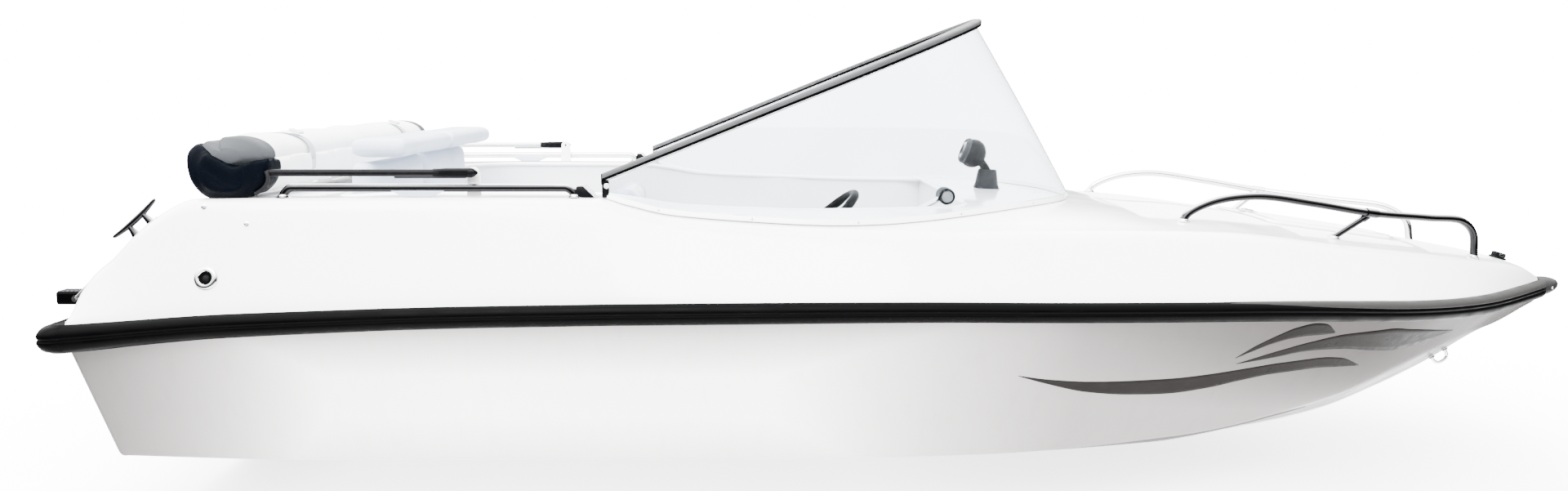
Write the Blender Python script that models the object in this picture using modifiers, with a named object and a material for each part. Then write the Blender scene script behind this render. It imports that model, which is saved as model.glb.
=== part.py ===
"""Small open motorboat, 4.4 m long: aluminium hull plates, white deck moulding, wrap-around windscreen,
seats, folded soft top and fittings.

Metres. +X points to the bow, +Y to port, +Z up. The origin is on the waterline, amidships.
"""
import math

import bmesh
import bpy
import numpy as np
from mathutils import Matrix, Vector
from mathutils.bvhtree import BVHTree

# Clearances and plate thicknesses
GAP = 0.0003
SEAT_GAP = 0.0006
MOVING_CLEARANCE = 0.005
BOTTOM_THICKNESS = 0.004
SIDE_THICKNESS = 0.003
TRANSOM_THICKNESS = 0.006
DECK_THICKNESS = 0.005
PANEL_THICKNESS = 0.004
ACRYLIC_THICKNESS = 0.005

# Hull lines: each is a few (x, value) pairs, joined by a smooth curve
TRANSOM_X = -2.074
TRANSOM_RAKE = 0.156
RAKE_END_X = -1.20
HULL_BOW_X = 2.13
CHINE_BOW_X = 1.97
KEEL_Z = [(-2.2, -0.190), (-1.5, -0.200), (0.2, -0.200), (0.8, -0.188), (1.0, -0.170), (1.3, -0.120),
          (1.48, -0.071), (1.63, -0.005), (1.79, 0.078), (1.94, 0.174), (2.04, 0.228), (2.14, 0.284)]
CHINE_Y = [(-2.2, 0.700), (-1.5, 0.720), (-0.5, 0.720), (0.2, 0.680), (0.8, 0.560), (1.3, 0.380),
           (1.7, 0.180), (1.97, 0.030), (2.13, 0.012)]
CHINE_Z = [(-2.2, 0.000), (-1.5, -0.010), (-0.5, -0.010), (0.2, -0.008), (0.8, 0.010), (1.3, 0.070),
           (1.7, 0.155), (1.97, 0.203), (2.13, 0.285)]
SHEER_Y = [(-2.2, 0.815), (-1.5, 0.840), (-0.5, 0.850), (0.2, 0.840), (0.8, 0.760), (1.3, 0.600),
           (1.7, 0.380), (2.0, 0.140), (2.13, 0.026)]
SHEER_Z = [(-2.2, 0.360), (-1.5, 0.387), (-0.7, 0.412), (0.0, 0.4175), (0.84, 0.400), (1.7, 0.340),
           (2.2, 0.326)]

# Hull details
SIDE_FLARE = 0.012
KEEL_BAR_HALF_WIDTH = 0.006
KEEL_BAR_DEPTH = 0.016
CHINE_INSET = 0.010
SPRAY_RAIL_PLACE = 0.52
SPRAY_RAIL_END_X = 1.33
SPRAY_RAIL_WIDTH = 0.034
SPRAY_RAIL_DEPTH = 0.014

# Deck lines: the shoulder is the edge between the side wall and the deck's top
SHOULDER_Y = [(-2.2, 0.765), (-1.83, 0.750), (-0.5, 0.745), (0.2, 0.725), (0.8, 0.620), (1.3, 0.450),
              (1.8, 0.215), (2.05, 0.065), (2.13, 0.014)]
SHOULDER_Z = [(-2.13, 0.375), (-2.122, 0.430), (-2.105, 0.470), (-2.03, 0.543), (-1.97, 0.604),
              (-1.93, 0.636), (-1.88, 0.668), (-1.83, 0.687), (-1.70, 0.690), (-0.80, 0.688), (-0.72, 0.660),
              (-0.62, 0.633), (-0.50, 0.619), (-0.30, 0.604), (0.0, 0.594), (0.25, 0.592), (0.56, 0.590),
              (0.81, 0.584), (1.29, 0.522), (1.8, 0.446), (2.05, 0.398), (2.13, 0.362)]
CROWN = [(-2.13, 0.0), (-1.80, -0.022), (-1.52, -0.022), (-1.3, 0.0), (-0.80, 0.0), (-0.70, 0.036),
         (-0.50, 0.056), (-0.30, 0.068), (0.0, 0.064), (0.30, 0.060), (0.56, 0.046), (0.81, 0.024),
         (1.3, 0.028), (1.8, 0.022), (2.13, 0.004)]
CROWN_POWER = [(-1.3, 2.0), (-0.8, 4.0), (0.3, 4.0), (0.81, 2.0)]
SHOULDER_RADIUS = 0.032
COCKPIT_HALF_WIDTH = [(-2.2, 0.600), (-0.4, 0.600), (0.2, 0.500), (0.9, 0.480), (2.13, 0.480)]
INNER_LIMIT = 0.80
DECK_STATIONS = [-2.13, -2.122, -2.105, -2.03, -1.97, -1.93, -1.88, -1.83, -1.70, -1.61, -1.52, -1.4, -1.2,
                 -1.0, -0.8, -0.7, -0.6, -0.5, -0.4, -0.2, 0.0, 0.1, 0.2, 0.3, 0.4, 0.5, 0.6, 0.72, 0.84,
                 0.96, 1.08, 1.20, 1.32, 1.44, 1.55, 1.66, 1.76, 1.86, 1.96, 2.04, 2.09, 2.13]
INNER_FRACTIONS = [1.0, 0.75, 0.5, 0.25, 0.0]
COCKPIT_AFT_X = -1.52
COCKPIT_FRONT_X = 0.20
WELL_FRONT_X = -1.88
HATCH_AFT_X = 1.20
HATCH_FRONT_X = 1.55
HATCH_SHARE = 0.5
LID_OVERLAP_AFT = 0.035
LID_OVERLAP_FORE = 0.035
LID_OVERLAP_SIDE = 0.022
LID_GAP = 0.0010
LID_THICKNESS = 0.008
LATCH_X = 1.184
TRAY_OVERLAP = 0.004
TRAY_THICKNESS = 0.003
TRAY_FLOOR_Z = 0.300
TRAY_FLOOR_SHARE = 0.85

# Cockpit
SOLE_Z = 0.030
SOLE_THICKNESS = 0.012
FORWARD_BULKHEAD_X = 0.72
WELL_FLOOR_Z = 0.200
WELL_HALF_WIDTH = 0.300
WELL_AFT_TOP_Z = 0.335
WELL_TOP_DROP = 0.004
WELL_STATIONS = [-2.085, -2.03, -1.97, -1.93, -1.885]
TRANSOM_TOP_Z = 0.358
TRANSOM_NOTCH_Z = 0.318
NOTCH_HALF_WIDTH = 0.290

# Rub rail
RAIL_HALF_HEIGHT = 0.026
RAIL_DEPTH = 0.030
RAIL_STERN_DEPTH = 0.062
RAIL_CORNER_STEPS = 6
RAIL_CORNER_SPREAD = 0.016
BOW_TIP_X = 2.200
BOW_CAP_AFT_X = 2.1346
BOW_CAP_HALF_WIDTH = 0.052
BOW_CAP_HALF_HEIGHT = 0.030
BOW_CAP_Z = 0.330
BOW_CAP_RINGS = (0.0, 0.35, 0.65, 0.85, 0.96, 1.0)
BOW_CAP_BLUNTNESS = 0.1

# Windscreen: the glass runs from a line on the deck up to a rail that lies in one sloping plane
SCREEN_AFT_X = -0.773
SCREEN_CURVE_X = -0.300
SCREEN_BASE_REACH = 0.880
SCREEN_BASE_HALF_WIDTH = 0.700
SCREEN_TOP_REACH = 0.586
SCREEN_TOP_HALF_WIDTH = 0.694
SCREEN_TOP_AFT_Z = 0.742
SCREEN_TOP_SLOPE = 0.400
SCREEN_TRIM_WIDTH = 0.016
SCREEN_TRIM_HEIGHT = 0.012
SCREEN_RAIL_WIDTH = 0.030
SCREEN_RAIL_HEIGHT = 0.026
SCREEN_STRAIGHT_SHARE = 0.30
SCREEN_STEPS = 18
SCREEN_LIFT = 0.0020
SCREEN_HEAD_GAP = 0.0022
SCREEN_POST_Y = 0.6965
SCREEN_POST_HALF_WIDTH = 0.0095
SCREEN_POST_DEPTH = 0.014
SCREEN_END_REACH = 0.016

# Rails and soft top
TUBE_RADIUS = 0.011
HANDRAIL_Y = 0.706
HANDRAIL_Z = 0.7135
HANDRAIL_AFT_X = -1.595
HANDRAIL_FORE_X = -0.870
HANDRAIL_END_RADIUS = 0.0095
HANDRAIL_FOOT_RADIUS = 0.020
HANDRAIL_SHOE_X = -1.258
HANDRAIL_SHOE_TOP = 0.072
HANDRAIL_SHOE_BOTTOM = 0.034
HANDRAIL_SHOE_WIDTH = 0.020
FOOT_RADIUS = 0.018
FOOT_HEIGHT = 0.007
STANCHION_RADIUS = 0.009
BOW_RAIL_TOP = [(0.826, 0.449, 0.620), (0.900, 0.442, 0.652), (1.024, 0.430, 0.665), (1.200, 0.402, 0.641),
                (1.384, 0.366, 0.610), (1.600, 0.275, 0.586), (1.750, 0.208, 0.567), (1.804, 0.180, 0.525)]
BOW_RAIL_AFT_FOOT = (0.810, 0.450)
BOW_RAIL_MID_FOOT = (1.289, 0.350)
BOW_RAIL_FORE_FOOT = (1.816, 0.170)
SOFT_TOP_PIVOT = (-1.119, 0.706, 0.752)
LEG_RADIUS = 0.0105
PIVOT_PIN_RADIUS = 0.0040
PIVOT_BORE_RADIUS = 0.0046
BUNDLE_X = -1.742
BUNDLE_Z = 0.770
BUNDLE_DEPTH = 0.220
BUNDLE_HEIGHT = 0.150
BUNDLE_HALF_LENGTH = 0.740
BUNDLE_END = 0.045

# Helm
WHEEL_CENTRE = (-0.224, -0.360, 0.559)
WHEEL_TILT = math.radians(42.0)
WHEEL_RADIUS = 0.170
WHEEL_RIM_RADIUS = 0.013
WHEEL_RIM_STEPS = 32
WHEEL_SECTION_STEPS = 8
HUB_RADIUS = 0.036
HUB_DEPTH = 0.040
COLUMN_LENGTH = 0.090
COLUMN_RADIUS = 0.020
SPOKE_RADIUS = 0.008
SPOKE_DEPTH = 0.018
CONSOLE_WIDTH = 0.24
CONSOLE_BELOW = 0.10
CONSOLE_ABOVE = 0.16
CONSOLE_BACK_Z = (0.36, 0.628)
CONSOLE_TOP_DEPTH = 0.03
CONSOLE_ROUNDING = 0.012
DASH_LOW_Z = 0.34
THROTTLE_LOW = (-0.120, 0.49)
THROTTLE_HIGH = (-0.030, 0.59)
THROTTLE_DEPTH = 0.042
THROTTLE_PIVOT = (-0.070, 0.570)
THROTTLE_GRIP = (0.137, -0.465, 0.670)
THROTTLE_GRIP_HALF = 0.035
THROTTLE_GRIP_RADIUS = 0.023
COMPASS_X = 0.345
COMPASS_FOOT_RADIUS = 0.040
COMPASS_FOOT_HEIGHT = 0.060
COMPASS_BALL = (-0.045, 0.110)
COMPASS_HALF_WIDTH = 0.042
COMPASS_RADIUS = 0.046

# Seats
BENCH_AFT_X = -1.5155
BENCH_FRONT_X = -1.08
BENCH_TOP_Z = 0.340
SEAT_X = (-0.86, -0.44)
SEAT_CENTRE_Y = 0.345
SEAT_WIDTH = 0.40
SEAT_BASE_TOP_Z = 0.300
SEAT_BASE_INSET = 0.020
SEAT_BACK_OVERHANG = 0.020
SEAT_BACK_THICKNESS = 0.080
SEAT_BACK_TOP_Z = 0.640
CUSHION_HEIGHT = 0.085
CUSHION_ROUNDING = 0.018
BENCH_BASE_HALF_WIDTH = 0.590
BENCH_HALF_WIDTH = 0.575
BENCH_CUSHION_HEIGHT = 0.090
BENCH_BACK_HALF_WIDTH = 0.500
BENCH_BACK_THICKNESS = 0.0692
BENCH_BACK_TOP_Z = 0.775
BOLSTER_FRONT_X = -1.350
BOLSTER_TOP_Z = 0.830

# Fittings
CLEAT_PLACE = (-1.970, 0.700)
CLEAT_HALF_LENGTH = 0.075
CLEAT_HORN_HEIGHT = 0.040
CLEAT_BAR_HEIGHT = 0.036
CLEAT_BAR_RADIUS = 0.007
CLEAT_LEG_PLACE = 0.024
CLEAT_BASE = (0.050, 0.014, 0.004)
VENT_PLACE = (-1.771, 0.33)
VENT_RADIUS = 0.030
VENT_DEPTH = 0.0062
VENT_DISH_RADIUS = 0.016
VENT_DISH_DEPTH = 0.0046
STEP_HINGE = (-2.172, -0.660, 0.421)
STEP_BASE_X = -2.075
STEP_HALF_WIDTH = 0.022
STEP_HALF_HEIGHT = 0.019
STEP_AFT_REACH = 0.060
STEP_FORE_REACH = 0.012
STEP_ROUNDING = 0.006
STEP_ARM_RADIUS = 0.005
STEP_PLATE = (0.028, 0.045, 0.004)
OUTBOARD_PAD = (0.160, 0.100, 0.006)
OUTBOARD_PAD_Z = 0.205
BOW_LIGHT_X = 2.005
BOW_LIGHT_SIZE = (0.052, 0.032, 0.020)
LATCH_SIZE = (0.052, 0.040, 0.010)
STEM_X = 1.84
BOW_EYE_SHAPE = [(-0.024, 0.0), (-0.024, 0.020), (-0.013, 0.030), (0.013, 0.030), (0.024, 0.020), (0.024, 0.0)]

COLLECTION = "motorboat"
CUTTERS = "cutters"
SURVEY = {}
SURVEY_TOP_Z = 2.0
SURVEY_LOW_Z = 0.30

COLOURS = {
    "hull_paint": ((0.78, 0.76, 0.74), 0.35, 0.2),
    "deck_white": ((0.92, 0.92, 0.92), 0.25, 0.0),
    "black_rubber": ((0.01, 0.01, 0.012), 0.5, 0.0),
    "grey_cap": ((0.22, 0.22, 0.23), 0.4, 0.0),
    "acrylic": ((0.55, 0.62, 0.70), 0.05, 0.0),
    "aluminium": ((0.62, 0.63, 0.65), 0.3, 1.0),
    "stainless": ((0.70, 0.70, 0.71), 0.15, 1.0),
    "black_plastic": ((0.02, 0.02, 0.025), 0.4, 0.0),
    "vinyl": ((0.62, 0.68, 0.78), 0.55, 0.0),
    "canvas": ((0.01, 0.015, 0.03), 0.8, 0.0),
    "sole_grey": ((0.55, 0.56, 0.58), 0.7, 0.0),
}


# Curves and lines

def smooth(points):
    """A smooth function through a few (x, value) pairs that never overshoots them."""
    xs = np.array([p[0] for p in points], dtype=float)
    ys = np.array([p[1] for p in points], dtype=float)
    steps = np.diff(xs)
    slopes = np.diff(ys) / steps
    tangents = np.zeros(len(xs))
    tangents[0] = slopes[0]
    tangents[-1] = slopes[-1]
    for i in range(1, len(xs) - 1):
        if slopes[i - 1] * slopes[i] > 0.0:
            near = 2.0 * steps[i] + steps[i - 1]
            far = steps[i] + 2.0 * steps[i - 1]
            tangents[i] = (near + far) / (near / slopes[i - 1] + far / slopes[i])

    def value(x):
        k = int(np.clip(np.searchsorted(xs, x) - 1, 0, len(steps) - 1))
        t = min(max((x - xs[k]) / steps[k], 0.0), 1.0)
        start = (1.0 + 2.0 * t) * (1.0 - t) ** 2 * ys[k] + t * (1.0 - t) ** 2 * steps[k] * tangents[k]
        end = t * t * (3.0 - 2.0 * t) * ys[k + 1] - t * t * (1.0 - t) * steps[k] * tangents[k + 1]
        return float(start + end)

    return value


keel_z = smooth(KEEL_Z)
chine_y = smooth(CHINE_Y)
chine_z = smooth(CHINE_Z)
sheer_y = smooth(SHEER_Y)
sheer_z = smooth(SHEER_Z)
shoulder_y = smooth(SHOULDER_Y)
shoulder_z = smooth(SHOULDER_Z)
crown = smooth(CROWN)
crown_power = smooth(CROWN_POWER)
cockpit_half_width = smooth(COCKPIT_HALF_WIDTH)


def inner_y(x):
    """Half-breadth of the line where the coaming's flat top ends: the cockpit's edge."""
    return min(cockpit_half_width(x), INNER_LIMIT * shoulder_y(x))


def section_height(x, y):
    """Height of the deck's top inboard of its shoulder, by its lines."""
    return shoulder_z(x) + crown(x) * (1.0 - (abs(y) / shoulder_y(x)) ** crown_power(x))


def between_stations(value, x, other):
    """A value that runs straight from one deck station to the next, as the deck's faces do."""
    k = int(np.clip(np.searchsorted(DECK_STATIONS, x) - 1, 0, len(DECK_STATIONS) - 2))
    aft, fore = DECK_STATIONS[k], DECK_STATIONS[k + 1]
    t = (x - aft) / (fore - aft)
    return value(aft, other) * (1.0 - t) + value(fore, other) * t


def survey_deck(moulding):
    """Keep a search tree of the finished moulding: what stands on or under it meets its real faces."""
    SURVEY["deck"] = BVHTree.FromObject(moulding, bpy.context.evaluated_depsgraph_get())


def deck_height(x, y):
    """Height of the deck's top, measured on the moulding, or taken from its lines over an opening."""
    hit = SURVEY["deck"].ray_cast(Vector((x, y, SURVEY_TOP_Z)), Vector((0.0, 0.0, -1.0)))[0]
    return hit.z if hit else between_stations(section_height, x, y)


def highest_deck(x, y, reach_x, reach_y):
    """Highest of the deck's top under a small foot."""
    return max(deck_height(x + dx, y + dy)
               for dx in (-reach_x, 0.0, reach_x) for dy in (-reach_y, 0.0, reach_y))


def on_deck(x, y, lift=0.0010):
    """A place just above the deck, with the deck's fore-and-aft direction and its normal there."""
    step = 0.004
    fore = Vector((2.0 * step, 0.0, deck_height(x + step, y) - deck_height(x - step, y)))
    side = Vector((0.0, 2.0 * step, deck_height(x, y + step) - deck_height(x, y - step)))
    normal = fore.cross(side).normalized()
    return Vector((x, y, deck_height(x, y))) + normal * lift, fore.normalized(), normal


def deck_underside(x, y):
    """Highest place for a panel that stands under the deck: just below the lowest face over it."""
    reach = PANEL_THICKNESS / 2.0 + GAP
    places = [(x + dx, y + dy) for dx in (-reach, reach) for dy in (-reach, reach)]
    heights = [deck_height(*place) - DECK_THICKNESS for place in places]
    for place in places:
        hit = SURVEY["deck"].ray_cast(Vector((*place, SURVEY_LOW_Z)), Vector((0.0, 0.0, 1.0)))[0]
        if hit:
            heights.append(hit.z)
    return min(heights) - SEAT_GAP


def raked(x, z):
    """X of a hull point: the last stretch leans with the transom."""
    lean = min(max((RAKE_END_X - x) / (RAKE_END_X - TRANSOM_X), 0.0), 1.0)
    return x - TRANSOM_RAKE * z * lean


def transom_x(z):
    return TRANSOM_X - TRANSOM_RAKE * z


# Building blocks

def collection(name):
    if name not in bpy.data.collections:
        bpy.context.scene.collection.children.link(bpy.data.collections.new(name))
    return bpy.data.collections[name]


def material(name):
    if name in bpy.data.materials:
        return bpy.data.materials[name]
    colour, roughness, metallic = COLOURS[name]
    made = bpy.data.materials.new(name)
    made.use_nodes = True
    shader = made.node_tree.nodes["Principled BSDF"]
    shader.inputs["Base Color"].default_value = (*colour, 1.0)
    shader.inputs["Roughness"].default_value = roughness
    shader.inputs["Metallic"].default_value = metallic
    made.diffuse_color = (*colour, 1.0)
    return made


def add_object(name, data, finish, group=COLLECTION):
    obj = bpy.data.objects.new(name, data)
    collection(group).objects.link(obj)
    if finish:
        data.materials.append(material(finish))
    return obj


def mesh_object(name, mesh_data, finish, group=COLLECTION):
    """Turn a bmesh into an object, with its faces all pointing out."""
    bmesh.ops.recalc_face_normals(mesh_data, faces=mesh_data.faces)
    mesh = bpy.data.meshes.new(name)
    mesh_data.to_mesh(mesh)
    mesh_data.free()
    return add_object(name, mesh, finish, group)


def shade(obj, angle=40.0):
    obj.data.shade_smooth()
    obj.data.set_sharp_from_angle(angle=math.radians(angle))
    return obj


def bevel(obj, width, segments=2, angle=40.0):
    modifier = obj.modifiers.new("rounded edges", "BEVEL")
    modifier.width = width
    modifier.segments = segments
    modifier.limit_method = "ANGLE"
    modifier.angle_limit = math.radians(angle)
    return obj


def solidify(obj, thickness, offset):
    modifier = obj.modifiers.new("thickness", "SOLIDIFY")
    modifier.thickness = thickness
    modifier.offset = offset
    modifier.use_even_offset = True
    return obj


def box(name, low, high, finish, rounding=0.0, group=COLLECTION):
    """A box between two corners."""
    made = bmesh.new()
    bmesh.ops.create_cube(made, size=1.0)
    low, high = Vector(low), Vector(high)
    size = high - low
    bmesh.ops.scale(made, vec=size, verts=made.verts)
    obj = mesh_object(name, made, finish, group)
    obj.location = (low + high) / 2.0
    if rounding:
        bevel(obj, rounding)
    return obj


def cylinder(name, start, end, radius, finish, end_radius=None, segments=16, group=COLLECTION):
    """A cylinder or cone between two points."""
    start, end = Vector(start), Vector(end)
    made = bmesh.new()
    bmesh.ops.create_cone(made, cap_ends=True, segments=segments, radius1=radius,
                          radius2=radius if end_radius is None else end_radius, depth=(end - start).length)
    obj = mesh_object(name, made, finish, group)
    obj.location = (start + end) / 2.0
    obj.rotation_mode = "QUATERNION"
    obj.rotation_quaternion = (end - start).to_track_quat("Z", "Y")
    return shade(obj)


def surface(name, rows, finish, hole=None, cap_first=False, cap_last=False):
    """An open surface lofted through rows of points; hole(row, column) leaves faces out."""
    made = bmesh.new()
    verts = [[made.verts.new(p) for p in row] for row in rows]
    for i in range(len(rows) - 1):
        for j in range(len(rows[0]) - 1):
            if hole and hole(i, j):
                continue
            made.faces.new((verts[i][j], verts[i + 1][j], verts[i + 1][j + 1], verts[i][j + 1]))
    if cap_first:
        made.faces.new(verts[0])
    if cap_last:
        made.faces.new(verts[-1])
    bmesh.ops.delete(made, geom=[v for v in made.verts if not v.link_faces], context="VERTS")
    return mesh_object(name, made, finish)


def loft(name, rings, finish, group=COLLECTION):
    """A closed body lofted through rings of points, with flat ends."""
    made = bmesh.new()
    verts = [[made.verts.new(p) for p in ring] for ring in rings]
    count = len(rings[0])
    for i in range(len(rings) - 1):
        for j in range(count):
            k = (j + 1) % count
            made.faces.new((verts[i][j], verts[i][k], verts[i + 1][k], verts[i + 1][j]))
    made.faces.new(list(reversed(verts[0])))
    made.faces.new(verts[-1])
    return shade(mesh_object(name, made, finish, group))


def outline(name, points, thickness, finish, group=COLLECTION):
    """A flat plate: a 2D outline in its own XY plane, thickened both ways."""
    data = bpy.data.curves.new(name, "CURVE")
    data.dimensions = "2D"
    data.fill_mode = "BOTH"
    data.extrude = thickness / 2.0
    spline = data.splines.new("POLY")
    spline.points.add(len(points) - 1)
    for point, place in zip(spline.points, points):
        point.co = (place[0], place[1], 0.0, 1.0)
    spline.use_cyclic_u = True
    return add_object(name, data, finish, group)


def place_axes(obj, origin, x_axis, y_axis):
    """Put an object's own X and Y along two world directions."""
    x_axis = Vector(x_axis).normalized()
    y_axis = Vector(y_axis).normalized()
    frame = Matrix((x_axis, y_axis, x_axis.cross(y_axis))).transposed().to_4x4()
    frame.translation = Vector(origin)
    obj.matrix_world = frame
    return obj


def tube(name, points, radius, finish, smooth_path=True, group=COLLECTION, resolution=3):
    """A bent tube through its centreline's points."""
    data = bpy.data.curves.new(name, "CURVE")
    data.dimensions = "3D"
    data.bevel_depth = radius
    data.bevel_resolution = 2
    data.use_fill_caps = True
    data.resolution_u = resolution
    if smooth_path:
        spline = data.splines.new("BEZIER")
        spline.bezier_points.add(len(points) - 1)
        for point, place in zip(spline.bezier_points, points):
            point.co = place
            point.handle_left_type = "AUTO"
            point.handle_right_type = "AUTO"
    else:
        spline = data.splines.new("POLY")
        spline.points.add(len(points) - 1)
        for point, place in zip(spline.points, points):
            point.co = (*place, 1.0)
    return add_object(name, data, finish, group)


def to_mesh(obj):
    """Replace a curve object by the mesh it makes, with its caps welded on."""
    graph = bpy.context.evaluated_depsgraph_get()
    mesh = bpy.data.meshes.new_from_object(obj.evaluated_get(graph))
    made = bmesh.new()
    made.from_mesh(mesh)
    bmesh.ops.remove_doubles(made, verts=made.verts, dist=1e-5)
    bmesh.ops.recalc_face_normals(made, faces=made.faces)
    made.to_mesh(mesh)
    made.free()
    if not mesh.materials:
        mesh.materials.append(obj.data.materials[0])
    name = obj.name
    group = obj.users_collection[0]
    matrix = obj.matrix_world.copy()
    bpy.data.objects.remove(obj)
    made_object = bpy.data.objects.new(name, mesh)
    made_object.matrix_world = matrix
    group.objects.link(made_object)
    return made_object


def boolean(obj, tool, operation):
    """Join a tool to an object or cut it out; the tool stays as a wire guide."""
    tool.hide_render = True
    tool.display_type = "WIRE"
    modifier = obj.modifiers.new(tool.name, "BOOLEAN")
    modifier.operation = operation
    modifier.object = tool
    modifier.solver = "EXACT"
    return obj


def join_all(obj, tools):
    for tool in tools:
        boolean(obj, tool, "UNION")
    return obj


# Hull

def hull_stations(end):
    """Stations from the transom to the bow: the deck's own ones where the transom's lean has ended."""
    aft = [float(x) for x in np.linspace(TRANSOM_X, RAKE_END_X, 7)[:-1]]
    return aft + [x for x in DECK_STATIONS if RAKE_END_X <= x < end - 0.01] + [end]


def bottom_edge(x):
    """Half-breadth where a bottom plate starts beside the keel bar."""
    run = chine_y(x)
    rise = chine_z(x) - keel_z(x)
    return KEEL_BAR_HALF_WIDTH + BOTTOM_THICKNESS * rise / math.hypot(run, rise) + SEAT_GAP


def bottom_point(x, fraction):
    """A point of the bottom's outer face, from the keel (0) to the chine (1)."""
    start = bottom_edge(x)
    low = keel_z(x) + 0.005
    y = start + (chine_y(x) - start) * fraction
    z = low + (chine_z(x) - low) * fraction
    return y, z


def bottom_plate(side, name):
    rows = []
    for x in hull_stations(CHINE_BOW_X - 0.06):
        width = chine_y(x)
        last = 1.0 - CHINE_INSET / width
        row = []
        for fraction in (0.0, last / 2.0, last):
            y, z = bottom_point(x, fraction)
            row.append((raked(x, z), side * y, z))
        rows.append(row)
    obj = surface(name, rows, "hull_paint")
    up = 1.0 if obj.data.polygons[0].normal.z > 0 else -1.0
    return shade(solidify(obj, BOTTOM_THICKNESS, up))


def side_plate(side, name):
    rows = []
    for x in hull_stations(HULL_BOW_X):
        low = (chine_y(x), chine_z(x))
        top_x = raked(x, sheer_z(x))
        high = (sheer_y(top_x), sheer_z(top_x) - 0.0020)
        row = []
        for fraction in (0.0, 0.25, 0.5, 0.75, 1.0):
            bulge = SIDE_FLARE * math.sin(math.pi * fraction) * max(0.0, min(1.0, (x - 0.4) / 0.8))
            bulge *= max(0.0, min(1.0, (HULL_BOW_X - x) / 0.4))
            y = low[0] + (high[0] - low[0]) * fraction - bulge
            z = low[1] + (high[1] - low[1]) * fraction
            row.append((raked(x, z), side * y, z))
        rows.append(row)
    obj = surface(name, rows, "hull_paint")
    outward = obj.data.polygons[0].normal.y * side > 0
    return shade(solidify(obj, SIDE_THICKNESS, -1.0 if outward else 1.0))


def make_hull():
    for side, word in ((-1, "starboard"), (1, "port")):
        bottom_plate(side, "hull_bottom_" + word)
        side_plate(side, "hull_side_" + word)
        spray_rail(side, "spray_rail_" + word)
    keel_bar()
    transom()


def keel_bar():
    """A flat bar on edge along the keel and up the stem."""
    rings = []
    for x in hull_stations(HULL_BOW_X):
        slope = (keel_z(x + 0.01) - keel_z(x - 0.01)) / 0.02
        normal = Vector((-slope, 0.0, 1.0)).normalized()
        low = Vector((raked(x, keel_z(x)), 0.0, keel_z(x)))
        high = low + normal * KEEL_BAR_DEPTH
        half = Vector((0.0, KEEL_BAR_HALF_WIDTH, 0.0))
        rings.append([low - half, low + half, high + half, high - half])
    return loft("keel_bar", rings, "hull_paint")


def spray_rail(side, name):
    """A wedge under the bottom plate, halfway out, that throws the spray down."""
    rings = []
    for x in hull_stations(CHINE_BOW_X):
        if x >= SPRAY_RAIL_END_X:
            break
        along = (x - TRANSOM_X) / (SPRAY_RAIL_END_X - TRANSOM_X)
        taper = min(1.0, (1.0 - along) * 6.0 + 0.15)
        width = SPRAY_RAIL_WIDTH * taper
        y, z = bottom_point(x, SPRAY_RAIL_PLACE)
        y2, z2 = bottom_point(x, SPRAY_RAIL_PLACE + 0.1)
        across = Vector((0.0, y2 - y, z2 - z)).normalized()
        down = Vector((0.0, across.z, -across.y))
        base = Vector((0.0, y, z)) + down * 0.0012
        corners = [base, base + across * width, base + across * width + down * SPRAY_RAIL_DEPTH * taper]
        rings.append([(raked(x, c.z), side * c.y, c.z) for c in corners])
    return loft(name, rings, "hull_paint")


def transom():
    """The raked stern plate, notched in the middle for an outboard motor."""
    sheer = sheer_y(DECK_STATIONS[0])
    half = [(NOTCH_HALF_WIDTH - 0.03, TRANSOM_NOTCH_Z), (NOTCH_HALF_WIDTH, TRANSOM_TOP_Z),
            (sheer, TRANSOM_TOP_Z), (chine_y(TRANSOM_X), chine_z(TRANSOM_X)), (0.0, keel_z(TRANSOM_X))]
    stretch = math.hypot(1.0, TRANSOM_RAKE)
    points = [(y, z * stretch) for y, z in half[:-1]]
    points.append((0.0, half[-1][1] * stretch))
    points += [(-y, z * stretch) for y, z in reversed(half[:-1])]
    plate = outline("transom", points, TRANSOM_THICKNESS, "hull_paint")
    up = Vector((-TRANSOM_RAKE, 0.0, 1.0)).normalized()
    normal = Vector((0.0, 1.0, 0.0)).cross(up)
    origin = Vector((TRANSOM_X, 0.0, 0.0)) - normal * (TRANSOM_THICKNESS / 2.0 + SEAT_GAP)
    place_axes(plate, origin, (0, 1, 0), up)
    return to_mesh(plate)


# Rub rail and bow cap

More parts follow.
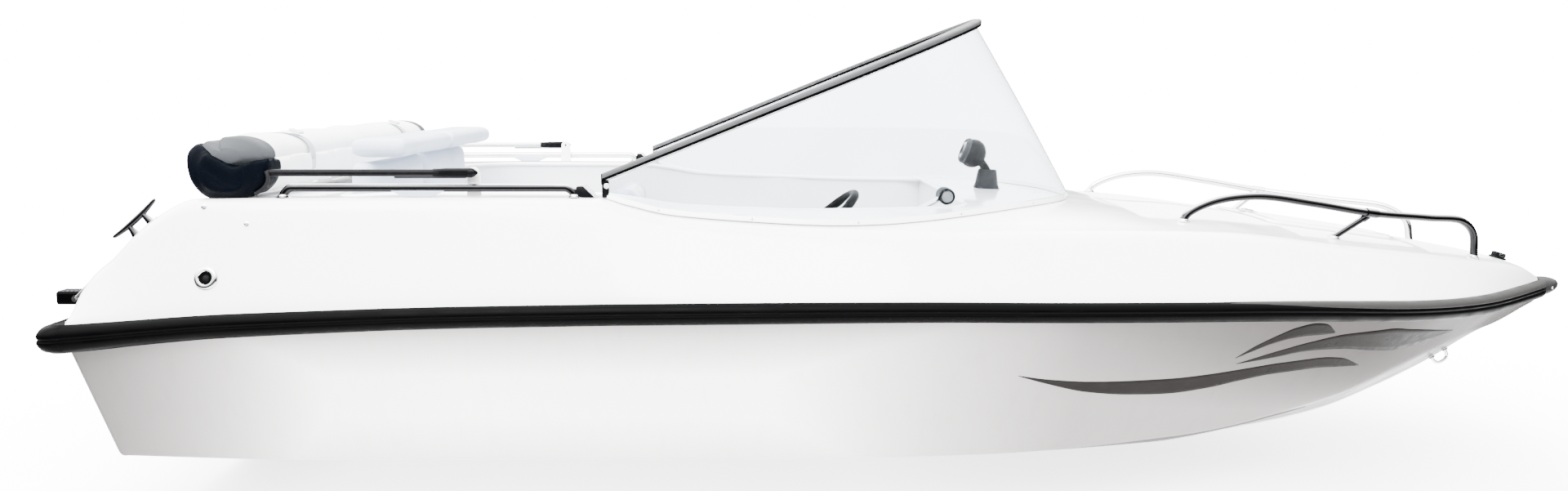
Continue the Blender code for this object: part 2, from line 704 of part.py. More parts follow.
def rail_path(side):
    """Inner edge of the rub rail: (place, outward direction, depth) from the motor notch to the bow."""
    stern = transom_x(TRANSOM_TOP_Z) - TRANSOM_THICKNESS * 1.02 - 2 * SEAT_GAP
    corner_y = sheer_y(DECK_STATIONS[0]) + 2 * SEAT_GAP
    z = sheer_z(DECK_STATIONS[0])
    path = [((stern, side * y, z), (-1.0, 0.0, 0.0), RAIL_STERN_DEPTH)
            for y in (NOTCH_HALF_WIDTH + 0.02, 0.5, corner_y - 0.05)]
    for step in range(RAIL_CORNER_STEPS + 1):
        share = step / RAIL_CORNER_STEPS
        angle = math.radians(90.0 * share)
        place = (stern + RAIL_CORNER_SPREAD * max(2.0 * share - 1.0, 0.0),
                 side * (corner_y - RAIL_CORNER_SPREAD * max(1.0 - 2.0 * share, 0.0)), z)
        depth = RAIL_STERN_DEPTH + (RAIL_DEPTH - RAIL_STERN_DEPTH) * share ** 2
        path.append((place, (-math.cos(angle), side * math.sin(angle), 0.0), depth))
    for x in [x for x in DECK_STATIONS if -2.0 < x < HULL_BOW_X]:
        slope = (sheer_y(x + 0.01) - sheer_y(x - 0.01)) / 0.02
        out = Vector((-slope, side, 0.0)).normalized()
        path.append(((x, side * (sheer_y(x) + SEAT_GAP), sheer_z(x)), tuple(out), RAIL_DEPTH))
    bow_x = HULL_BOW_X + 0.004
    path.append(((bow_x, side * (sheer_y(bow_x) + SEAT_GAP), sheer_z(bow_x)), (0.0, side, 0.0), RAIL_DEPTH))
    return path


def rub_rail(side, name):
    half = RAIL_HALF_HEIGHT
    profile = [(0.0, -half), (0.45, -half), (0.82, -half * 0.68), (1.0, -half * 0.2), (1.0, half * 0.2),
               (0.82, half * 0.68), (0.45, half), (0.0, half)]
    rings = []
    for place, out, depth in rail_path(side):
        ring = []
        for reach, height in profile:
            ring.append(Vector(place) + Vector(out) * (reach * depth) + Vector((0.0, 0.0, height)))
        rings.append(ring)
    return loft(name, rings, "black_rubber")


def bow_cap():
    """The moulded nose that joins both rub rails."""
    rings = []
    for along in BOW_CAP_RINGS:
        x = BOW_CAP_AFT_X + (BOW_TIP_X - BOW_CAP_AFT_X) * along
        size = math.sqrt(max(1.0 - along * along, 0.0)) * (1.0 - BOW_CAP_BLUNTNESS) + BOW_CAP_BLUNTNESS
        half_y = BOW_CAP_HALF_WIDTH * size
        half_z = BOW_CAP_HALF_HEIGHT * size
        ring = []
        for step in range(12):
            angle = 2.0 * math.pi * step / 12.0
            ring.append((x, half_y * math.cos(angle), BOW_CAP_Z + half_z * math.sin(angle)))
        rings.append(ring)
    return loft("bow_cap", rings, "grey_cap")


# Deck moulding

def wall_point(x, fraction):
    """A point of the deck's side wall, from just above the rub rail (0) to the shoulder (1)."""
    low = (sheer_y(x) - 0.004, sheer_z(x) + 0.022)
    high = (shoulder_y(x), shoulder_z(x))
    if high[1] < low[1] + 0.004:
        low = (low[0], high[1] - 0.004)
    y = low[0] + (high[0] - low[0]) * fraction
    z = low[1] + (high[1] - low[1]) * fraction
    return y, z


def deck_half_section(x):
    """Starboard half of the deck's section as positive half-breadths, from the rail to the centreline."""
    base = wall_point(x, 0.0)
    top = wall_point(x, 1.0)
    height = math.hypot(base[0] - top[0], base[1] - top[1])
    radius = min(SHOULDER_RADIUS, 0.4 * height, 0.18 * top[0])
    down = ((base[0] - top[0]) / height, (base[1] - top[1]) / height)
    inner = inner_y(x)
    flat_y = top[0] - min(radius, 0.5 * (top[0] - inner))
    flat = (flat_y, section_height(x, flat_y))
    corner = (top[0], flat[1])
    side = (corner[0] + down[0] * radius, corner[1] + down[1] * radius)
    section = [(sheer_y(x), min(sheer_z(x) + 0.0018, base[1] - 0.002)), base]
    section.append(((base[0] + side[0]) / 2.0, (base[1] + side[1]) / 2.0))
    section.append(side)
    for t in (0.33, 0.67):
        near, middle, far = (1 - t) ** 2, 2 * t * (1 - t), t * t
        section.append(tuple(near * side[k] + middle * corner[k] + far * flat[k] for k in (0, 1)))
    section.append(flat)
    for fraction in INNER_FRACTIONS:
        y = inner * fraction
        section.append((y, section_height(x, y)))
    return section


def deck_moulding():
    rows = []
    for x in DECK_STATIONS:
        half = deck_half_section(x)
        row = [(x, -y, z) for y, z in half]
        row += [(x, y, z) for y, z in reversed(half[:-1])]
        rows.append(row)
    columns = len(rows[0])
    edge = len(rows[0]) // 2 - (len(INNER_FRACTIONS) - 1)
    half_edge = edge + INNER_FRACTIONS.index(HATCH_SHARE)

    def hole(i, j):
        middle = (DECK_STATIONS[i] + DECK_STATIONS[i + 1]) / 2.0
        in_cockpit = COCKPIT_AFT_X < middle < COCKPIT_FRONT_X and edge <= j < columns - 1 - edge
        in_well = middle < WELL_FRONT_X and half_edge <= j < columns - 1 - half_edge
        in_hatch = HATCH_AFT_X < middle < HATCH_FRONT_X and half_edge <= j < columns - 1 - half_edge
        return in_cockpit or in_well or in_hatch

    obj = surface("deck_moulding", rows, "deck_white", hole)
    up = 1.0 if sum(p.normal.z for p in obj.data.polygons) > 0 else -1.0
    shade(solidify(obj, DECK_THICKNESS, -up))
    obj.modifiers.new("triangles", "TRIANGULATE").quad_method = "SHORTEST_DIAGONAL"
    survey_deck(obj)


# Cockpit

def liner_y(x):
    return inner_y(x) if x <= COCKPIT_FRONT_X else min(inner_y(x), 0.5)


def cockpit_liner(side, name):
    rows = []
    stations = [x for x in DECK_STATIONS if COCKPIT_AFT_X <= x <= FORWARD_BULKHEAD_X]
    for x in stations:
        y = liner_y(x) + PANEL_THICKNESS / 2.0
        high = deck_underside(x, y)
        row = [(x, side * y, SOLE_Z + SEAT_GAP), (x, side * y, (SOLE_Z + high) / 2.0), (x, side * y, high)]
        rows.append(row)
    obj = surface(name, rows, "deck_white")
    return shade(solidify(obj, PANEL_THICKNESS, 0.0))


def cockpit_sole():
    """The floor panel: it ends under the bulkheads and the liners."""
    stations = [x for x in DECK_STATIONS if COCKPIT_AFT_X <= x <= FORWARD_BULKHEAD_X]
    edge = [(x, liner_y(x) + 0.008) for x in stations]
    edge[0] = (COCKPIT_AFT_X - 0.010, edge[0][1])
    edge[-1] = (FORWARD_BULKHEAD_X + 0.010, edge[-1][1])
    points = edge + [(x, -y) for x, y in reversed(edge)]
    plate = outline("cockpit_sole", points, SOLE_THICKNESS, "sole_grey")
    plate.location = (0.0, 0.0, SOLE_Z - SOLE_THICKNESS / 2.0)
    return to_mesh(plate)


def cross_panel(name, x, half_width, low, finish):
    """A panel across the boat at one station, from a height up to the deck's underside."""
    half = [inner_y(x) * fraction for fraction in INNER_FRACTIONS if inner_y(x) * fraction < half_width]
    places = sorted([-half_width, half_width] + half + [-y for y in half if y > 0.0])
    top = [(y, deck_underside(x, y)) for y in places]
    points = top + [(half_width, low), (-half_width, low)]
    plate = outline(name, points, PANEL_THICKNESS, finish)
    place_axes(plate, (x, 0.0, 0.0), (0, 1, 0), (0, 0, 1))
    return to_mesh(plate)


def motor_well():
    """Open tray in front of the transom for an outboard motor's tilt."""
    y = WELL_HALF_WIDTH + PANEL_THICKNESS / 2.0 + GAP
    rows = [[(transom_x(z) + SEAT_GAP, side * y, z) for side, z in
             ((-1, WELL_AFT_TOP_Z), (-1, WELL_FLOOR_Z), (1, WELL_FLOOR_Z), (1, WELL_AFT_TOP_Z))]]
    for x in WELL_STATIONS:
        top = deck_underside(x, y) - WELL_TOP_DROP
        rows.append([(x, -y, top), (x, -y, WELL_FLOOR_Z), (x, y, WELL_FLOOR_Z), (x, y, top)])
    obj = surface("motor_well", rows, "deck_white", cap_last=True)
    return shade(solidify(obj, PANEL_THICKNESS, 0.0))


def dash():
    x = COCKPIT_FRONT_X + 0.003
    half_width = liner_y(COCKPIT_FRONT_X) - 0.003
    return cross_panel("dash_panel", x, half_width, DASH_LOW_Z, "deck_white")


def helm_console():
    """The pod on the dash that carries the steering column."""
    normal = wheel_axis()
    along = Vector((math.cos(WHEEL_TILT), 0.0, math.sin(WHEEL_TILT)))
    face = Vector(WHEEL_CENTRE) - normal * COLUMN_LENGTH
    low = face - along * CONSOLE_BELOW
    high = face + along * CONSOLE_ABOVE
    back = COCKPIT_FRONT_X + 0.003 - PANEL_THICKNESS / 2.0 - SEAT_GAP
    points = [(low.x, low.z), (back, CONSOLE_BACK_Z[0]), (back, CONSOLE_BACK_Z[1]),
              (high.x + CONSOLE_TOP_DEPTH, high.z + 0.004), (high.x, high.z)]
    plate = outline("helm_console", points, CONSOLE_WIDTH, "deck_white")
    place_axes(plate, (0.0, WHEEL_CENTRE[1], 0.0), (1, 0, 0), (0, 0, 1))
    pod = to_mesh(plate)
    return shade(bevel(pod, CONSOLE_ROUNDING))


def wheel_axis():
    return Vector((-math.sin(WHEEL_TILT), 0.0, math.cos(WHEEL_TILT)))


def steering_wheel():
    """Rim, three spokes, hub and column, turning on the column's axis."""
    made = bmesh.new()
    rings = []
    for step in range(WHEEL_RIM_STEPS):
        around = 2.0 * math.pi * step / WHEEL_RIM_STEPS
        out = Vector((math.cos(around), math.sin(around), 0.0))
        ring = []
        for k in range(WHEEL_SECTION_STEPS):
            angle = 2.0 * math.pi * k / WHEEL_SECTION_STEPS
            reach = WHEEL_RADIUS - WHEEL_RIM_RADIUS + WHEEL_RIM_RADIUS * math.cos(angle)
            ring.append(made.verts.new(out * reach + Vector((0, 0, WHEEL_RIM_RADIUS * math.sin(angle)))))
        rings.append(ring)
    for i, ring in enumerate(rings):
        after = rings[(i + 1) % WHEEL_RIM_STEPS]
        for k in range(WHEEL_SECTION_STEPS):
            m = (k + 1) % WHEEL_SECTION_STEPS
            made.faces.new((ring[k], after[k], after[m], ring[m]))
    wheel = shade(mesh_object("steering_wheel", made, "black_plastic"))
    hub = cylinder("wheel_hub", (0, 0, -HUB_DEPTH), (0, 0, 0.006), HUB_RADIUS, None, group=CUTTERS)
    column = cylinder("wheel_column", (0, 0, SEAT_GAP - COLUMN_LENGTH), (0, 0, -0.5 * HUB_DEPTH),
                      COLUMN_RADIUS, None, group=CUTTERS)
    tools = [hub, column]
    for k in range(3):
        angle = math.radians(90.0 + 120.0 * k)
        out = Vector((math.cos(angle), math.sin(angle), 0.0))
        spoke = cylinder("wheel_spoke_%d" % (k + 1), out * COLUMN_RADIUS - Vector((0, 0, SPOKE_DEPTH)),
                         out * (WHEEL_RADIUS - WHEEL_RIM_RADIUS), SPOKE_RADIUS, None, segments=8,
                         group=CUTTERS)
        tools.append(spoke)
    frame = wheel_axis().to_track_quat("Z", "Y").to_matrix().to_4x4()
    frame.translation = Vector(WHEEL_CENTRE)
    for piece in tools:
        bpy.context.view_layer.update()
        piece.matrix_world = frame @ piece.matrix_world
    wheel.matrix_world = frame
    return join_all(wheel, tools)


def throttle_control():
    """Side-mount control box with its lever and grip; the lever is a small control, so it is fixed."""
    y = -liner_y(THROTTLE_HIGH[0]) + 0.0009
    body = box("throttle_control", (THROTTLE_LOW[0], y, THROTTLE_LOW[1]),
               (THROTTLE_HIGH[0], y + THROTTLE_DEPTH, THROTTLE_HIGH[1]), "black_plastic")
    pivot = (THROTTLE_PIVOT[0], y + 0.6 * THROTTLE_DEPTH, THROTTLE_PIVOT[1])
    lever = cylinder("throttle_lever", pivot, THROTTLE_GRIP, 0.008, None, segments=12, group=CUTTERS)
    across = Vector((0.0, THROTTLE_GRIP_HALF, 0.0))
    grip = cylinder("throttle_grip", Vector(THROTTLE_GRIP) - across, Vector(THROTTLE_GRIP) + across,
                    THROTTLE_GRIP_RADIUS, None, group=CUTTERS)
    return join_all(body, [lever, grip])


def instrument_pod():
    """Compass ball and its foot on the dash top, at the centreline."""
    floor, _, normal = on_deck(COMPASS_X, 0.0, lift=0.0006)
    body = cylinder("instrument_pod", floor, floor + normal * COMPASS_FOOT_HEIGHT, COMPASS_FOOT_RADIUS,
                    "black_plastic", end_radius=0.75 * COMPASS_FOOT_RADIUS)
    ball_place = floor + Vector((COMPASS_BALL[0], 0.0, COMPASS_BALL[1]))
    arm = cylinder("pod_arm", floor + normal * 0.04, ball_place, 0.014, None, group=CUTTERS)
    across = Vector((0.0, COMPASS_HALF_WIDTH, 0.0))
    ball = cylinder("pod_ball", ball_place - across, ball_place + across, COMPASS_RADIUS, None, group=CUTTERS)
    return join_all(body, [arm, ball])


# Windscreen

def screen_line(t, reach, half_width):
    """Plan of half the windscreen, starboard: t from the aft end (0) to the centreline (1)."""
    if t < SCREEN_STRAIGHT_SHARE:
        return SCREEN_AFT_X + (SCREEN_CURVE_X - SCREEN_AFT_X) * t / SCREEN_STRAIGHT_SHARE, half_width
    angle = 0.5 * math.pi * (t - SCREEN_STRAIGHT_SHARE) / (1.0 - SCREEN_STRAIGHT_SHARE)
    return SCREEN_CURVE_X + reach * math.sin(angle), half_width * math.cos(angle)


def screen_points(reach, half_width, height):
    """Points and outward directions all round the windscreen, from starboard aft to port aft."""
    half = []
    for k in range(SCREEN_STEPS + 1):
        x, y = screen_line(k / SCREEN_STEPS, reach, half_width)
        half.append((x, -y))
    full = half + [(x, -y) for x, y in reversed(half[:-1])]
    made = []
    for k, (x, y) in enumerate(full):
        before = full[max(k - 1, 0)]
        after = full[min(k + 1, len(full) - 1)]
        along = Vector((after[0] - before[0], after[1] - before[1], 0.0)).normalized()
        out = Vector((along.y, -along.x, 0.0))
        made.append((Vector((x, y, height(x, y))), out))
    return made


def screen_base_height(x, y):
    return highest_deck(x, y, SCREEN_TRIM_WIDTH / 2.0, SCREEN_TRIM_WIDTH / 2.0) + SCREEN_LIFT


def screen_top_height(x, y):
    return SCREEN_TOP_AFT_Z + SCREEN_TOP_SLOPE * (x - SCREEN_AFT_X)


def bar_rings(points, width, low, high):
    rings = []
    for place, out in points:
        side = out * (width / 2.0)
        rings.append([place - side + Vector((0, 0, low)), place + side + Vector((0, 0, low)),
                      place + side + Vector((0, 0, high)), place - side + Vector((0, 0, high))])
    return rings


def windscreen():
    base = screen_points(SCREEN_BASE_REACH, SCREEN_BASE_HALF_WIDTH, screen_base_height)
    top = screen_points(SCREEN_TOP_REACH, SCREEN_TOP_HALF_WIDTH, screen_top_height)
    loft("windscreen_base_trim", bar_rings(base, SCREEN_TRIM_WIDTH, 0.0, SCREEN_TRIM_HEIGHT), "black_rubber")
    half = SCREEN_RAIL_HEIGHT / 2.0
    rail = loft("windscreen_top_rail", bar_rings(top, SCREEN_RAIL_WIDTH, -half, half), "aluminium")
    posts = []
    middle = SCREEN_AFT_X - SCREEN_POST_DEPTH / 2.0
    for side in (-1, 1):
        y = side * SCREEN_POST_Y
        low = highest_deck(middle, y, SCREEN_POST_DEPTH / 2.0, SCREEN_POST_HALF_WIDTH) + SEAT_GAP
        posts.append(box("screen_post_%d" % side,
                         (SCREEN_AFT_X - SCREEN_POST_DEPTH, y - SCREEN_POST_HALF_WIDTH, low),
                         (SCREEN_AFT_X - 0.0008, y + SCREEN_POST_HALF_WIDTH, SCREEN_TOP_AFT_Z - 0.002), None,
                         group=CUTTERS))
    lengthen_ends(rail)
    join_all(rail, posts)
    rings = []
    for (low, low_out), (high, high_out) in zip(base, top):
        foot = low + Vector((0, 0, SCREEN_TRIM_HEIGHT + SEAT_GAP))
        head = high - Vector((0, 0, half + SCREEN_HEAD_GAP))
        rings.append([foot - low_out * ACRYLIC_THICKNESS / 2, foot + low_out * ACRYLIC_THICKNESS / 2,
                      head + high_out * ACRYLIC_THICKNESS / 2, head - high_out * ACRYLIC_THICKNESS / 2])
    return loft("windscreen_glass", rings, "acrylic")


def lengthen_ends(rail):
    """Run the top rail's two ends out over their posts."""
    for vertex in rail.data.vertices:
        if vertex.co.x < SCREEN_AFT_X + 0.001:
            vertex.co.x -= SCREEN_END_REACH
            vertex.co.z -= SCREEN_END_REACH * SCREEN_TOP_SLOPE


# Rails

def foot(name, x, y, radius=FOOT_RADIUS):
    place, _, normal = on_deck(x, y)
    return cylinder(name, place, place + normal * FOOT_HEIGHT, radius, None, segments=16, group=CUTTERS)


def handrail_shoe(name, y):
    """Streamlined shoe between the deck and the middle of a handrail."""
    low = deck_height(HANDRAIL_SHOE_X, y) + 0.0010
    points = [(-HANDRAIL_SHOE_TOP, HANDRAIL_Z - 0.004), (-HANDRAIL_SHOE_BOTTOM, low),
              (HANDRAIL_SHOE_BOTTOM, low), (HANDRAIL_SHOE_TOP, HANDRAIL_Z - 0.004)]
    plate = outline(name, points, HANDRAIL_SHOE_WIDTH, "stainless", group=CUTTERS)
    place_axes(plate, (HANDRAIL_SHOE_X, y, 0.0), (1, 0, 0), (0, 0, 1))
    return to_mesh(plate)


def handrail(side, name):
    """Grab rail along the coaming, on two end feet and a middle shoe."""
    y = side * HANDRAIL_Y
    ends = [(HANDRAIL_AFT_X, y, HANDRAIL_Z), (HANDRAIL_FORE_X, y, HANDRAIL_Z)]
    rail = to_mesh(tube(name, ends, TUBE_RADIUS, "stainless", smooth_path=False))
    pieces = []
    for word, x, foot_x in (("aft", HANDRAIL_AFT_X + 0.010, HANDRAIL_AFT_X - 0.010),
                            ("fore", HANDRAIL_FORE_X - 0.010, HANDRAIL_FORE_X + 0.014)):
        low = on_deck(foot_x, y, lift=0.0095)[0]
        pieces.append(cylinder("%s_%s_bend" % (name, word), low, (x, y, HANDRAIL_Z + 0.001),
                               HANDRAIL_END_RADIUS, None, segments=12, group=CUTTERS))
        pieces.append(foot("%s_%s_foot" % (name, word), foot_x, y, radius=HANDRAIL_FOOT_RADIUS))
    pieces.append(handrail_shoe(name + "_shoe", y))
    return shade(join_all(rail, pieces))


def bow_rail(side, name):
    def end(place, lift):
        return tuple(on_deck(place[0], side * place[1], lift=lift)[0])

    path = [end(BOW_RAIL_AFT_FOOT, 0.0072)] + [(x, side * y, z) for x, y, z in BOW_RAIL_TOP]
    path.append(end(BOW_RAIL_FORE_FOOT, 0.0072))
    rail = to_mesh(tube(name, path, TUBE_RADIUS, "stainless"))
    joint = BOW_RAIL_TOP[4]
    mid = end(BOW_RAIL_MID_FOOT, 0.0105)
    stanchion = cylinder(name + "_stanchion", mid, (joint[0], side * joint[1], joint[2]), STANCHION_RADIUS,
                         None, segments=12, group=CUTTERS)
    feet = [foot(name + "_foot_%d" % k, p[0], side * p[1]) for k, p in
            enumerate((BOW_RAIL_AFT_FOOT, BOW_RAIL_MID_FOOT, BOW_RAIL_FORE_FOOT))]
    return shade(join_all(rail, [stanchion] + feet))


# Soft top

def bundle_scale(y):
    over = max(abs(y) - (BUNDLE_HALF_LENGTH - BUNDLE_END), 0.0) / BUNDLE_END
    return math.sqrt(max(1.0 - over * over, 0.04))


def bundle_ring(y):
    ring = []
    size = bundle_scale(y)
    for step in range(16):
        angle = 2.0 * math.pi * step / 16.0
        c, s = math.cos(angle), math.sin(angle)
        x = BUNDLE_X + BUNDLE_DEPTH / 2.0 * size * math.copysign(abs(c) ** 0.7, c)
        z = BUNDLE_Z + BUNDLE_HEIGHT / 2.0 * size * math.copysign(abs(s) ** 0.7, s)
        ring.append((x, y, z))
    return ring


def bundle_places():
    """Where the bundle's rings stand across the boat: close together at its rounded ends."""
    edge = BUNDLE_HALF_LENGTH - BUNDLE_END
    half = [edge * 0.5, edge, edge + BUNDLE_END * 0.4, edge + BUNDLE_END * 0.75, BUNDLE_HALF_LENGTH]
    return [-y for y in reversed(half)] + [0.0] + half


def bundle_front(y, z):
    """X of the bundle's forward face, which runs straight between its rings and their points."""
    places = bundle_places()
    fronts = []
    for place in places:
        ring = sorted((point[2], point[0]) for point in bundle_ring(place) if point[0] > BUNDLE_X)
        fronts.append(np.interp(z, [p[0] for p in ring], [p[1] for p in ring]))
    return float(np.interp(y, places, fronts))


def soft_top():
    loft("soft_top_bundle", [bundle_ring(y) for y in bundle_places()], "canvas")
    for side, word in ((-1, "starboard"), (1, "port")):
        soft_top_leg(side, word)
        soft_top_bracket(side, word)


def soft_top_leg(side, word):
    """Tube from the pivot to the folded canvas, with a moulded end that turns on the pin."""
    x, y, z = SOFT_TOP_PIVOT[0], side * SOFT_TOP_PIVOT[1], SOFT_TOP_PIVOT[2]
    front = bundle_front(SOFT_TOP_PIVOT[1] - LEG_RADIUS, z) + SEAT_GAP
    ends = [(front, y, z), (x + 0.016, y, z)]
    leg = to_mesh(tube("soft_top_leg_" + word, ends, LEG_RADIUS, "black_plastic", smooth_path=False))
    bore = cylinder("pivot_bore_" + word, (x, y - 0.03, z), (x, y + 0.03, z), PIVOT_BORE_RADIUS, None,
                    group=CUTTERS)
    return shade(boolean(leg, bore, "DIFFERENCE"))


def soft_top_bracket(side, word):
    """Post on the coaming, inboard of the handrail, whose pin carries the leg."""
    x, y, z = SOFT_TOP_PIVOT[0], side * SOFT_TOP_PIVOT[1], SOFT_TOP_PIVOT[2]
    inner = y - side * (LEG_RADIUS + MOVING_CLEARANCE)
    floor = highest_deck(x, inner - side * 0.004, 0.016, 0.004) + SEAT_GAP
    low_y, high_y = sorted((inner, inner - side * 0.008))
    post = box("soft_top_bracket_" + word, (x - 0.016, low_y, floor), (x + 0.016, high_y, z + 0.014),
               "black_plastic")
    pin = cylinder("pivot_pin_" + word, (x, inner - side * 0.004, z), (x, y + side * 0.0135, z),
                   PIVOT_PIN_RADIUS, None, group=CUTTERS)
    return join_all(post, [pin])


# Deck fittings

def stern_cleat(side, name):
    """Horn cleat on the sloping quarter."""
    x, y = CLEAT_PLACE
    middle = Vector((x, side * y, deck_height(x, y)))
    rise = deck_height(x + 0.04, y) - deck_height(x - 0.04, y)
    along = Vector((0.08, 0.0, rise)).normalized()
    up = Vector((-along.z, 0.0, along.x))
    middle += up * 0.0010
    bend = 0.4 * CLEAT_HALF_LENGTH
    path = [middle + up * height + along * place for height, place in
            ((CLEAT_HORN_HEIGHT, -CLEAT_HALF_LENGTH), (CLEAT_BAR_HEIGHT, -bend), (CLEAT_BAR_HEIGHT, bend),
             (CLEAT_HORN_HEIGHT, CLEAT_HALF_LENGTH))]
    bar = to_mesh(tube(name, path, CLEAT_BAR_RADIUS, "stainless"))
    legs = []
    for k, place in enumerate((-CLEAT_LEG_PLACE, CLEAT_LEG_PLACE)):
        low = middle + along * place
        legs.append(cylinder(name + "_leg_%d" % k, low, low + up * CLEAT_BAR_HEIGHT, 0.012, None,
                             end_radius=0.006, segments=12, group=CUTTERS))
    reach, width, height = CLEAT_BASE
    base = box(name + "_base", (-reach, -width, 0.0), (reach, width, height), None, group=CUTTERS)
    place_axes(base, middle + up * height / 2.0, along, (0, 1, 0))
    return shade(join_all(bar, legs + [base]))


def side_vent(side, name):
    """Round stainless flange with a dished centre on the deck's side wall."""
    x, fraction = VENT_PLACE

    def place(x_at, f_at):
        y, z = between_stations(lambda station, f: np.array(wall_point(station, f)), x_at, f_at)
        return Vector((x_at, side * y, z))

    centre = place(x, fraction)
    along = (place(x + 0.03, fraction) - place(x - 0.03, fraction)).normalized()
    up = (place(x, fraction + 0.1) - place(x, fraction - 0.1)).normalized()
    out = along.cross(up).normalized()
    if out.y * side < 0:
        out = -out
    face = centre + out * (SEAT_GAP + VENT_DEPTH)
    made = cylinder(name, centre + out * SEAT_GAP, face, VENT_RADIUS, "stainless",
                    end_radius=0.9 * VENT_RADIUS, segments=24)
    dish = cylinder(name + "_dish", face - out * VENT_DISH_DEPTH, face + out * VENT_DEPTH, VENT_DISH_RADIUS,
                    None, segments=20, group=CUTTERS)
    return shade(boolean(made, dish, "DIFFERENCE"))


def anchor_locker():
    """Foredeck locker: lid with its latch, and the tray below the deck."""
    rows = []
    inside = [x for x in DECK_STATIONS if HATCH_AFT_X < x < HATCH_FRONT_X]
    ends = [HATCH_FRONT_X, HATCH_FRONT_X + LID_OVERLAP_FORE]
    for x in [HATCH_AFT_X - LID_OVERLAP_AFT, HATCH_AFT_X] + inside + ends:
        width = HATCH_SHARE * inner_y(x) + LID_OVERLAP_SIDE
        rows.append([(x, y, deck_height(x, y) + LID_GAP) for y in np.linspace(-width, width, 9)])
    lid = surface("anchor_locker_lid", rows, "deck_white")
    up = 1.0 if lid.data.polygons[0].normal.z > 0 else -1.0
    shade(solidify(lid, LID_THICKNESS, up))
    place, along, normal = on_deck(LATCH_X, 0.0, lift=LID_GAP + LID_THICKNESS + 0.0004)
    latch = box("anchor_locker_latch", (0.0, 0.0, 0.0), LATCH_SIZE, "stainless", rounding=0.003)
    place_axes(latch, place + normal * LATCH_SIZE[2] / 2.0, along, (0, 1, 0))
    rows = []
    for x in [HATCH_AFT_X - TRAY_OVERLAP] + inside + [HATCH_FRONT_X + TRAY_OVERLAP]:
        half = HATCH_SHARE * inner_y(x) + TRAY_OVERLAP
        floor_half = half * TRAY_FLOOR_SHARE
        top = deck_underside(x, half)
        rows.append([(x, -half, top), (x, -floor_half, TRAY_FLOOR_Z), (x, floor_half, TRAY_FLOOR_Z),
                     (x, half, top)])
    tray = surface("anchor_locker_tray", rows, "deck_white", cap_first=True, cap_last=True)
    shade(solidify(tray, TRAY_THICKNESS, 0.0))


def bow_fittings():
    place, along, normal = on_deck(BOW_LIGHT_X, 0.0, lift=0.0006)
    light = box("bow_light", (0.0, 0.0, 0.0), BOW_LIGHT_SIZE, "black_plastic", rounding=0.004)
    place_axes(light, place + normal * BOW_LIGHT_SIZE[2] / 2.0, along, (0, 1, 0))
    slope = Vector((0.01, 0.0, keel_z(STEM_X + 0.01) - keel_z(STEM_X))).normalized()
    out = Vector((slope.z, 0.0, -slope.x))
    start = Vector((STEM_X, 0.0, keel_z(STEM_X))) + out * SEAT_GAP
    path = [start + slope * along_stem + out * reach for along_stem, reach in BOW_EYE_SHAPE]
    return shade(to_mesh(tube("bow_eye", path, 0.005, "stainless")))


def boarding_step():
    """Stainless bracket on the quarter and the rubber-covered step that folds up on it."""
    x, y, z = STEP_HINGE
    base = Vector((STEP_BASE_X, y, deck_height(STEP_BASE_X, y)))
    reach = STEP_PLATE[0] / 2.0
    rise = deck_height(STEP_BASE_X + reach, y) - deck_height(STEP_BASE_X - reach, y)
    along = Vector((2.0 * reach, 0.0, rise)).normalized()
    up = Vector((-along.z, 0.0, along.x))
    length, width, thickness = STEP_PLATE
    plate = box("boarding_step_bracket", (-length, -width, 0.0), (length, width, thickness), "stainless")
    place_axes(plate, base + up * (0.0012 + thickness / 2.0), along, (0, 1, 0))
    arms = []
    arm_y = STEP_HALF_WIDTH + MOVING_CLEARANCE + STEP_ARM_RADIUS
    for k, side in enumerate((-1, 1)):
        start = base + up * 0.008 - along * 0.012 + Vector((0, side * arm_y, 0))
        arms.append(cylinder("step_arm_%d" % k, start, (x, y + side * arm_y, z), STEP_ARM_RADIUS, None,
                             segments=10, group=CUTTERS))
    pin_reach = arm_y + STEP_ARM_RADIUS
    pin = cylinder("step_pin", (x, y - pin_reach, z), (x, y + pin_reach, z), PIVOT_PIN_RADIUS, None,
                   group=CUTTERS)
    join_all(plate, arms + [pin])
    step = box("boarding_step", (x - STEP_AFT_REACH, y - STEP_HALF_WIDTH, z - STEP_HALF_HEIGHT),
               (x + STEP_FORE_REACH, y + STEP_HALF_WIDTH, z + STEP_HALF_HEIGHT), "black_rubber",
               rounding=STEP_ROUNDING)
    bore = cylinder("step_bore", (x, y - pin_reach, z), (x, y + pin_reach, z), PIVOT_BORE_RADIUS, None,
                    group=CUTTERS)
    return boolean(step, bore, "DIFFERENCE")


def outboard_pad():
    """Flat pad on the transom's aft face where an outboard motor's clamps bear."""
    up = Vector((-TRANSOM_RAKE, 0.0, 1.0)).normalized()
    aft = up.cross(Vector((0.0, 1.0, 0.0)))
    width, height, thickness = OUTBOARD_PAD
    plate = box("outboard_pad", (-width, -height, 0.0), (width, height, thickness), "black_plastic",
                rounding=0.002)
    reach = TRANSOM_THICKNESS + 2 * SEAT_GAP + thickness / 2.0
    centre = Vector((TRANSOM_X, 0.0, 0.0)) + up * OUTBOARD_PAD_Z + aft * reach
    return place_axes(plate, centre, (0, -1, 0), up)


# Seats

def cushion(name, low, high):
    return shade(box(name, low, high, "vinyl", rounding=CUSHION_ROUNDING))


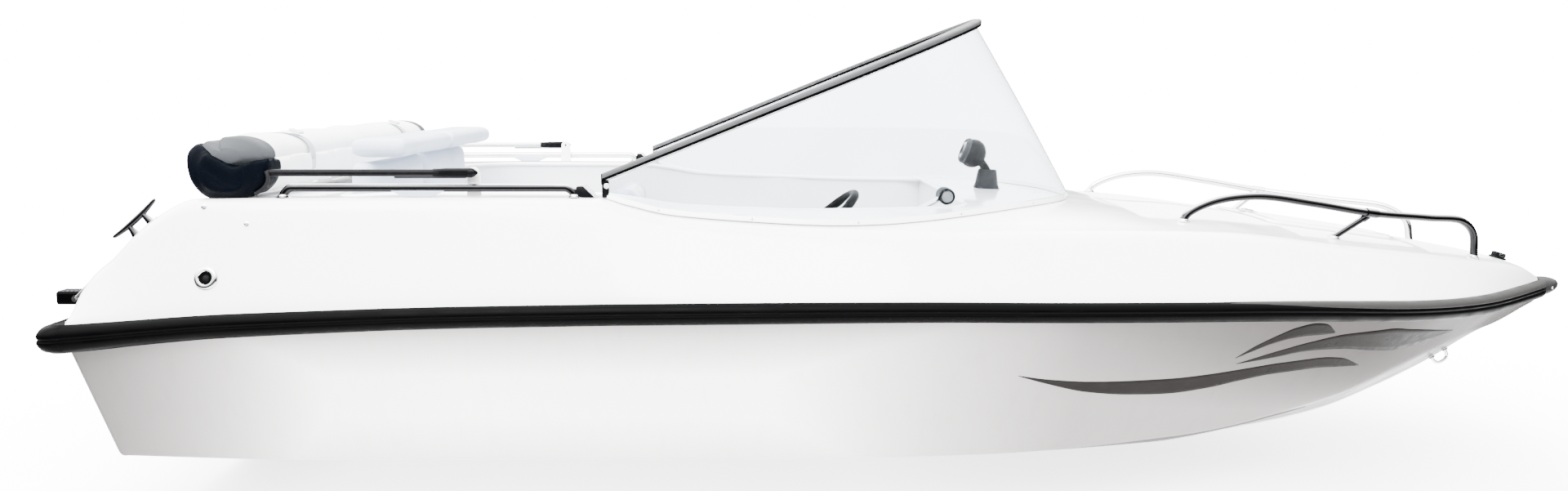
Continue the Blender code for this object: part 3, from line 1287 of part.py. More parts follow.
def cockpit_seat(word, y):
    """One front seat: its base, its cushion and its back."""
    half = SEAT_WIDTH / 2.0
    x0, x1 = SEAT_X
    cushion_top = SEAT_BASE_TOP_Z + CUSHION_HEIGHT
    back_x = x0 - SEAT_BACK_OVERHANG
    box(word + "_seat_base", (x0 + SEAT_BASE_INSET, y - half + SEAT_BASE_INSET, SOLE_Z + SEAT_GAP),
        (x1 - SEAT_BASE_INSET, y + half - SEAT_BASE_INSET, SEAT_BASE_TOP_Z), "deck_white", rounding=0.010)
    cushion(word + "_seat_cushion", (x0, y - half, SEAT_BASE_TOP_Z + SEAT_GAP), (x1, y + half, cushion_top))
    cushion(word + "_seat_back", (back_x, y - half, cushion_top + SEAT_GAP),
            (back_x + SEAT_BACK_THICKNESS, y + half, SEAT_BACK_TOP_Z))


def bench():
    """The aft bench: a box base, a seat cushion, and a back with a bolster along its top."""
    back_front_x = BENCH_AFT_X + BENCH_BACK_THICKNESS
    box("bench_base", (BENCH_AFT_X, -BENCH_BASE_HALF_WIDTH, SOLE_Z + SEAT_GAP),
        (BENCH_FRONT_X - 0.02, BENCH_BASE_HALF_WIDTH, BENCH_TOP_Z), "deck_white", rounding=0.008)
    cushion("bench_cushion", (back_front_x + 0.0008, -BENCH_HALF_WIDTH, BENCH_TOP_Z + SEAT_GAP),
            (BENCH_FRONT_X, BENCH_HALF_WIDTH, BENCH_TOP_Z + BENCH_CUSHION_HEIGHT))
    cushion("bench_back", (BENCH_AFT_X, -BENCH_BACK_HALF_WIDTH, BENCH_TOP_Z + SEAT_GAP),
            (back_front_x, BENCH_BACK_HALF_WIDTH, BENCH_BACK_TOP_Z))
    cushion("bench_bolster", (BENCH_AFT_X, -BENCH_BACK_HALF_WIDTH, BENCH_BACK_TOP_Z + SEAT_GAP),
            (BOLSTER_FRONT_X, BENCH_BACK_HALF_WIDTH, BOLSTER_TOP_Z))


def seats():
    cockpit_seat("helm", -SEAT_CENTRE_Y)
    cockpit_seat("passenger", SEAT_CENTRE_Y)
    bench()


def clear_scene():
    for obj in list(bpy.data.objects):
        bpy.data.objects.remove(obj)


def main():
    clear_scene()
    collection(COLLECTION)
    collection(CUTTERS)
    make_hull()
    deck_moulding()
    for side, word in ((-1, "starboard"), (1, "port")):
        rub_rail(side, "rub_rail_" + word)
        cockpit_liner(side, "cockpit_liner_" + word)
        handrail(side, "handrail_" + word)
        bow_rail(side, "bow_rail_" + word)
        stern_cleat(side, "stern_cleat_" + word)
        side_vent(side, "side_vent_" + word)
    bow_cap()
    cockpit_sole()
    cross_panel("aft_bulkhead", COCKPIT_AFT_X - 0.003, 0.594, SOLE_Z + SEAT_GAP, "deck_white")
    cross_panel("forward_bulkhead", FORWARD_BULKHEAD_X + 0.003, 0.470, SOLE_Z + SEAT_GAP, "deck_white")
    motor_well()
    dash()
    helm_console()
    steering_wheel()
    throttle_control()
    instrument_pod()
    windscreen()
    soft_top()
    anchor_locker()
    bow_fittings()
    boarding_step()
    outboard_pad()
    seats()


main()
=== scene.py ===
import math

import bmesh
import bpy
import numpy as np
from mathutils import Matrix, Vector
from mathutils.bvhtree import BVHTree


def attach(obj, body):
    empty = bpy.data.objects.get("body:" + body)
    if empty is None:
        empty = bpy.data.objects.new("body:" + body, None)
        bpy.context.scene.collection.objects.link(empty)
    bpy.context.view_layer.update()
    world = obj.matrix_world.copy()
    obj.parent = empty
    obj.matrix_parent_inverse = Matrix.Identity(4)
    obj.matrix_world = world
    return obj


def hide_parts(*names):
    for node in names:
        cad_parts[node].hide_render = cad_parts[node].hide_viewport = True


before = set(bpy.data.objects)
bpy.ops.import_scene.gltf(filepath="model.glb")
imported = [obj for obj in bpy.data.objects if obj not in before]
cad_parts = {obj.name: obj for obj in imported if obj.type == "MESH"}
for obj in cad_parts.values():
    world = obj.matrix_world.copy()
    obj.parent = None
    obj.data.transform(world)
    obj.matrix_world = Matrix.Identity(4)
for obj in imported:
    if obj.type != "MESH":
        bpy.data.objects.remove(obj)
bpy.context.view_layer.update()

# Hull and deck lines, in metres: a few (x, value) pairs each, as on the CAD model
TRANSOM_X = -2.074
TRANSOM_RAKE = 0.156
RAKE_END_X = -1.20
HULL_BOW_X = 2.13
KEEL_Z = [(-2.2, -0.190), (-1.5, -0.200), (0.2, -0.200), (0.8, -0.188), (1.0, -0.170), (1.3, -0.120),
          (1.48, -0.071), (1.63, -0.005), (1.79, 0.078), (1.94, 0.174), (2.04, 0.228), (2.14, 0.284)]
CHINE_Y = [(-2.2, 0.700), (-1.5, 0.720), (-0.5, 0.720), (0.2, 0.680), (0.8, 0.560), (1.3, 0.380),
           (1.7, 0.180), (1.97, 0.030), (2.13, 0.012)]
CHINE_Z = [(-2.2, 0.000), (-1.5, -0.010), (-0.5, -0.010), (0.2, -0.008), (0.8, 0.010), (1.3, 0.070),
           (1.7, 0.155), (1.97, 0.203), (2.13, 0.285)]
SHEER_Y = [(-2.2, 0.815), (-1.5, 0.840), (-0.5, 0.850), (0.2, 0.840), (0.8, 0.760), (1.3, 0.600),
           (1.7, 0.380), (2.0, 0.140), (2.13, 0.026)]
SHEER_Z = [(-2.2, 0.360), (-1.5, 0.387), (-0.7, 0.412), (0.0, 0.4175), (0.84, 0.400), (1.7, 0.340),
           (2.2, 0.326)]
SHOULDER_Y = [(-2.2, 0.765), (-1.83, 0.750), (-0.5, 0.745), (0.2, 0.725), (0.8, 0.620), (1.3, 0.450),
              (1.8, 0.215), (2.05, 0.065), (2.13, 0.014)]
SHOULDER_Z = [(-2.13, 0.375), (-2.122, 0.430), (-2.105, 0.470), (-2.03, 0.543), (-1.97, 0.604),
              (-1.93, 0.636), (-1.88, 0.668), (-1.83, 0.687), (-1.70, 0.690), (-0.80, 0.688), (-0.72, 0.660),
              (-0.62, 0.633), (-0.50, 0.619), (-0.30, 0.604), (0.0, 0.594), (0.25, 0.592), (0.56, 0.590),
              (0.81, 0.584), (1.29, 0.522), (1.8, 0.446), (2.05, 0.398), (2.13, 0.362)]
CROWN = [(-2.13, 0.0), (-1.80, -0.022), (-1.52, -0.022), (-1.3, 0.0), (-0.80, 0.0), (-0.70, 0.036),
         (-0.50, 0.056), (-0.30, 0.068), (0.0, 0.064), (0.30, 0.060), (0.56, 0.046), (0.81, 0.024),
         (1.3, 0.028), (1.8, 0.022), (2.13, 0.004)]
CROWN_POWER = [(-1.3, 2.0), (-0.8, 4.0), (0.3, 4.0), (0.81, 2.0)]
COCKPIT_HALF_WIDTH = [(-2.2, 0.600), (-0.4, 0.600), (0.2, 0.500), (0.9, 0.480), (2.13, 0.480)]
INNER_LIMIT = 0.80
SHOULDER_RADIUS = 0.032
SIDE_FLARE = 0.012
KEEL_BAR_HALF_WIDTH = 0.006
KEEL_BAR_DEPTH = 0.016
CHINE_RADIUS = 0.022
HULL_THICKNESS = 0.003
SHELL_RISE = 0.005
TRANSOM_THICKNESS = 0.006
TRANSOM_FACE = 0.0066
COCKPIT_AFT_X = -1.52
COCKPIT_FRONT_X = 0.20
COCKPIT_CORNER = 0.075
WELL_FRONT_X = -1.88
WELL_HALF_WIDTH = 0.300
SOLE_Z = 0.030
TRANSOM_TOP_Z = 0.358
TRANSOM_NOTCH_Z = 0.318
NOTCH_HALF_WIDTH = 0.290

# The photograph's camera, fitted to the object
PHOTO_WIDTH = 1920.0
FOCAL_PIXELS = 1359.0
CENTRE_COLUMN = 930.5
CAMERA_PLACE = (-0.38, -3.55, 0.967)
CAMERA_PITCH = math.radians(8.07)
SENSOR_WIDTH = 36.0


# Curves

def smooth(points):
    """A smooth function through a few (x, value) pairs that never overshoots them."""
    xs = np.array([p[0] for p in points], dtype=float)
    ys = np.array([p[1] for p in points], dtype=float)
    steps = np.diff(xs)
    slopes = np.diff(ys) / steps
    tangents = np.zeros(len(xs))
    tangents[0] = slopes[0]
    tangents[-1] = slopes[-1]
    for i in range(1, len(xs) - 1):
        if slopes[i - 1] * slopes[i] > 0.0:
            near = 2.0 * steps[i] + steps[i - 1]
            far = steps[i] + 2.0 * steps[i - 1]
            tangents[i] = (near + far) / (near / slopes[i - 1] + far / slopes[i])

    def value(x):
        k = int(np.clip(np.searchsorted(xs, x) - 1, 0, len(steps) - 1))
        t = min(max((x - xs[k]) / steps[k], 0.0), 1.0)
        start = (1.0 + 2.0 * t) * (1.0 - t) ** 2 * ys[k] + t * (1.0 - t) ** 2 * steps[k] * tangents[k]
        end = t * t * (3.0 - 2.0 * t) * ys[k + 1] - t * t * (1.0 - t) * steps[k] * tangents[k + 1]
        return float(start + end)

    return value


keel_z = smooth(KEEL_Z)
chine_y = smooth(CHINE_Y)
chine_z = smooth(CHINE_Z)
sheer_y = smooth(SHEER_Y)
sheer_z = smooth(SHEER_Z)
shoulder_y = smooth(SHOULDER_Y)
shoulder_z = smooth(SHOULDER_Z)
crown = smooth(CROWN)
crown_power = smooth(CROWN_POWER)
cockpit_half_width = smooth(COCKPIT_HALF_WIDTH)


def inner_y(x):
    return min(cockpit_half_width(x), INNER_LIMIT * shoulder_y(x))


def deck_z(x, y):
    """Height of the deck's top inboard of its shoulder."""
    return shoulder_z(x) + crown(x) * (1.0 - (abs(y) / shoulder_y(x)) ** crown_power(x))


def deck_normal(x, y):
    step = 0.004
    fore = Vector((2.0 * step, 0.0, deck_z(x + step, y) - deck_z(x - step, y)))
    side = Vector((0.0, 2.0 * step, deck_z(x, y + step) - deck_z(x, y - step)))
    return fore.cross(side).normalized()


def on_deck(x, y, lift=0.0):
    """Matrix at a place on the deck: its X runs forward along the deck and its Z stands on it."""
    normal = deck_normal(x, y)
    across = normal.cross(Vector((1.0, 0.0, 0.0))).normalized()
    fore = across.cross(normal)
    made = Matrix((fore, across, normal)).transposed().to_4x4()
    made.translation = Vector((x, y, deck_z(x, y))) + normal * lift
    return made


def raked(x, z):
    """X of a hull point: the last stretch leans with the transom."""
    lean = min(max((RAKE_END_X - x) / (RAKE_END_X - TRANSOM_X), 0.0), 1.0)
    return x - TRANSOM_RAKE * z * lean


def spread(start, end, count):
    return [float(v) for v in np.linspace(start, end, count)]


def bezier(a, b, c, count):
    """Points of a quadratic curve from a to c that is drawn towards b."""
    made = []
    for t in spread(0.0, 1.0, count):
        made.append(tuple((1 - t) ** 2 * p + 2 * t * (1 - t) * q + t * t * r for p, q, r in zip(a, b, c)))
    return made


def rounded_path(points, per_span):
    """A smooth curve through a list of points (a centripetal spline)."""
    knots = [Vector(p) for p in points]
    made = []
    for i, (p1, p2) in enumerate(zip(knots, knots[1:])):
        p0 = knots[i - 1] if i > 0 else p1 * 2.0 - p2
        p3 = knots[i + 2] if i < len(knots) - 2 else p2 * 2.0 - p1
        d1 = max((p1 - p0).length, 1e-6) ** 0.5
        d2 = max((p2 - p1).length, 1e-6) ** 0.5
        d3 = max((p3 - p2).length, 1e-6) ** 0.5
        m1 = (p2 - p1) - (p2 - p0) * (d2 / (d1 + d2)) + (p1 - p0) * (d2 / d1)
        m2 = (p2 - p1) - (p3 - p1) * (d2 / (d2 + d3)) + (p3 - p2) * (d2 / d3)
        for step in range(per_span):
            t = step / per_span
            made.append(p1 * (2 * t ** 3 - 3 * t ** 2 + 1) + m1 * (t ** 3 - 2 * t ** 2 + t)
                        + p2 * (-2 * t ** 3 + 3 * t ** 2) + m2 * (t ** 3 - t ** 2))
    return made + [knots[-1].copy()]


# Materials: each has procedural nodes in object coordinates

MIX_COLOURS = (6, 7)  # a Mix node's two colour inputs, which share their names with its other inputs
MIX_RESULT = 2


def shade(colour, factor):
    return tuple(v * factor for v in colour)


class Nodes:
    """The node tree of a material or a world, with short ways to add nodes and to link them."""

    def __init__(self, owner):
        owner.use_nodes = True
        self.nodes = owner.node_tree.nodes
        self.links = owner.node_tree.links

    def feed(self, socket, value):
        """Give a socket a number, a colour or another node's output."""
        if isinstance(value, bpy.types.NodeSocket):
            self.links.new(value, socket)
        elif socket.type == "RGBA":
            socket.default_value = (*value, 1.0)
        else:
            socket.default_value = value

    def add(self, kind, **values):
        """A new node; its sockets' names are written with underscores."""
        node = self.nodes.new("ShaderNode" + kind)
        for name, value in values.items():
            self.feed(node.inputs[name.replace("_", " ")], value)
        return node

    def maths(self, operation, *values):
        node = self.add("Math")
        node.operation = operation
        for socket, value in zip(node.inputs, values):
            self.feed(socket, value)
        return node.outputs["Value"]

    def ramp(self, value, low, high, out_low=0.0, out_high=1.0, interpolation="LINEAR"):
        node = self.add("MapRange", Value=value, From_Min=low, From_Max=high, To_Min=out_low, To_Max=out_high)
        node.interpolation_type = interpolation
        return node.outputs["Result"]


class Finish(Nodes):
    """A Principled material with the nodes that feed it."""

    def __init__(self, name, colour, roughness, metallic=0.0, **sockets):
        self.material = bpy.data.materials.new(name)
        super().__init__(self.material)
        self.shader = self.nodes["Principled BSDF"]
        self.place = self.add("TexCoord").outputs["Object"]
        self.height = None
        self.set("Base Color", colour)
        self.set("Roughness", roughness)
        self.set("Metallic", metallic)
        for socket, value in sockets.items():
            self.set(socket.replace("_", " ").title().replace("Ior", "IOR"), value)
        self.material.diffuse_color = (*colour, 1.0)

    def set(self, socket, value):
        self.feed(self.shader.inputs[socket], value)

    def mapped(self, stretch=(1.0, 1.0, 1.0), turn=0.0):
        return self.add("Mapping", Vector=self.place, Scale=stretch,
                        Rotation=(0.0, 0.0, turn)).outputs["Vector"]

    def noise(self, scale, detail=3.0, stretch=(1.0, 1.0, 1.0)):
        return self.add("TexNoise", Vector=self.mapped(stretch), Scale=scale, Detail=detail).outputs["Fac"]

    def tone(self, scale, detail=3.0, stretch=(1.0, 1.0, 1.0)):
        """Noise spread out over 0 to 1."""
        return self.ramp(self.noise(scale, detail, stretch), 0.3, 0.7)

    def cells(self, scale):
        return self.add("TexVoronoi", Vector=self.mapped(), Scale=scale).outputs["Distance"]

    def bands(self, pitch, direction="X", turn=0.0):
        """Straight ridges a given distance apart."""
        node = self.add("TexWave", Vector=self.mapped(turn=turn), Scale=2.0 * math.pi / (20.0 * pitch))
        node.bands_direction = direction
        return node.outputs["Fac"]

    def blend(self, factor, first, second):
        """Colour from first to second by a factor; either may be another node's output."""
        node = self.add("Mix", Factor=factor)
        node.data_type = "RGBA"
        self.feed(node.inputs[MIX_COLOURS[0]], first)
        self.feed(node.inputs[MIX_COLOURS[1]], second)
        return node.outputs[MIX_RESULT]

    def colour(self, output):
        self.set("Base Color", output)
        return self

    def roughness(self, value, low, high):
        self.set("Roughness", self.ramp(value, 0.3, 0.7, low, high))
        return self

    def bump(self, height, distance, strength=1.0):
        node = self.add("Bump", Height=height, Distance=distance, Strength=strength)
        if self.height:
            self.feed(node.inputs["Normal"], self.height)
        self.height = node.outputs["Normal"]
        self.set("Normal", self.height)
        return self

    def edge_wear(self, base, worn, amount):
        """Mix a paler colour onto sharp edges, broken up by noise."""
        sharp = self.ramp(self.add("NewGeometry").outputs["Pointiness"], 0.53, 0.60, 0.0, amount)
        broken = self.maths("MULTIPLY", sharp, self.ramp(self.noise(60.0), 0.35, 0.65))
        return self.blend(broken, base, worn)


def hull_paint():
    """Pale warm paint with painted shade: brighter amidships and darker towards both ends, under the rub rail
    and near the keel.
    """
    made = Finish("hull_paint", (0.74, 0.715, 0.70), 0.22, coat_weight=0.01, coat_roughness=0.06)
    made.set("Specular IOR Level", 0.003)
    tone = made.blend(made.tone(1.3, 2.0), (0.84, 0.815, 0.80), (0.76, 0.735, 0.72))
    # Painted shade: these masks darken the paint towards the bow and its upper side, towards the stern, in a
    # band under the rub rail and near the keel.
    place = made.add("SeparateXYZ", Vector=made.place).outputs
    height = made.maths("ADD", place["Z"], made.maths("MULTIPLY", place["X"], 0.13))
    upper = made.maths("MULTIPLY", made.ramp(place["X"], 0.30, 1.70, 0.0, 0.95),
                       made.ramp(height, 0.20, 0.42))
    fore = made.maths("ADD", made.ramp(place["X"], -0.35, 0.45, 0.0, 0.52), upper)
    aft = made.ramp(place["X"], -1.5, -2.2, 0.0, 0.90)
    edge = made.maths("MAXIMUM", made.ramp(place["Z"], 0.24, 0.42, 0.0, 0.40),
                      made.ramp(place["Z"], 0.12, -0.06, 0.0, 0.20))
    ends = made.maths("MAXIMUM", fore, aft)
    shaded = made.maths("SUBTRACT", 1.0, made.maths("POWER", 0.05, made.maths("MAXIMUM", ends, edge)))
    # Blend towards the near-black painted shade by the masks above.
    tone = made.blend(shaded, tone, (0.034, 0.0305, 0.0290))
    streaks = made.ramp(made.noise(9.0, 4.0, (4.0, 4.0, 0.35)), 0.52, 0.80, 0.0, 0.08)
    tone = made.blend(streaks, tone, (0.030, 0.027, 0.025))
    specks = made.ramp(made.noise(160.0, 2.0), 0.70, 0.78, 0.0, 0.10)
    made.colour(made.blend(specks, tone, (0.028, 0.026, 0.024)))
    made.roughness(made.noise(6.0, 4.0), 0.17, 0.30)
    made.bump(made.noise(420.0, 1.0), 0.0002, 0.10)
    return made.bump(made.noise(3.0, 1.0), 0.004, 0.10).material


def decal_film():
    made = Finish("decal_film", (0.0070, 0.0064, 0.0062), 0.36)
    made.set("Specular IOR Level", 0.005)
    made.colour(made.blend(made.tone(5.0), (0.0088, 0.0081, 0.0079), (0.0112, 0.0103, 0.0100)))
    made.roughness(made.noise(40.0), 0.26, 0.40)
    return made.bump(made.noise(300.0, 1.0), 0.0002, 0.12).material


def gelcoat(name="deck_gelcoat", colour=(0.95, 0.95, 0.955)):
    made = Finish(name, colour, 0.16, coat_weight=0.5, coat_roughness=0.05)
    tone = made.blend(made.tone(1.7, 2.0), colour, shade(colour, 0.955))
    dust = made.ramp(made.noise(26.0, 5.0), 0.56, 0.82, 0.0, 0.16)
    made.colour(made.blend(dust, tone, shade(colour, 0.86)))
    made.roughness(made.noise(8.0, 4.0), 0.12, 0.24)
    made.bump(made.noise(380.0, 1.0), 0.0002, 0.08)
    return made.bump(made.noise(4.0, 1.0), 0.003, 0.08).material


def non_skid(name, colour, pitch=0.009):
    """Moulded diamond tread in the gelcoat."""
    made = Finish(name, colour, 0.55)
    one = made.ramp(made.bands(pitch, "X", turn=math.radians(45.0)), 0.25, 0.6)
    two = made.ramp(made.bands(pitch, "Y", turn=math.radians(45.0)), 0.25, 0.6)
    diamond = made.maths("MULTIPLY", one, two)
    # Painted shade in the grooves between the diamonds, deeper where noise adds grime.
    grime_and_groove_shade = made.ramp(made.noise(14.0, 5.0), 0.40, 0.75, 0.0, 0.30)
    low = made.blend(grime_and_groove_shade, shade(colour, 0.92), shade(colour, 0.82))
    made.colour(made.blend(diamond, low, colour))
    made.roughness(made.noise(18.0), 0.48, 0.66)
    return made.bump(diamond, 0.0009, 0.6).material


def rubber(name="rail_rubber", colour=(0.0004, 0.0004, 0.0005), worn=(0.0018, 0.0018, 0.0020)):
    made = Finish(name, colour, 0.38)
    made.set("Specular IOR Level", 0.016)
    scuffs = made.ramp(made.noise(18.0, 6.0, (0.35, 1.0, 3.0)), 0.60, 0.80, 0.0, 0.45)
    made.colour(made.blend(scuffs, made.edge_wear(colour, worn, 0.35), worn))
    made.roughness(made.noise(12.0, 4.0), 0.30, 0.50)
    return made.bump(made.noise(520.0, 2.0), 0.0003, 0.25).material


def plastic(name, colour, low=0.30, high=0.46, gloss=0.5):
    made = Finish(name, colour, low)
    made.set("Specular IOR Level", gloss)
    worn = tuple(min(1.0, v * 1.6 + 0.002) for v in colour)
    made.colour(made.edge_wear(made.blend(made.tone(9.0), colour, shade(colour, 0.84)), worn, 0.5))
    made.roughness(made.noise(24.0, 4.0), low, high)
    return made.bump(made.noise(700.0, 2.0), 0.0002, 0.35).material


def steel(name="stainless_steel", colour=(0.66, 0.665, 0.675), low=0.10, high=0.20):
    made = Finish(name, colour, low, metallic=1.0, anisotropic=0.3)
    tone = made.blend(made.tone(30.0, 4.0, (0.3, 1.0, 1.0)), colour, shade(colour, 0.86))
    tea = made.ramp(made.noise(48.0, 5.0), 0.66, 0.80, 0.0, 0.25)
    made.colour(made.blend(tea, tone, (0.42, 0.34, 0.26)))
    made.roughness(made.noise(90.0, 3.0, (0.1, 1.0, 1.0)), low, high)
    return made.bump(made.noise(900.0, 2.0, (0.05, 1.0, 1.0)), 0.0001, 0.15).material


def tube_painted_reflection():
    """Bright metal tube with a painted reflection: pale where it faces up and near black where it faces down,
    like a mirror of a pale sky over dark ground.
    """
    made = Finish("tube_painted_reflection", (0.60, 0.605, 0.615), 0.14, metallic=1.0)
    facing = made.add("SeparateXYZ", Vector=made.add("NewGeometry").outputs["Normal"])
    wave = made.ramp(made.noise(2.5, 2.0), 0.3, 0.7, -0.08, 0.08)
    # Painted reflection: near black where the tube faces down, light steel with tea stains where it faces up.
    faces_up_painted_reflection = made.ramp(made.maths("ADD", facing.outputs["Z"], wave), 0.55, 0.85)
    tea = made.ramp(made.noise(48.0, 5.0), 0.66, 0.80, 0.0, 0.25)
    painted_sky_with_tea = made.blend(tea, (0.62, 0.625, 0.635), (0.40, 0.33, 0.26))
    made.colour(made.blend(faces_up_painted_reflection, (0.017, 0.017, 0.018), painted_sky_with_tea))
    made.roughness(made.noise(90.0, 3.0, (0.1, 1.0, 1.0)), 0.12, 0.24)
    return made.bump(made.noise(900.0, 2.0, (0.05, 1.0, 1.0)), 0.0001, 0.15).material


def anodised():
    return steel("anodised_aluminium", (0.56, 0.57, 0.58), 0.26, 0.38)


def acrylic():
    made = Finish("screen_acrylic", (0.66, 0.69, 0.72), 0.02, transmission_weight=1.0, ior=1.12)
    haze = made.ramp(made.noise(2.2, 3.0), 0.40, 0.70, 0.0, 0.8)
    made.colour(made.blend(haze, (0.70, 0.725, 0.75), (0.58, 0.612, 0.65)))
    made.roughness(made.noise(22.0, 5.0), 0.012, 0.05)
    return made.bump(made.noise(5.0, 1.0), 0.001, 0.06).material


def vinyl(name, colour):
    """Marine vinyl: fine grain, soft sheen and slight soiling."""
    made = Finish(name, colour, 0.42, sheen_weight=0.12, sheen_roughness=0.4)
    soiled = made.ramp(made.noise(12.0, 5.0), 0.55, 0.80, 0.0, 0.35)
    base = made.blend(made.tone(5.0), colour, shade(colour, 0.90))
    made.colour(made.blend(soiled, base, shade(colour, 0.78)))
    made.roughness(made.noise(15.0, 4.0), 0.34, 0.52)
    made.bump(made.noise(30.0, 2.0), 0.0015, 0.25)
    return made.bump(made.cells(430.0), 0.0005, 0.55).material


THREAD_PITCH = 0.0016


def canvas(name, colour, sheen=0.15, rough=(0.62, 0.82), gloss=0.3):
    """Woven, coated cloth: two sets of threads that cross."""
    made = Finish(name, colour, 0.72, sheen_weight=sheen, sheen_roughness=0.5)
    made.set("Specular IOR Level", gloss)
    thread = made.maths("MULTIPLY", made.bands(THREAD_PITCH, "Y"), made.bands(THREAD_PITCH, "Z"))
    faded = made.ramp(made.noise(7.0, 4.0), 0.35, 0.75, 0.0, 0.6)
    base = made.blend(faded, colour, tuple(min(1.0, v * 1.30) for v in colour))
    made.colour(made.blend(thread, base, shade(colour, 0.72)))
    made.roughness(made.noise(20.0), *rough)
    made.bump(made.noise(26.0, 4.0), 0.004, 0.30)
    return made.bump(thread, 0.0004, 0.5).material


def webbing(name, colour):
    made = Finish(name, colour, 0.7, sheen_weight=0.0)
    made.set("Specular IOR Level", 0.15)
    rib = made.bands(0.0024, "Z")
    made.colour(made.blend(rib, colour, shade(colour, 0.55)))
    made.roughness(made.noise(30.0), 0.6, 0.8)
    return made.bump(rib, 0.0005, 0.6).material


def dial_face():
    """Glossy black behind a gauge's glass."""
    made = Finish("dial_face", (0.012, 0.012, 0.014), 0.12, coat_weight=1.0, coat_roughness=0.03)
    made.colour(made.blend(made.tone(70.0), (0.012, 0.012, 0.014), (0.022, 0.022, 0.026)))
    made.roughness(made.noise(40.0), 0.08, 0.18)
    return made.bump(made.noise(200.0), 0.0001, 0.2).material


def lens(name, colour):
    made = Finish(name, colour, 0.05, transmission_weight=0.6, coat_weight=0.5)
    made.colour(made.blend(made.tone(60.0), colour, shade(colour, 0.8)))
    return made.bump(made.bands(0.002, "X"), 0.0004, 0.5).material


def studio_floor():
    """A pale matt floor that fades out into the studio's white at a distance."""
    made = Finish("studio_floor", (0.90, 0.90, 0.905), 0.8)
    made.set("Specular IOR Level", 0.0)
    made.colour(made.blend(made.noise(0.6, 2.0), (0.90, 0.90, 0.905), (0.89, 0.89, 0.895)))
    made.set("Emission Color", (1.0, 1.0, 1.0))
    made.set("Emission Strength", 3.0)
    reach = made.add("VectorMath", Vector=made.mapped((0.75, 1.0, 0.0)))
    reach.operation = "LENGTH"
    made.set("Alpha", made.ramp(reach.outputs["Value"], 1.6, 3.0, 1.0, 0.0))
    return made.material


M = {
    "hull": hull_paint(),
    "decal": decal_film(),
    "deck": gelcoat(),
    "liner": gelcoat("liner_gelcoat", (0.84, 0.845, 0.855)),
    "tread": non_skid("deck_tread", (0.93, 0.93, 0.935)),
    "sole": non_skid("sole_tread", (0.56, 0.57, 0.59), 0.012),
    "rubber": rubber(),
    # lip: grey rubber whose lighter tone is a painted highlight along the rub rail's top.
    "lip": rubber("rail_lip", (0.022, 0.0215, 0.021), (0.030, 0.030, 0.030)),
    "cap": plastic("bow_cap_grey", (0.012, 0.012, 0.0122), gloss=0.06),
    "acrylic": acrylic(),
    "aluminium": anodised(),
    "steel": steel(),
    # tube: bright metal with a painted reflection, pale on top and near black underneath.
    "tube": tube_painted_reflection(),
    "black": plastic("black_plastic", (0.0016, 0.0017, 0.0021), gloss=0.05),
    "grey": plastic("grey_plastic", (0.016, 0.0172, 0.019), gloss=0.10),
    "foot": plastic("compass_foot", (0.0075, 0.0080, 0.0090), gloss=0.05),
    "pale": plastic("pale_plastic", (0.62, 0.63, 0.64)),
    "disc": plastic("grip_disc", (0.11, 0.115, 0.12), gloss=0.2),
    "rail_grey": plastic("screen_rail_grey", (0.052, 0.053, 0.055), gloss=0.12),
    "vinyl": vinyl("vinyl_blue_grey", (0.50, 0.555, 0.655)),
    "vinyl_white": vinyl("vinyl_white", (0.80, 0.80, 0.79)),
    "thread": plastic("sewing_thread", (0.70, 0.71, 0.72), 0.55, 0.7),
    "navy": canvas("navy_canvas", (0.0008, 0.0013, 0.0026), sheen=0.0, rough=(0.34, 0.54), gloss=0.012),
    "canvas": canvas("grey_canvas", (0.040, 0.043, 0.047), sheen=0.03, gloss=0.06),
    "cover": canvas("white_canvas", (0.84, 0.85, 0.87)),
    "webbing": webbing("black_webbing", (0.0030, 0.0030, 0.0040)),
    "pale_webbing": webbing("pale_webbing", (0.55, 0.57, 0.60)),
    "dial": dial_face(),
    "tick": plastic("dial_marks", (0.78, 0.79, 0.78)),
    "lens_port": lens("lens_red", (0.012, 0.003, 0.003)),
    "lens_starboard": lens("lens_green", (0.002, 0.009, 0.004)),
    "floor": studio_floor(),
}


# Mesh tools

SMOOTH_ANGLE = 38.0
SIDES = ((-1, "starboard"), (1, "port"))


def shaded(obj, angle=SMOOTH_ANGLE):
    """Smooth shading that keeps the edges sharper than an angle."""
    obj.data.shade_smooth()
    obj.data.set_sharp_from_angle(angle=math.radians(angle))
    return obj


def new_object(name, made, finish, angle=SMOOTH_ANGLE):
    """Turn a bmesh into an object with outward faces, smooth but for its sharp edges."""
    bmesh.ops.recalc_face_normals(made, faces=made.faces)
    mesh = bpy.data.meshes.new(name)
    made.to_mesh(mesh)
    made.free()
    obj = bpy.data.objects.new(name, mesh)
    bpy.context.scene.collection.objects.link(obj)
    mesh.materials.append(M[finish])
    return shaded(obj, angle)


def reshaped(obj, work):
    """Change an object's mesh with a function of its bmesh."""
    made = bmesh.new()
    made.from_mesh(obj.data)
    work(made)
    made.to_mesh(obj.data)
    made.free()
    return obj


def apply_modifiers(obj):
    graph = bpy.context.evaluated_depsgraph_get()
    mesh = bpy.data.meshes.new_from_object(obj.evaluated_get(graph))
    obj.modifiers.clear()
    obj.data = mesh
    return obj


def solidify(obj, thickness, offset=-1.0):
    modifier = obj.modifiers.new("thickness", "SOLIDIFY")
    modifier.thickness = thickness
    modifier.offset = offset
    modifier.use_even_offset = True
    return apply_modifiers(obj)


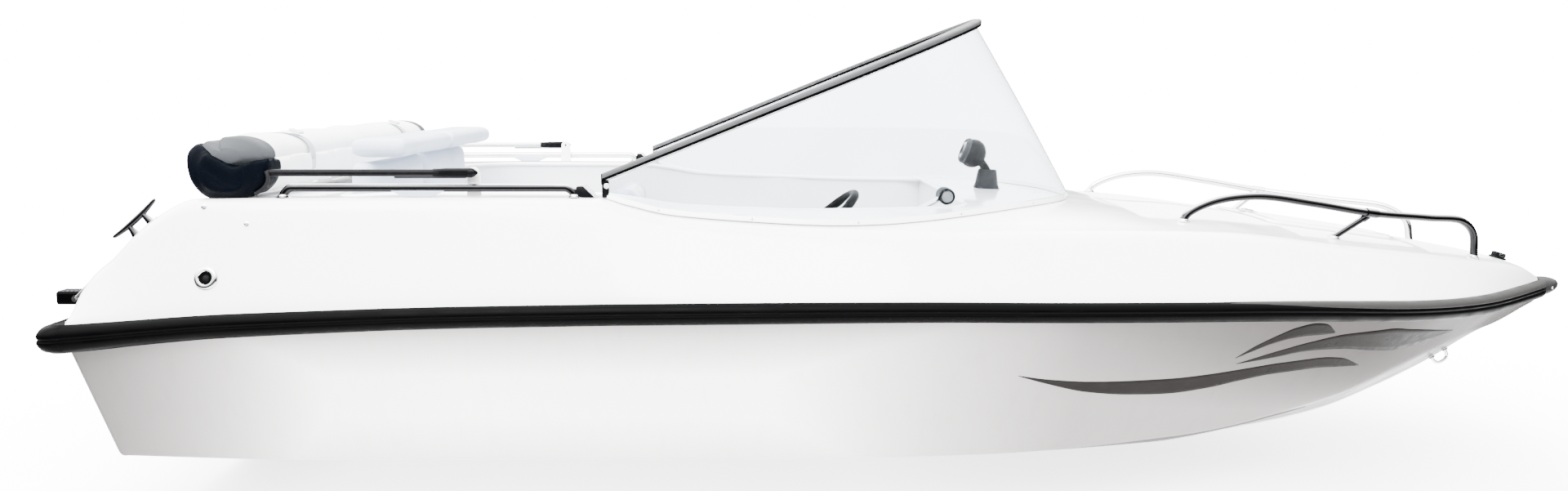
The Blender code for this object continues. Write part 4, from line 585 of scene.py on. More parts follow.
def round_edges(obj, width, segments=3, angle=40.0):
    modifier = obj.modifiers.new("rounded edges", "BEVEL")
    modifier.width = width
    modifier.segments = segments
    modifier.limit_method = "ANGLE"
    modifier.angle_limit = math.radians(angle)
    modifier.harden_normals = False
    return shaded(apply_modifiers(obj), 50.0)


def subdivide(obj):
    modifier = obj.modifiers.new("finer", "SUBSURF")
    modifier.levels = modifier.render_levels = 1
    return apply_modifiers(obj)


def cut(obj, tool):
    """Cut a closed tool out of a closed object; the tool is deleted."""
    modifier = obj.modifiers.new("cut", "BOOLEAN")
    modifier.operation = "DIFFERENCE"
    modifier.object = tool
    modifier.solver = "EXACT"
    apply_modifiers(obj)
    bpy.data.objects.remove(tool)
    return shaded(obj)


def grid(name, rows, finish, close_rows=False, cap=False, angle=SMOOTH_ANGLE):
    """A surface through rows of points."""
    made = bmesh.new()
    verts = [[made.verts.new(p) for p in row] for row in rows]
    count = len(rows[0])
    for i in range(len(rows) - 1):
        for j in range(count if close_rows else count - 1):
            k = (j + 1) % count
            made.faces.new((verts[i][j], verts[i + 1][j], verts[i + 1][k], verts[i][k]))
    if cap:
        made.faces.new(verts[0])
        made.faces.new(verts[-1])
    return new_object(name, made, finish, angle)


def path_frames(points, closed=False):
    """Each point with two directions across the path, carried along without twist."""
    places = [Vector(p) for p in points]
    count = len(places)
    frames = []
    across = None
    for k, place in enumerate(places):
        before = places[(k - 1) % count] if closed or k > 0 else place
        after = places[(k + 1) % count] if closed or k < count - 1 else place
        along = (after - before).normalized()
        if across is None:
            helper = Vector((0, 0, 1)) if abs(along.z) < 0.9 else Vector((1, 0, 0))
            across = helper.cross(along).normalized()
        else:
            across = (across - along * across.dot(along)).normalized()
        frames.append((place, across, along.cross(across).normalized()))
    return frames


def sweep(name, points, profile, finish, closed=False):
    """A profile of (across, up) pairs carried along a path."""
    rows = [[place + across * a + lift * b for a, b in profile]
            for place, across, lift in path_frames(points, closed)]
    if closed:
        obj = grid(name, rows + rows[:1], finish, close_rows=True)
        return reshaped(obj, lambda made: bmesh.ops.remove_doubles(made, verts=made.verts, dist=1e-6))
    return grid(name, rows, finish, close_rows=True, cap=True)


def circle(radius, count=16):
    return [(radius * math.cos(2 * math.pi * k / count), radius * math.sin(2 * math.pi * k / count))
            for k in range(count)]


def squared(angle, power):
    """Cosine and sine of an angle, pushed out from a circle towards a square by a power below 1."""
    c, s = math.cos(angle), math.sin(angle)
    return math.copysign(abs(c) ** power, c), math.copysign(abs(s) ** power, s)


def rounded_rectangle(width, height, radius, steps=5):
    """Points round a rectangle with round corners, centred on (0, 0)."""
    points = []
    for quarter, (sx, sy) in enumerate(((1, 1), (-1, 1), (-1, -1), (1, -1))):
        for step in range(steps + 1):
            angle = 0.5 * math.pi * (quarter + step / steps)
            points.append((sx * (width / 2 - radius) + radius * math.cos(angle),
                           sy * (height / 2 - radius) + radius * math.sin(angle)))
    return points


def tube(name, points, radius, finish, sides=18, per_span=10, curved=True):
    path = rounded_path(points, per_span) if curved else points
    return sweep(name, path, circle(radius, sides), finish)


def placed(obj, matrix):
    obj.data.transform(matrix)
    return obj


def block(name, size, finish, rounding=0.003, segments=3, matrix=None):
    """A box with round edges about its own centre, or set by a matrix."""
    made = bmesh.new()
    bmesh.ops.create_cube(made, size=1.0)
    bmesh.ops.scale(made, vec=Vector(size), verts=made.verts)
    obj = new_object(name, made, finish)
    if rounding:
        round_edges(obj, rounding, segments)
    return placed(obj, matrix) if matrix else obj


def box_between(name, low, high, finish, rounding=0.003, segments=3):
    low, high = Vector(low), Vector(high)
    return block(name, high - low, finish, rounding, segments, Matrix.Translation((low + high) / 2.0))


def turned(name, profile, finish, matrix=None, steps=40, angle=SMOOTH_ANGLE):
    """A profile of (radius, height) pairs turned about Z; zero radii at its ends close it."""
    made = bmesh.new()
    rings = []
    for radius, height in profile:
        if radius < 1e-6:
            rings.append([made.verts.new((0.0, 0.0, height))])
        else:
            rings.append([made.verts.new((x, y, height)) for x, y in circle(radius, steps)])
    for one, two in zip(rings, rings[1:]):
        for k in range(steps):
            n = (k + 1) % steps
            corners = [one[k % len(one)], one[n % len(one)], two[n % len(two)], two[k % len(two)]]
            unique = list(dict.fromkeys(corners))
            if len(unique) > 2:
                made.faces.new(unique)
    obj = new_object(name, made, finish, angle)
    return placed(obj, matrix) if matrix else obj


def rod(name, low, high, radius, finish, matrix, steps):
    """A plain cylinder from low to high along its matrix's Z."""
    return turned(name, [(0.0, low), (radius, low), (radius, high), (0.0, high)], finish, matrix, steps)


def aimed(place, direction):
    """Matrix whose Z runs along a direction."""
    made = Vector(direction).normalized().to_track_quat("Z", "Y").to_matrix().to_4x4()
    made.translation = Vector(place)
    return made


def moved(matrix, x, y, z):
    """A matrix moved along its own axes."""
    return matrix @ Matrix.Translation((x, y, z))


def standing(x, y, z, towards):
    """Matrix that stands an outline up along the boat; it thickens to port (1) or to starboard (-1)."""
    return Matrix(((1, 0, 0, x), (0, 0, towards, y), (0, 1, 0, z), (0, 0, 0, 1)))


def slab(name, outline, thickness, finish, matrix=None, rounding=0.0):
    """A flat plate from a 2D outline, its underside at Z = 0."""
    made = bmesh.new()
    low = [made.verts.new((x, y, 0.0)) for x, y in outline]
    high = [made.verts.new((x, y, thickness)) for x, y in outline]
    made.faces.new(low)
    made.faces.new(high)
    for k in range(len(outline)):
        n = (k + 1) % len(outline)
        made.faces.new((low[k], low[n], high[n], high[k]))
    obj = new_object(name, made, finish)
    if rounding:
        round_edges(obj, rounding, 2)
    return placed(obj, matrix) if matrix else obj


def joined(name, pieces):
    """Several objects as one, each keeping its materials."""
    made = bmesh.new()
    finishes = []
    for piece in pieces:
        offset = len(made.faces)
        made.from_mesh(piece.data)
        made.faces.ensure_lookup_table()
        slots = list(piece.data.materials)
        for face in made.faces[offset:]:
            finish = slots[min(face.material_index, len(slots) - 1)]
            if finish not in finishes:
                finishes.append(finish)
            face.material_index = finishes.index(finish)
    mesh = bpy.data.meshes.new(name)
    made.to_mesh(mesh)
    made.free()
    for piece in pieces:
        bpy.data.objects.remove(piece)
    obj = bpy.data.objects.new(name, mesh)
    bpy.context.scene.collection.objects.link(obj)
    for finish in finishes:
        mesh.materials.append(finish)
    return obj


def mirrored(name, obj):
    """The port copy of a starboard piece."""
    mesh = obj.data.copy()
    mesh.transform(Matrix.Scale(-1.0, 4, (0, 1, 0)))
    mesh.flip_normals()
    copy = bpy.data.objects.new(name, mesh)
    bpy.context.scene.collection.objects.link(copy)
    return copy


def piece(obj, body, slot, *nodes):
    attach(obj, body)
    if nodes:
        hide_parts(*nodes)
    return obj


def pair(obj, body, slot, *nodes, bright_port=False):
    """Keep a starboard piece and its mirrored port copy; {} in a name stands for the side."""
    name = obj.name
    other = mirrored(name.replace("starboard", "port"), obj)
    # The port copy can swap the tube's painted reflection for plain steel, so the painted dark underside
    # stays on the starboard side only.
    if bright_port:
        for k, finish in enumerate(other.data.materials):
            if finish == M["tube"]:
                other.data.materials[k] = M["steel"]
    piece(obj, body, slot, *[n.format("starboard") for n in nodes])
    piece(other, body, slot, *[n.format("port") for n in nodes])
    return obj, other


def screw_heads(name, places, radius=0.0042):
    """Small domed screw heads; each place is a matrix standing on the surface."""
    heads = []
    profile = [(0.0, -0.001), (radius, -0.001), (radius, 0.0006), (radius * 0.8, 0.0016),
               (radius * 0.4, 0.0021), (0.0, 0.0022)]
    for k, matrix in enumerate(places):
        head = turned("%s_%d" % (name, k), profile, "steel", matrix, steps=14)
        slot = block("%s_slot_%d" % (name, k), (radius * 1.3, radius * 0.22, 0.0006), "black", 0.0, 1,
                     moved(matrix, 0, 0, 0.0021))
        heads += [head, slot]
    return joined(name, heads)


STITCH_LENGTH = 0.0045
STITCH_PITCH = 0.0065
STITCH_RADIUS = 0.0006


def stitches(name, path):
    """Short threads laid end to end along a path."""
    made = bmesh.new()
    places = [Vector(p) for p in path]
    reach = np.cumsum([0.0] + [(b - a).length for a, b in zip(places, places[1:])])
    columns = np.array([list(p) for p in places])

    def at(distance):
        return Vector([float(np.interp(distance, reach, columns[:, k])) for k in range(3)])

    start = 0.0
    while start + STITCH_LENGTH < reach[-1]:
        a, b = at(start), at(start + STITCH_LENGTH)
        along = (b - a).normalized()
        across = along.orthogonal().normalized()
        other = along.cross(across)
        spokes = [across * math.cos(t) + other * math.sin(t) for t in (0.0, 1.571, 3.142, 4.712)]
        rings = [[made.verts.new(place + spoke * STITCH_RADIUS * size) for spoke in spokes]
                 for place, size in ((a, 0.4), (a.lerp(b, 0.2), 1.0), (a.lerp(b, 0.8), 1.0), (b, 0.4))]
        for one, two in zip(rings, rings[1:]):
            for k in range(4):
                made.faces.new((one[k], one[(k + 1) % 4], two[(k + 1) % 4], two[k]))
        made.faces.new(rings[0])
        made.faces.new(rings[-1])
        start += STITCH_PITCH
    return new_object(name, made, "thread", 60.0)


# Hull

def hull_section(x):
    """Starboard half of the hull's outer skin: (half-breadth, height) from the keel bar to the rub rail."""
    run = chine_y(x) - KEEL_BAR_HALF_WIDTH
    keel = (KEEL_BAR_HALF_WIDTH, keel_z(x) + SHELL_RISE)
    chine = (chine_y(x), chine_z(x))
    top_x = raked(x, sheer_z(x))
    high = (sheer_y(top_x), sheer_z(top_x) - 0.002)
    soft = min(CHINE_RADIUS, 0.45 * run, 0.3 * (high[1] - chine[1]))
    bottom_length = math.hypot(chine[0] - keel[0], chine[1] - keel[1])
    side_length = math.hypot(high[0] - chine[0], high[1] - chine[1])
    before = tuple(c + (k - c) * soft / bottom_length for c, k in zip(chine, keel))
    after = tuple(c + (h - c) * soft / side_length for c, h in zip(chine, high))
    section = [tuple(k + (b - k) * t for k, b in zip(keel, before)) for t in spread(0.0, 1.0, 10)[:-1]]
    section += bezier(before, chine, after, 7)[:-1]
    flare = SIDE_FLARE * max(0.0, min(1.0, (x - 0.4) / 0.8)) * max(0.0, min(1.0, (HULL_BOW_X - x) / 0.4))
    for t in spread(0.0, 1.0, 14):
        bulge = flare * math.sin(math.pi * t)
        section.append((after[0] + (high[0] - after[0]) * t - bulge, after[1] + (high[1] - after[1]) * t))
    return section


def hull_stations():
    return spread(TRANSOM_X, 1.30, 74)[:-1] + spread(1.30, HULL_BOW_X, 44)


def hull_shell():
    rows = [[(raked(x, z), -y, z) for y, z in hull_section(x)] for x in hull_stations()]
    shell = grid("hull_shell_starboard", rows, "hull", angle=60.0)
    inward = 1.0 if shell.data.polygons[400].normal.y > 0 else -1.0
    solidify(shell, HULL_THICKNESS, inward)
    shaded(shell, 60.0)
    pair(shell, "boat", "hull_paint", "hull_side_{}", "hull_bottom_{}")


def side_place(x, z, out=0.0):
    """A point of the starboard side at a place along the boat and a height, moved out by a little."""
    breadths, heights = zip(*hull_section(x))
    y = float(np.interp(z, heights, breadths))
    return Vector((raked(x, z), -y - out, z))


def keel_bar():
    rows = []
    corner = KEEL_BAR_HALF_WIDTH * 0.55
    for x in hull_stations():
        slope = (keel_z(x + 0.01) - keel_z(x - 0.01)) / 0.02
        normal = Vector((-slope, 0.0, 1.0)).normalized()
        low = Vector((raked(x, keel_z(x)), 0.0, keel_z(x)))
        profile = [(-KEEL_BAR_HALF_WIDTH, KEEL_BAR_DEPTH), (-KEEL_BAR_HALF_WIDTH, corner), (-corner, 0.0),
                   (corner, 0.0), (KEEL_BAR_HALF_WIDTH, corner), (KEEL_BAR_HALF_WIDTH, KEEL_BAR_DEPTH)]
        rows.append([low + Vector((0, y, 0)) + normal * z for y, z in profile])
    piece(grid("keel_strip", rows, "aluminium", close_rows=True, cap=True), "boat", "hull_paint", "keel_bar")


SPRAY_RAIL_SHARE = 0.52
SPRAY_RAIL_END_X = 1.33
SPRAY_RAIL_PROFILE = [(0.0, 0.0), (0.034, 0.0), (0.034, 0.011), (0.031, 0.0145), (0.026, 0.0140)]


def spray_rail():
    """A strip along the bottom, a share of the way from the keel to the chine."""
    rows = []
    for x in [x for x in hull_stations() if x < SPRAY_RAIL_END_X]:
        along = (x - TRANSOM_X) / (SPRAY_RAIL_END_X - TRANSOM_X)
        taper = min(1.0, (1.0 - along) * 6.0 + 0.10)
        keel = (KEEL_BAR_HALF_WIDTH, keel_z(x) + SHELL_RISE)
        chine = (chine_y(x), chine_z(x))
        y, z = (k + (c - k) * SPRAY_RAIL_SHARE for k, c in zip(keel, chine))
        across = Vector((0.0, chine[0] - keel[0], chine[1] - keel[1])).normalized()
        down = Vector((0.0, across.z, -across.y))
        base = Vector((0.0, y, z)) - down * 0.001
        row = []
        for reach, depth in SPRAY_RAIL_PROFILE:
            corner = base + across * reach * taper + down * (depth * taper + (0.001 if depth else 0.0))
            row.append((raked(x, corner.z), -corner.y, corner.z))
        rows.append(row)
    rail = grid("spray_strake_starboard", rows, "hull", close_rows=True, cap=True)
    pair(rail, "boat", "hull_paint", "spray_rail_{}")


def transom_frame():
    """The transom's own axes: its foot, the direction up its face and the direction aft."""
    up = Vector((-TRANSOM_RAKE, 0.0, 1.0)).normalized()
    aft = Vector((-up.z, 0.0, up.x))
    return Vector((TRANSOM_X, 0.0, 0.0)), up, aft


def on_transom(y, height, out=0.0):
    """Matrix on the transom's aft face: X to starboard, Y up the face, Z pointing aft."""
    foot, up, aft = transom_frame()
    made = Matrix((up.cross(aft), up, aft)).transposed().to_4x4()
    made.translation = foot + up * height + Vector((0, y, 0)) + aft * (TRANSOM_FACE + out)
    return made


def transom():
    stretch = math.hypot(1.0, TRANSOM_RAKE)
    half = [(y, z * stretch) for y, z in hull_section(TRANSOM_X)]
    top = [(half[-1][0], TRANSOM_TOP_Z * stretch), (NOTCH_HALF_WIDTH, TRANSOM_TOP_Z * stretch)]
    fillet = bezier(top[1], (NOTCH_HALF_WIDTH - 0.016, TRANSOM_TOP_Z * stretch),
                    (NOTCH_HALF_WIDTH - 0.030, TRANSOM_NOTCH_Z * stretch), 6)
    side = [(0.0, half[0][1])] + half[:-1] + [top[0]] + fillet
    outline = side + [(-y, z) for y, z in reversed(side[1:])]
    plate = slab("transom_plate", outline, TRANSOM_THICKNESS, "hull", rounding=0.0012)
    foot, up, _ = transom_frame()
    normal = Vector((0, 1, 0)).cross(up)
    matrix = Matrix(((0, 1, 0), tuple(up), tuple(normal))).transposed().to_4x4()
    matrix.translation = foot - normal * TRANSOM_FACE
    piece(placed(plate, matrix), "boat", "hull_paint", "transom")


def transom_fittings():
    """Ribbed motor pad, drain plug and two tie-down eyes."""
    ribs = [block("pad_plate", (0.32, 0.20, 0.0058), "black", 0.0022, 3, on_transom(0.0, 0.205, 0.0031))]
    for k in range(9):
        ribs.append(block("pad_rib_%d" % k, (0.29, 0.006, 0.0010), "black", 0.0004, 1,
                          on_transom(0.0, 0.125 + 0.020 * k, 0.0059)))
    piece(joined("motor_pad", ribs), "boat", "black_plastic", "outboard_pad")
    drain = [turned("drain_flange", [(0, 0), (0.024, 0), (0.024, 0.002), (0.021, 0.004), (0.013, 0.004),
                                     (0.013, 0.009), (0.010, 0.011), (0, 0.011)], "steel",
                    on_transom(-0.10, -0.105), 32),
             block("drain_key", (0.020, 0.004, 0.006), "steel", 0.001, 2, on_transom(-0.10, -0.105, 0.013))]
    piece(joined("drain_plug", drain), "boat", "stainless")
    heads = [on_transom(-0.10 + 0.018 * math.cos(a), -0.105 + 0.018 * math.sin(a), 0.003)
             for a in (0.5, 2.6, 4.7)]
    piece(screw_heads("drain_screws", heads, radius=0.003), "boat", "stainless")
    eyes = []
    for side in (-1, 1):
        y = side * 0.52
        eyes.append(block("eye_plate_%d" % side, (0.030, 0.060, 0.003), "steel", 0.001, 2,
                          on_transom(y, 0.10, 0.0015)))
        arc = [on_transom(y, 0.10 + 0.020 * math.cos(a), 0.002 + 0.030 * math.sin(a)).translation
               for a in [math.pi * k / 12.0 for k in range(13)]]
        eyes.append(tube("eye_bow_%d" % side, arc, 0.004, "steel", 12, curved=False))
    piece(joined("tie_down_eyes", eyes), "boat", "stainless")
    bolts = [on_transom(sy * 0.11, 0.150 + up * 0.11, 0.0060) for sy in (-1, 1) for up in (0, 1)]
    piece(screw_heads("motor_pad_screws", bolts, radius=0.006), "boat", "stainless")


# Stripes on the bow: (x, top, bottom) along each one, in metres

LOW_STRIPE = [(0.286, 0.233, 0.232), (0.360, 0.220, 0.208), (0.478, 0.207, 0.176), (0.598, 0.202, 0.160),
              (0.721, 0.201, 0.154), (0.835, 0.207, 0.163), (0.934, 0.215, 0.178), (1.038, 0.222, 0.188),
              (1.175, 0.224, 0.189), (1.259, 0.214, 0.182), (1.348, 0.177, 0.174)]
MIDDLE_STRIPE = [(0.891, 0.253, 0.252), (0.940, 0.286, 0.272), (0.990, 0.312, 0.290), (1.050, 0.337, 0.303),
                 (1.103, 0.346, 0.306), (1.140, 0.341, 0.305), (1.186, 0.310, 0.307)]
HIGH_STRIPE = [(0.900, 0.234, 0.233), (1.009, 0.261, 0.243), (1.121, 0.284, 0.254), (1.240, 0.299, 0.247),
               (1.383, 0.300, 0.223), (1.489, 0.284, 0.209), (1.638, 0.256, 0.219), (1.742, 0.235, 0.233)]


def stripe(name, points):
    xs = [p[0] for p in points]
    top, bottom = smooth([(p[0], p[1]) for p in points]), smooth([(p[0], p[2]) for p in points])
    rows = []
    for x in spread(xs[0], xs[-1], 72):
        high, low = top(x), bottom(x)
        rows.append([side_place(x, low + (high - low) * t, 0.0006) for t in spread(0.0, 1.0, 6)])
    film = grid(name, rows, "decal", angle=60.0)
    solidify(film, 0.0004, 0.0)
    film.data.shade_smooth()
    pair(film, "boat", "hull_paint")


# Rub rail and bow cap

RAIL_HALF_HEIGHT = 0.026
RAIL_DEPTH = 0.030
RAIL_STERN_DEPTH = 0.062
RAIL_END_X = 2.134
RAIL_DROP = [(-2.2, -0.019), (-2.1, -0.018), (-1.95, -0.009), (-1.7, 0.002), (-1.3, 0.0055), (-0.8, 0.001),
             (0.0, 0.0), (2.2, 0.0)]
RAIL_SWELL = [(-2.2, 1.42), (-2.1, 1.40), (-1.95, 1.27), (-1.7, 1.17), (-1.3, 1.09), (-0.8, 1.06),
              (-0.4, 1.05), (0.2, 1.0), (2.2, 1.0)]
LIP_START_X = 0.50
LIP_FULL_X = 1.30
BOW_TIP_X = 2.200
BOW_TIP_Z = 0.330


def rail_path():
    """Starboard rub rail's inner edge: (place, outward direction, depth) from the motor notch to the bow."""
    stern = TRANSOM_X - TRANSOM_RAKE * TRANSOM_TOP_Z - 0.0073
    corner_y = sheer_y(-2.13) + 0.0012
    z = sheer_z(-2.13)
    path = [((stern, -y, z), (-1.0, 0.0, 0.0), RAIL_STERN_DEPTH) for y in spread(0.31, corner_y - 0.05, 12)]
    for share in spread(0.0, 1.0, 14):
        angle = math.radians(90.0 * share)
        place = (stern + 0.016 * max(2.0 * share - 1.0, 0.0),
                 -(corner_y - 0.016 * max(1.0 - 2.0 * share, 0.0)), z)
        depth = RAIL_STERN_DEPTH + (RAIL_DEPTH - RAIL_STERN_DEPTH) * share ** 2
        path.append((place, (-math.cos(angle), -math.sin(angle), 0.0), depth))
    for x in spread(-2.0, RAIL_END_X, 130):
        slope = (sheer_y(min(x + 0.01, 2.129)) - sheer_y(x - 0.01)) / (min(x + 0.01, 2.129) - x + 0.01)
        out = Vector((-slope, -1.0, 0.0)).normalized()
        out = out.lerp(Vector((0, -1, 0)), max(0.0, (x - 2.09) / 0.045)).normalized()
        path.append(((x, -sheer_y(x) - 0.0006, sheer_z(x)), tuple(out), RAIL_DEPTH))
    return path


rail_drop = smooth(RAIL_DROP)
rail_swell = smooth(RAIL_SWELL)


def along_rail(name, profile, finish, low_x=-9.0, full_x=-9.0, angle=35.0):
    """A profile of (share of the depth, height) pairs along the rail, tapering in from low_x to full_x."""
    rows = []
    root = Vector((profile[0][0], profile[0][1]))
    for place, out, depth in rail_path():
        x = place[0]
        if x < low_x:
            continue
        share = 1.0 if x > full_x else 0.15 + 0.85 * (x - low_x) / (full_x - low_x)
        drop, swell = rail_drop(x), rail_swell(x)
        row = []
        for point in profile:
            reach, height = root.lerp(Vector(point), share)
            row.append(Vector(place) + Vector(out) * (reach * depth) + Vector((0, 0, drop + height * swell)))
        rows.append(row)
    return grid(name, rows, finish, close_rows=True, cap=True, angle=angle)


def rub_rail():
    """Black fender section with a groove, a rounded nose and a lip against the deck."""
    h = RAIL_HALF_HEIGHT
    nose = [(0.45 + 0.55 * math.cos(a), h * 0.92 * math.sin(a)) for a in
            [math.radians(v) for v in (-82, -64, -46, -28, -14)]]
    groove = [(0.965, -h * 0.12), (0.925, -h * 0.05), (0.925, h * 0.05), (0.965, h * 0.12)]
    upper = [(reach, -height) for reach, height in reversed(nose)]
    profile = [(0.0, -h), (0.40, -h)] + nose + groove + upper + [(0.40, h), (0.30, h * 0.86), (0.0, h * 0.86)]
    rail = along_rail("rub_rail_starboard", profile, "rubber", angle=50.0)
    pair(rail, "boat", "black_rubber", "rub_rail_{}")
    # The lip is partly a real moulded lip and partly painted highlight: its grey, lighter than the black
    # rail, stands for the light along the rail's top.
    lip = [(0.30, h * 0.80), (0.80, h * 0.70), (1.01, h * 0.48), (1.05, h * 0.56), (1.00, h * 0.78),
           (0.86, h * 0.98), (0.60, h * 1.12), (0.30, h * 1.18), (0.08, h * 1.18), (0.04, h * 1.02)]
    cover = along_rail("rail_lip_starboard", lip, "lip", LIP_START_X, LIP_FULL_X, 50.0)
    pair(cover, "boat", "grey_cap")


def bow_cap():
    """The grey nose where both rails meet."""
    start = RAIL_END_X + 0.0006
    rows = []
    for along in [0.0, 0.08] + [math.sin(math.pi / 2 * t) for t in spread(0.08, 0.97, 13)]:
        x = start + (BOW_TIP_X - 0.001 - start) * along
        size = math.sqrt(max(1.0 - along * along, 0.0)) * 0.93 + 0.07
        if along == 0.0:
            size = 0.97
        row = []
        for k in range(28):
            c, s = squared(2.0 * math.pi * k / 28.0, 0.85)
            row.append((x, 0.052 * size * c, BOW_TIP_Z + 0.012 * along + 0.029 * size * s))
        rows.append(row)
    cap = grid("bow_nose", rows, "cap", close_rows=True, cap=True, angle=50.0)
    piece(cap, "boat", "grey_cap", "bow_cap")
    heads = [aimed((2.158, side * 0.0505, 0.334), (0.3, side, 0.1)) for side in (-1, 1)]
    piece(screw_heads("bow_cap_screws", heads), "boat", "stainless")


# Deck moulding

DECK_THICKNESS = 0.005
HATCH_AFT_X, HATCH_FRONT_X = 1.20, 1.55


def wall_point(x, fraction):
    """A point of the deck's side wall, from above the rub rail (0) to the shoulder (1)."""
    low = (sheer_y(x) - 0.004, sheer_z(x) + 0.022)
    high = (shoulder_y(x), shoulder_z(x))
    if high[1] < low[1] + 0.004:
        low = (low[0], high[1] - 0.004)
    return low[0] + (high[0] - low[0]) * fraction, low[1] + (high[1] - low[1]) * fraction


def deck_half_section(x):
    base = wall_point(x, 0.0)
    top = wall_point(x, 1.0)
    height = math.hypot(base[0] - top[0], base[1] - top[1])
    radius = min(SHOULDER_RADIUS, 0.4 * height, 0.18 * top[0])
    down = ((base[0] - top[0]) / height, (base[1] - top[1]) / height)
    inner = inner_y(x)
    flat_y = top[0] - min(radius, 0.5 * (top[0] - inner))
    flat = (flat_y, deck_z(x, flat_y))
    side = (top[0] + down[0] * radius, flat[1] + down[1] * radius)
    section = [(sheer_y(x), min(sheer_z(x) + 0.0018, base[1] - 0.002))]
    section += [tuple(b + (s - b) * t for b, s in zip(base, side)) for t in spread(0.0, 1.0, 9)[:-1]]
    section += bezier(side, (top[0], flat[1]), flat, 8)
    section += [(y, deck_z(x, y)) for y in spread(flat_y, inner, 5)[1:]]
    section += [(y, deck_z(x, y)) for y in spread(inner, 0.0, 15)[1:]]
    return section


def deck_stations():
    made = []
    for start, end, count in ((-2.13, -2.105, 9), (-2.105, -2.03, 12), (-2.03, -1.80, 20), (-1.80, -0.92, 24),
                              (-0.92, -0.44, 36), (-0.44, 2.13, 82)):
        made += spread(start, end, count)[:-1]
    return made + [2.13]


def rounded_ends(aft, front, corner, count):
    """Places from aft to front, closer at both ends, and how far a round corner draws the edge in at each."""
    made = []
    for t in spread(0.0, 1.0, count):
        x = aft + (front - aft) * (0.5 - 0.5 * math.cos(math.pi * t))
        end = min(x - aft, front - x)
        pull = corner - math.sqrt(max(corner ** 2 - (corner - end) ** 2, 0.0)) if end < corner else 0.0
        made.append((x, pull))
    return made


def opening_outline(aft, front, half_width, corner, count=72):
    """Plan outline of an opening with round corners: starboard side forward, then port side aft."""
    side = [(x, half_width(x) - pull) for x, pull in rounded_ends(aft, front, corner, count)]
    return [(x, -y) for x, y in side] + [(x, y) for x, y in reversed(side)]


def prism(name, outline, low, high):
    return slab(name, outline, high - low, "deck", Matrix.Translation((0, 0, low)))


def cockpit_outline(inset=0.0):
    return opening_outline(COCKPIT_AFT_X + inset, COCKPIT_FRONT_X - inset, lambda x: inner_y(x) - inset,
                           COCKPIT_CORNER)


def hatch_outline():
    return opening_outline(HATCH_AFT_X, HATCH_FRONT_X, lambda x: 0.5 * inner_y(x), 0.03, 40)


def well_outline():
    return opening_outline(-2.25, WELL_FRONT_X, lambda x: WELL_HALF_WIDTH, 0.045, 40)


def deck():
    rows = []
    for x in deck_stations():
        half = deck_half_section(x)
        rows.append([(x, -y, z) for y, z in half] + [(x, y, z) for y, z in reversed(half[:-1])])
    moulding = grid("deck_shell", rows, "deck", angle=60.0)
    downward = -1.0 if sum(p.normal.z for p in moulding.data.polygons) > 0 else 1.0
    solidify(moulding, DECK_THICKNESS, downward)
    cut(moulding, prism("cockpit_cutter", cockpit_outline(), 0.30, 1.10))
    cut(moulding, prism("hatch_cutter", hatch_outline(), 0.30, 0.80))
    cut(moulding, prism("well_cutter", well_outline(), 0.10, 1.00))
    piece(moulding, "boat", "deck_white", "deck_moulding")


def edge_path(outline, rise=0.0):
    return [Vector((x, y, deck_z(x, y) + rise)) for x, y in outline]


def rolled_edges():
    """Rounded lips round the cockpit and the motor well."""
    lip = sweep("coaming_lip", edge_path(cockpit_outline(0.002), -0.0035), circle(0.0075, 12),
                "deck", closed=True)
    piece(lip, "boat", "deck_white")
    outline = [(x, y) for x, y in well_outline() if x > -2.10]
    well = sweep("well_lip", edge_path(outline, -0.0020), circle(0.0055, 10), "deck")
    piece(well, "boat", "deck_white")


TREAD_LIFT = 0.0006


def patch(name, aft, front, low, high, corner):
    """A thin panel on the starboard deck between two plan lines, with round ends."""
    rows = [[(x, -y, deck_z(x, y) + TREAD_LIFT) for y in spread(low(x) + pull, high(x) - pull, 10)]
            for x, pull in rounded_ends(aft, front, corner, 48)]
    panel = grid(name, rows, "tread", angle=60.0)
    solidify(panel, 0.0006, 0.0)
    return panel


def tread_panels():
    """Moulded non-slip panels on the foredeck and the quarters."""
    pieces = [("foredeck_tread_aft_starboard", 0.70, 1.135, lambda x: 0.020, lambda x: shoulder_y(x) - 0.200),
              ("foredeck_tread_side_starboard", 1.165, 1.60, lambda x: 0.5 * inner_y(x) + 0.040,
               lambda x: shoulder_y(x) - 0.085),
              ("foredeck_tread_front_starboard", 1.635, 1.93, lambda x: 0.012,
               lambda x: max(shoulder_y(x) - 0.040, 0.030)),
              ("quarter_tread_starboard", -1.800, -1.560, lambda x: 0.10, lambda x: 0.600)]
    for name, aft, front, low, high in pieces:
        corner = 0.012 if "side" in name or "front" in name else 0.03
        pair(patch(name, aft, front, low, high, corner), "boat", "deck_white")


LID_ROLL = 0.012
LID_LIFT = 0.0052


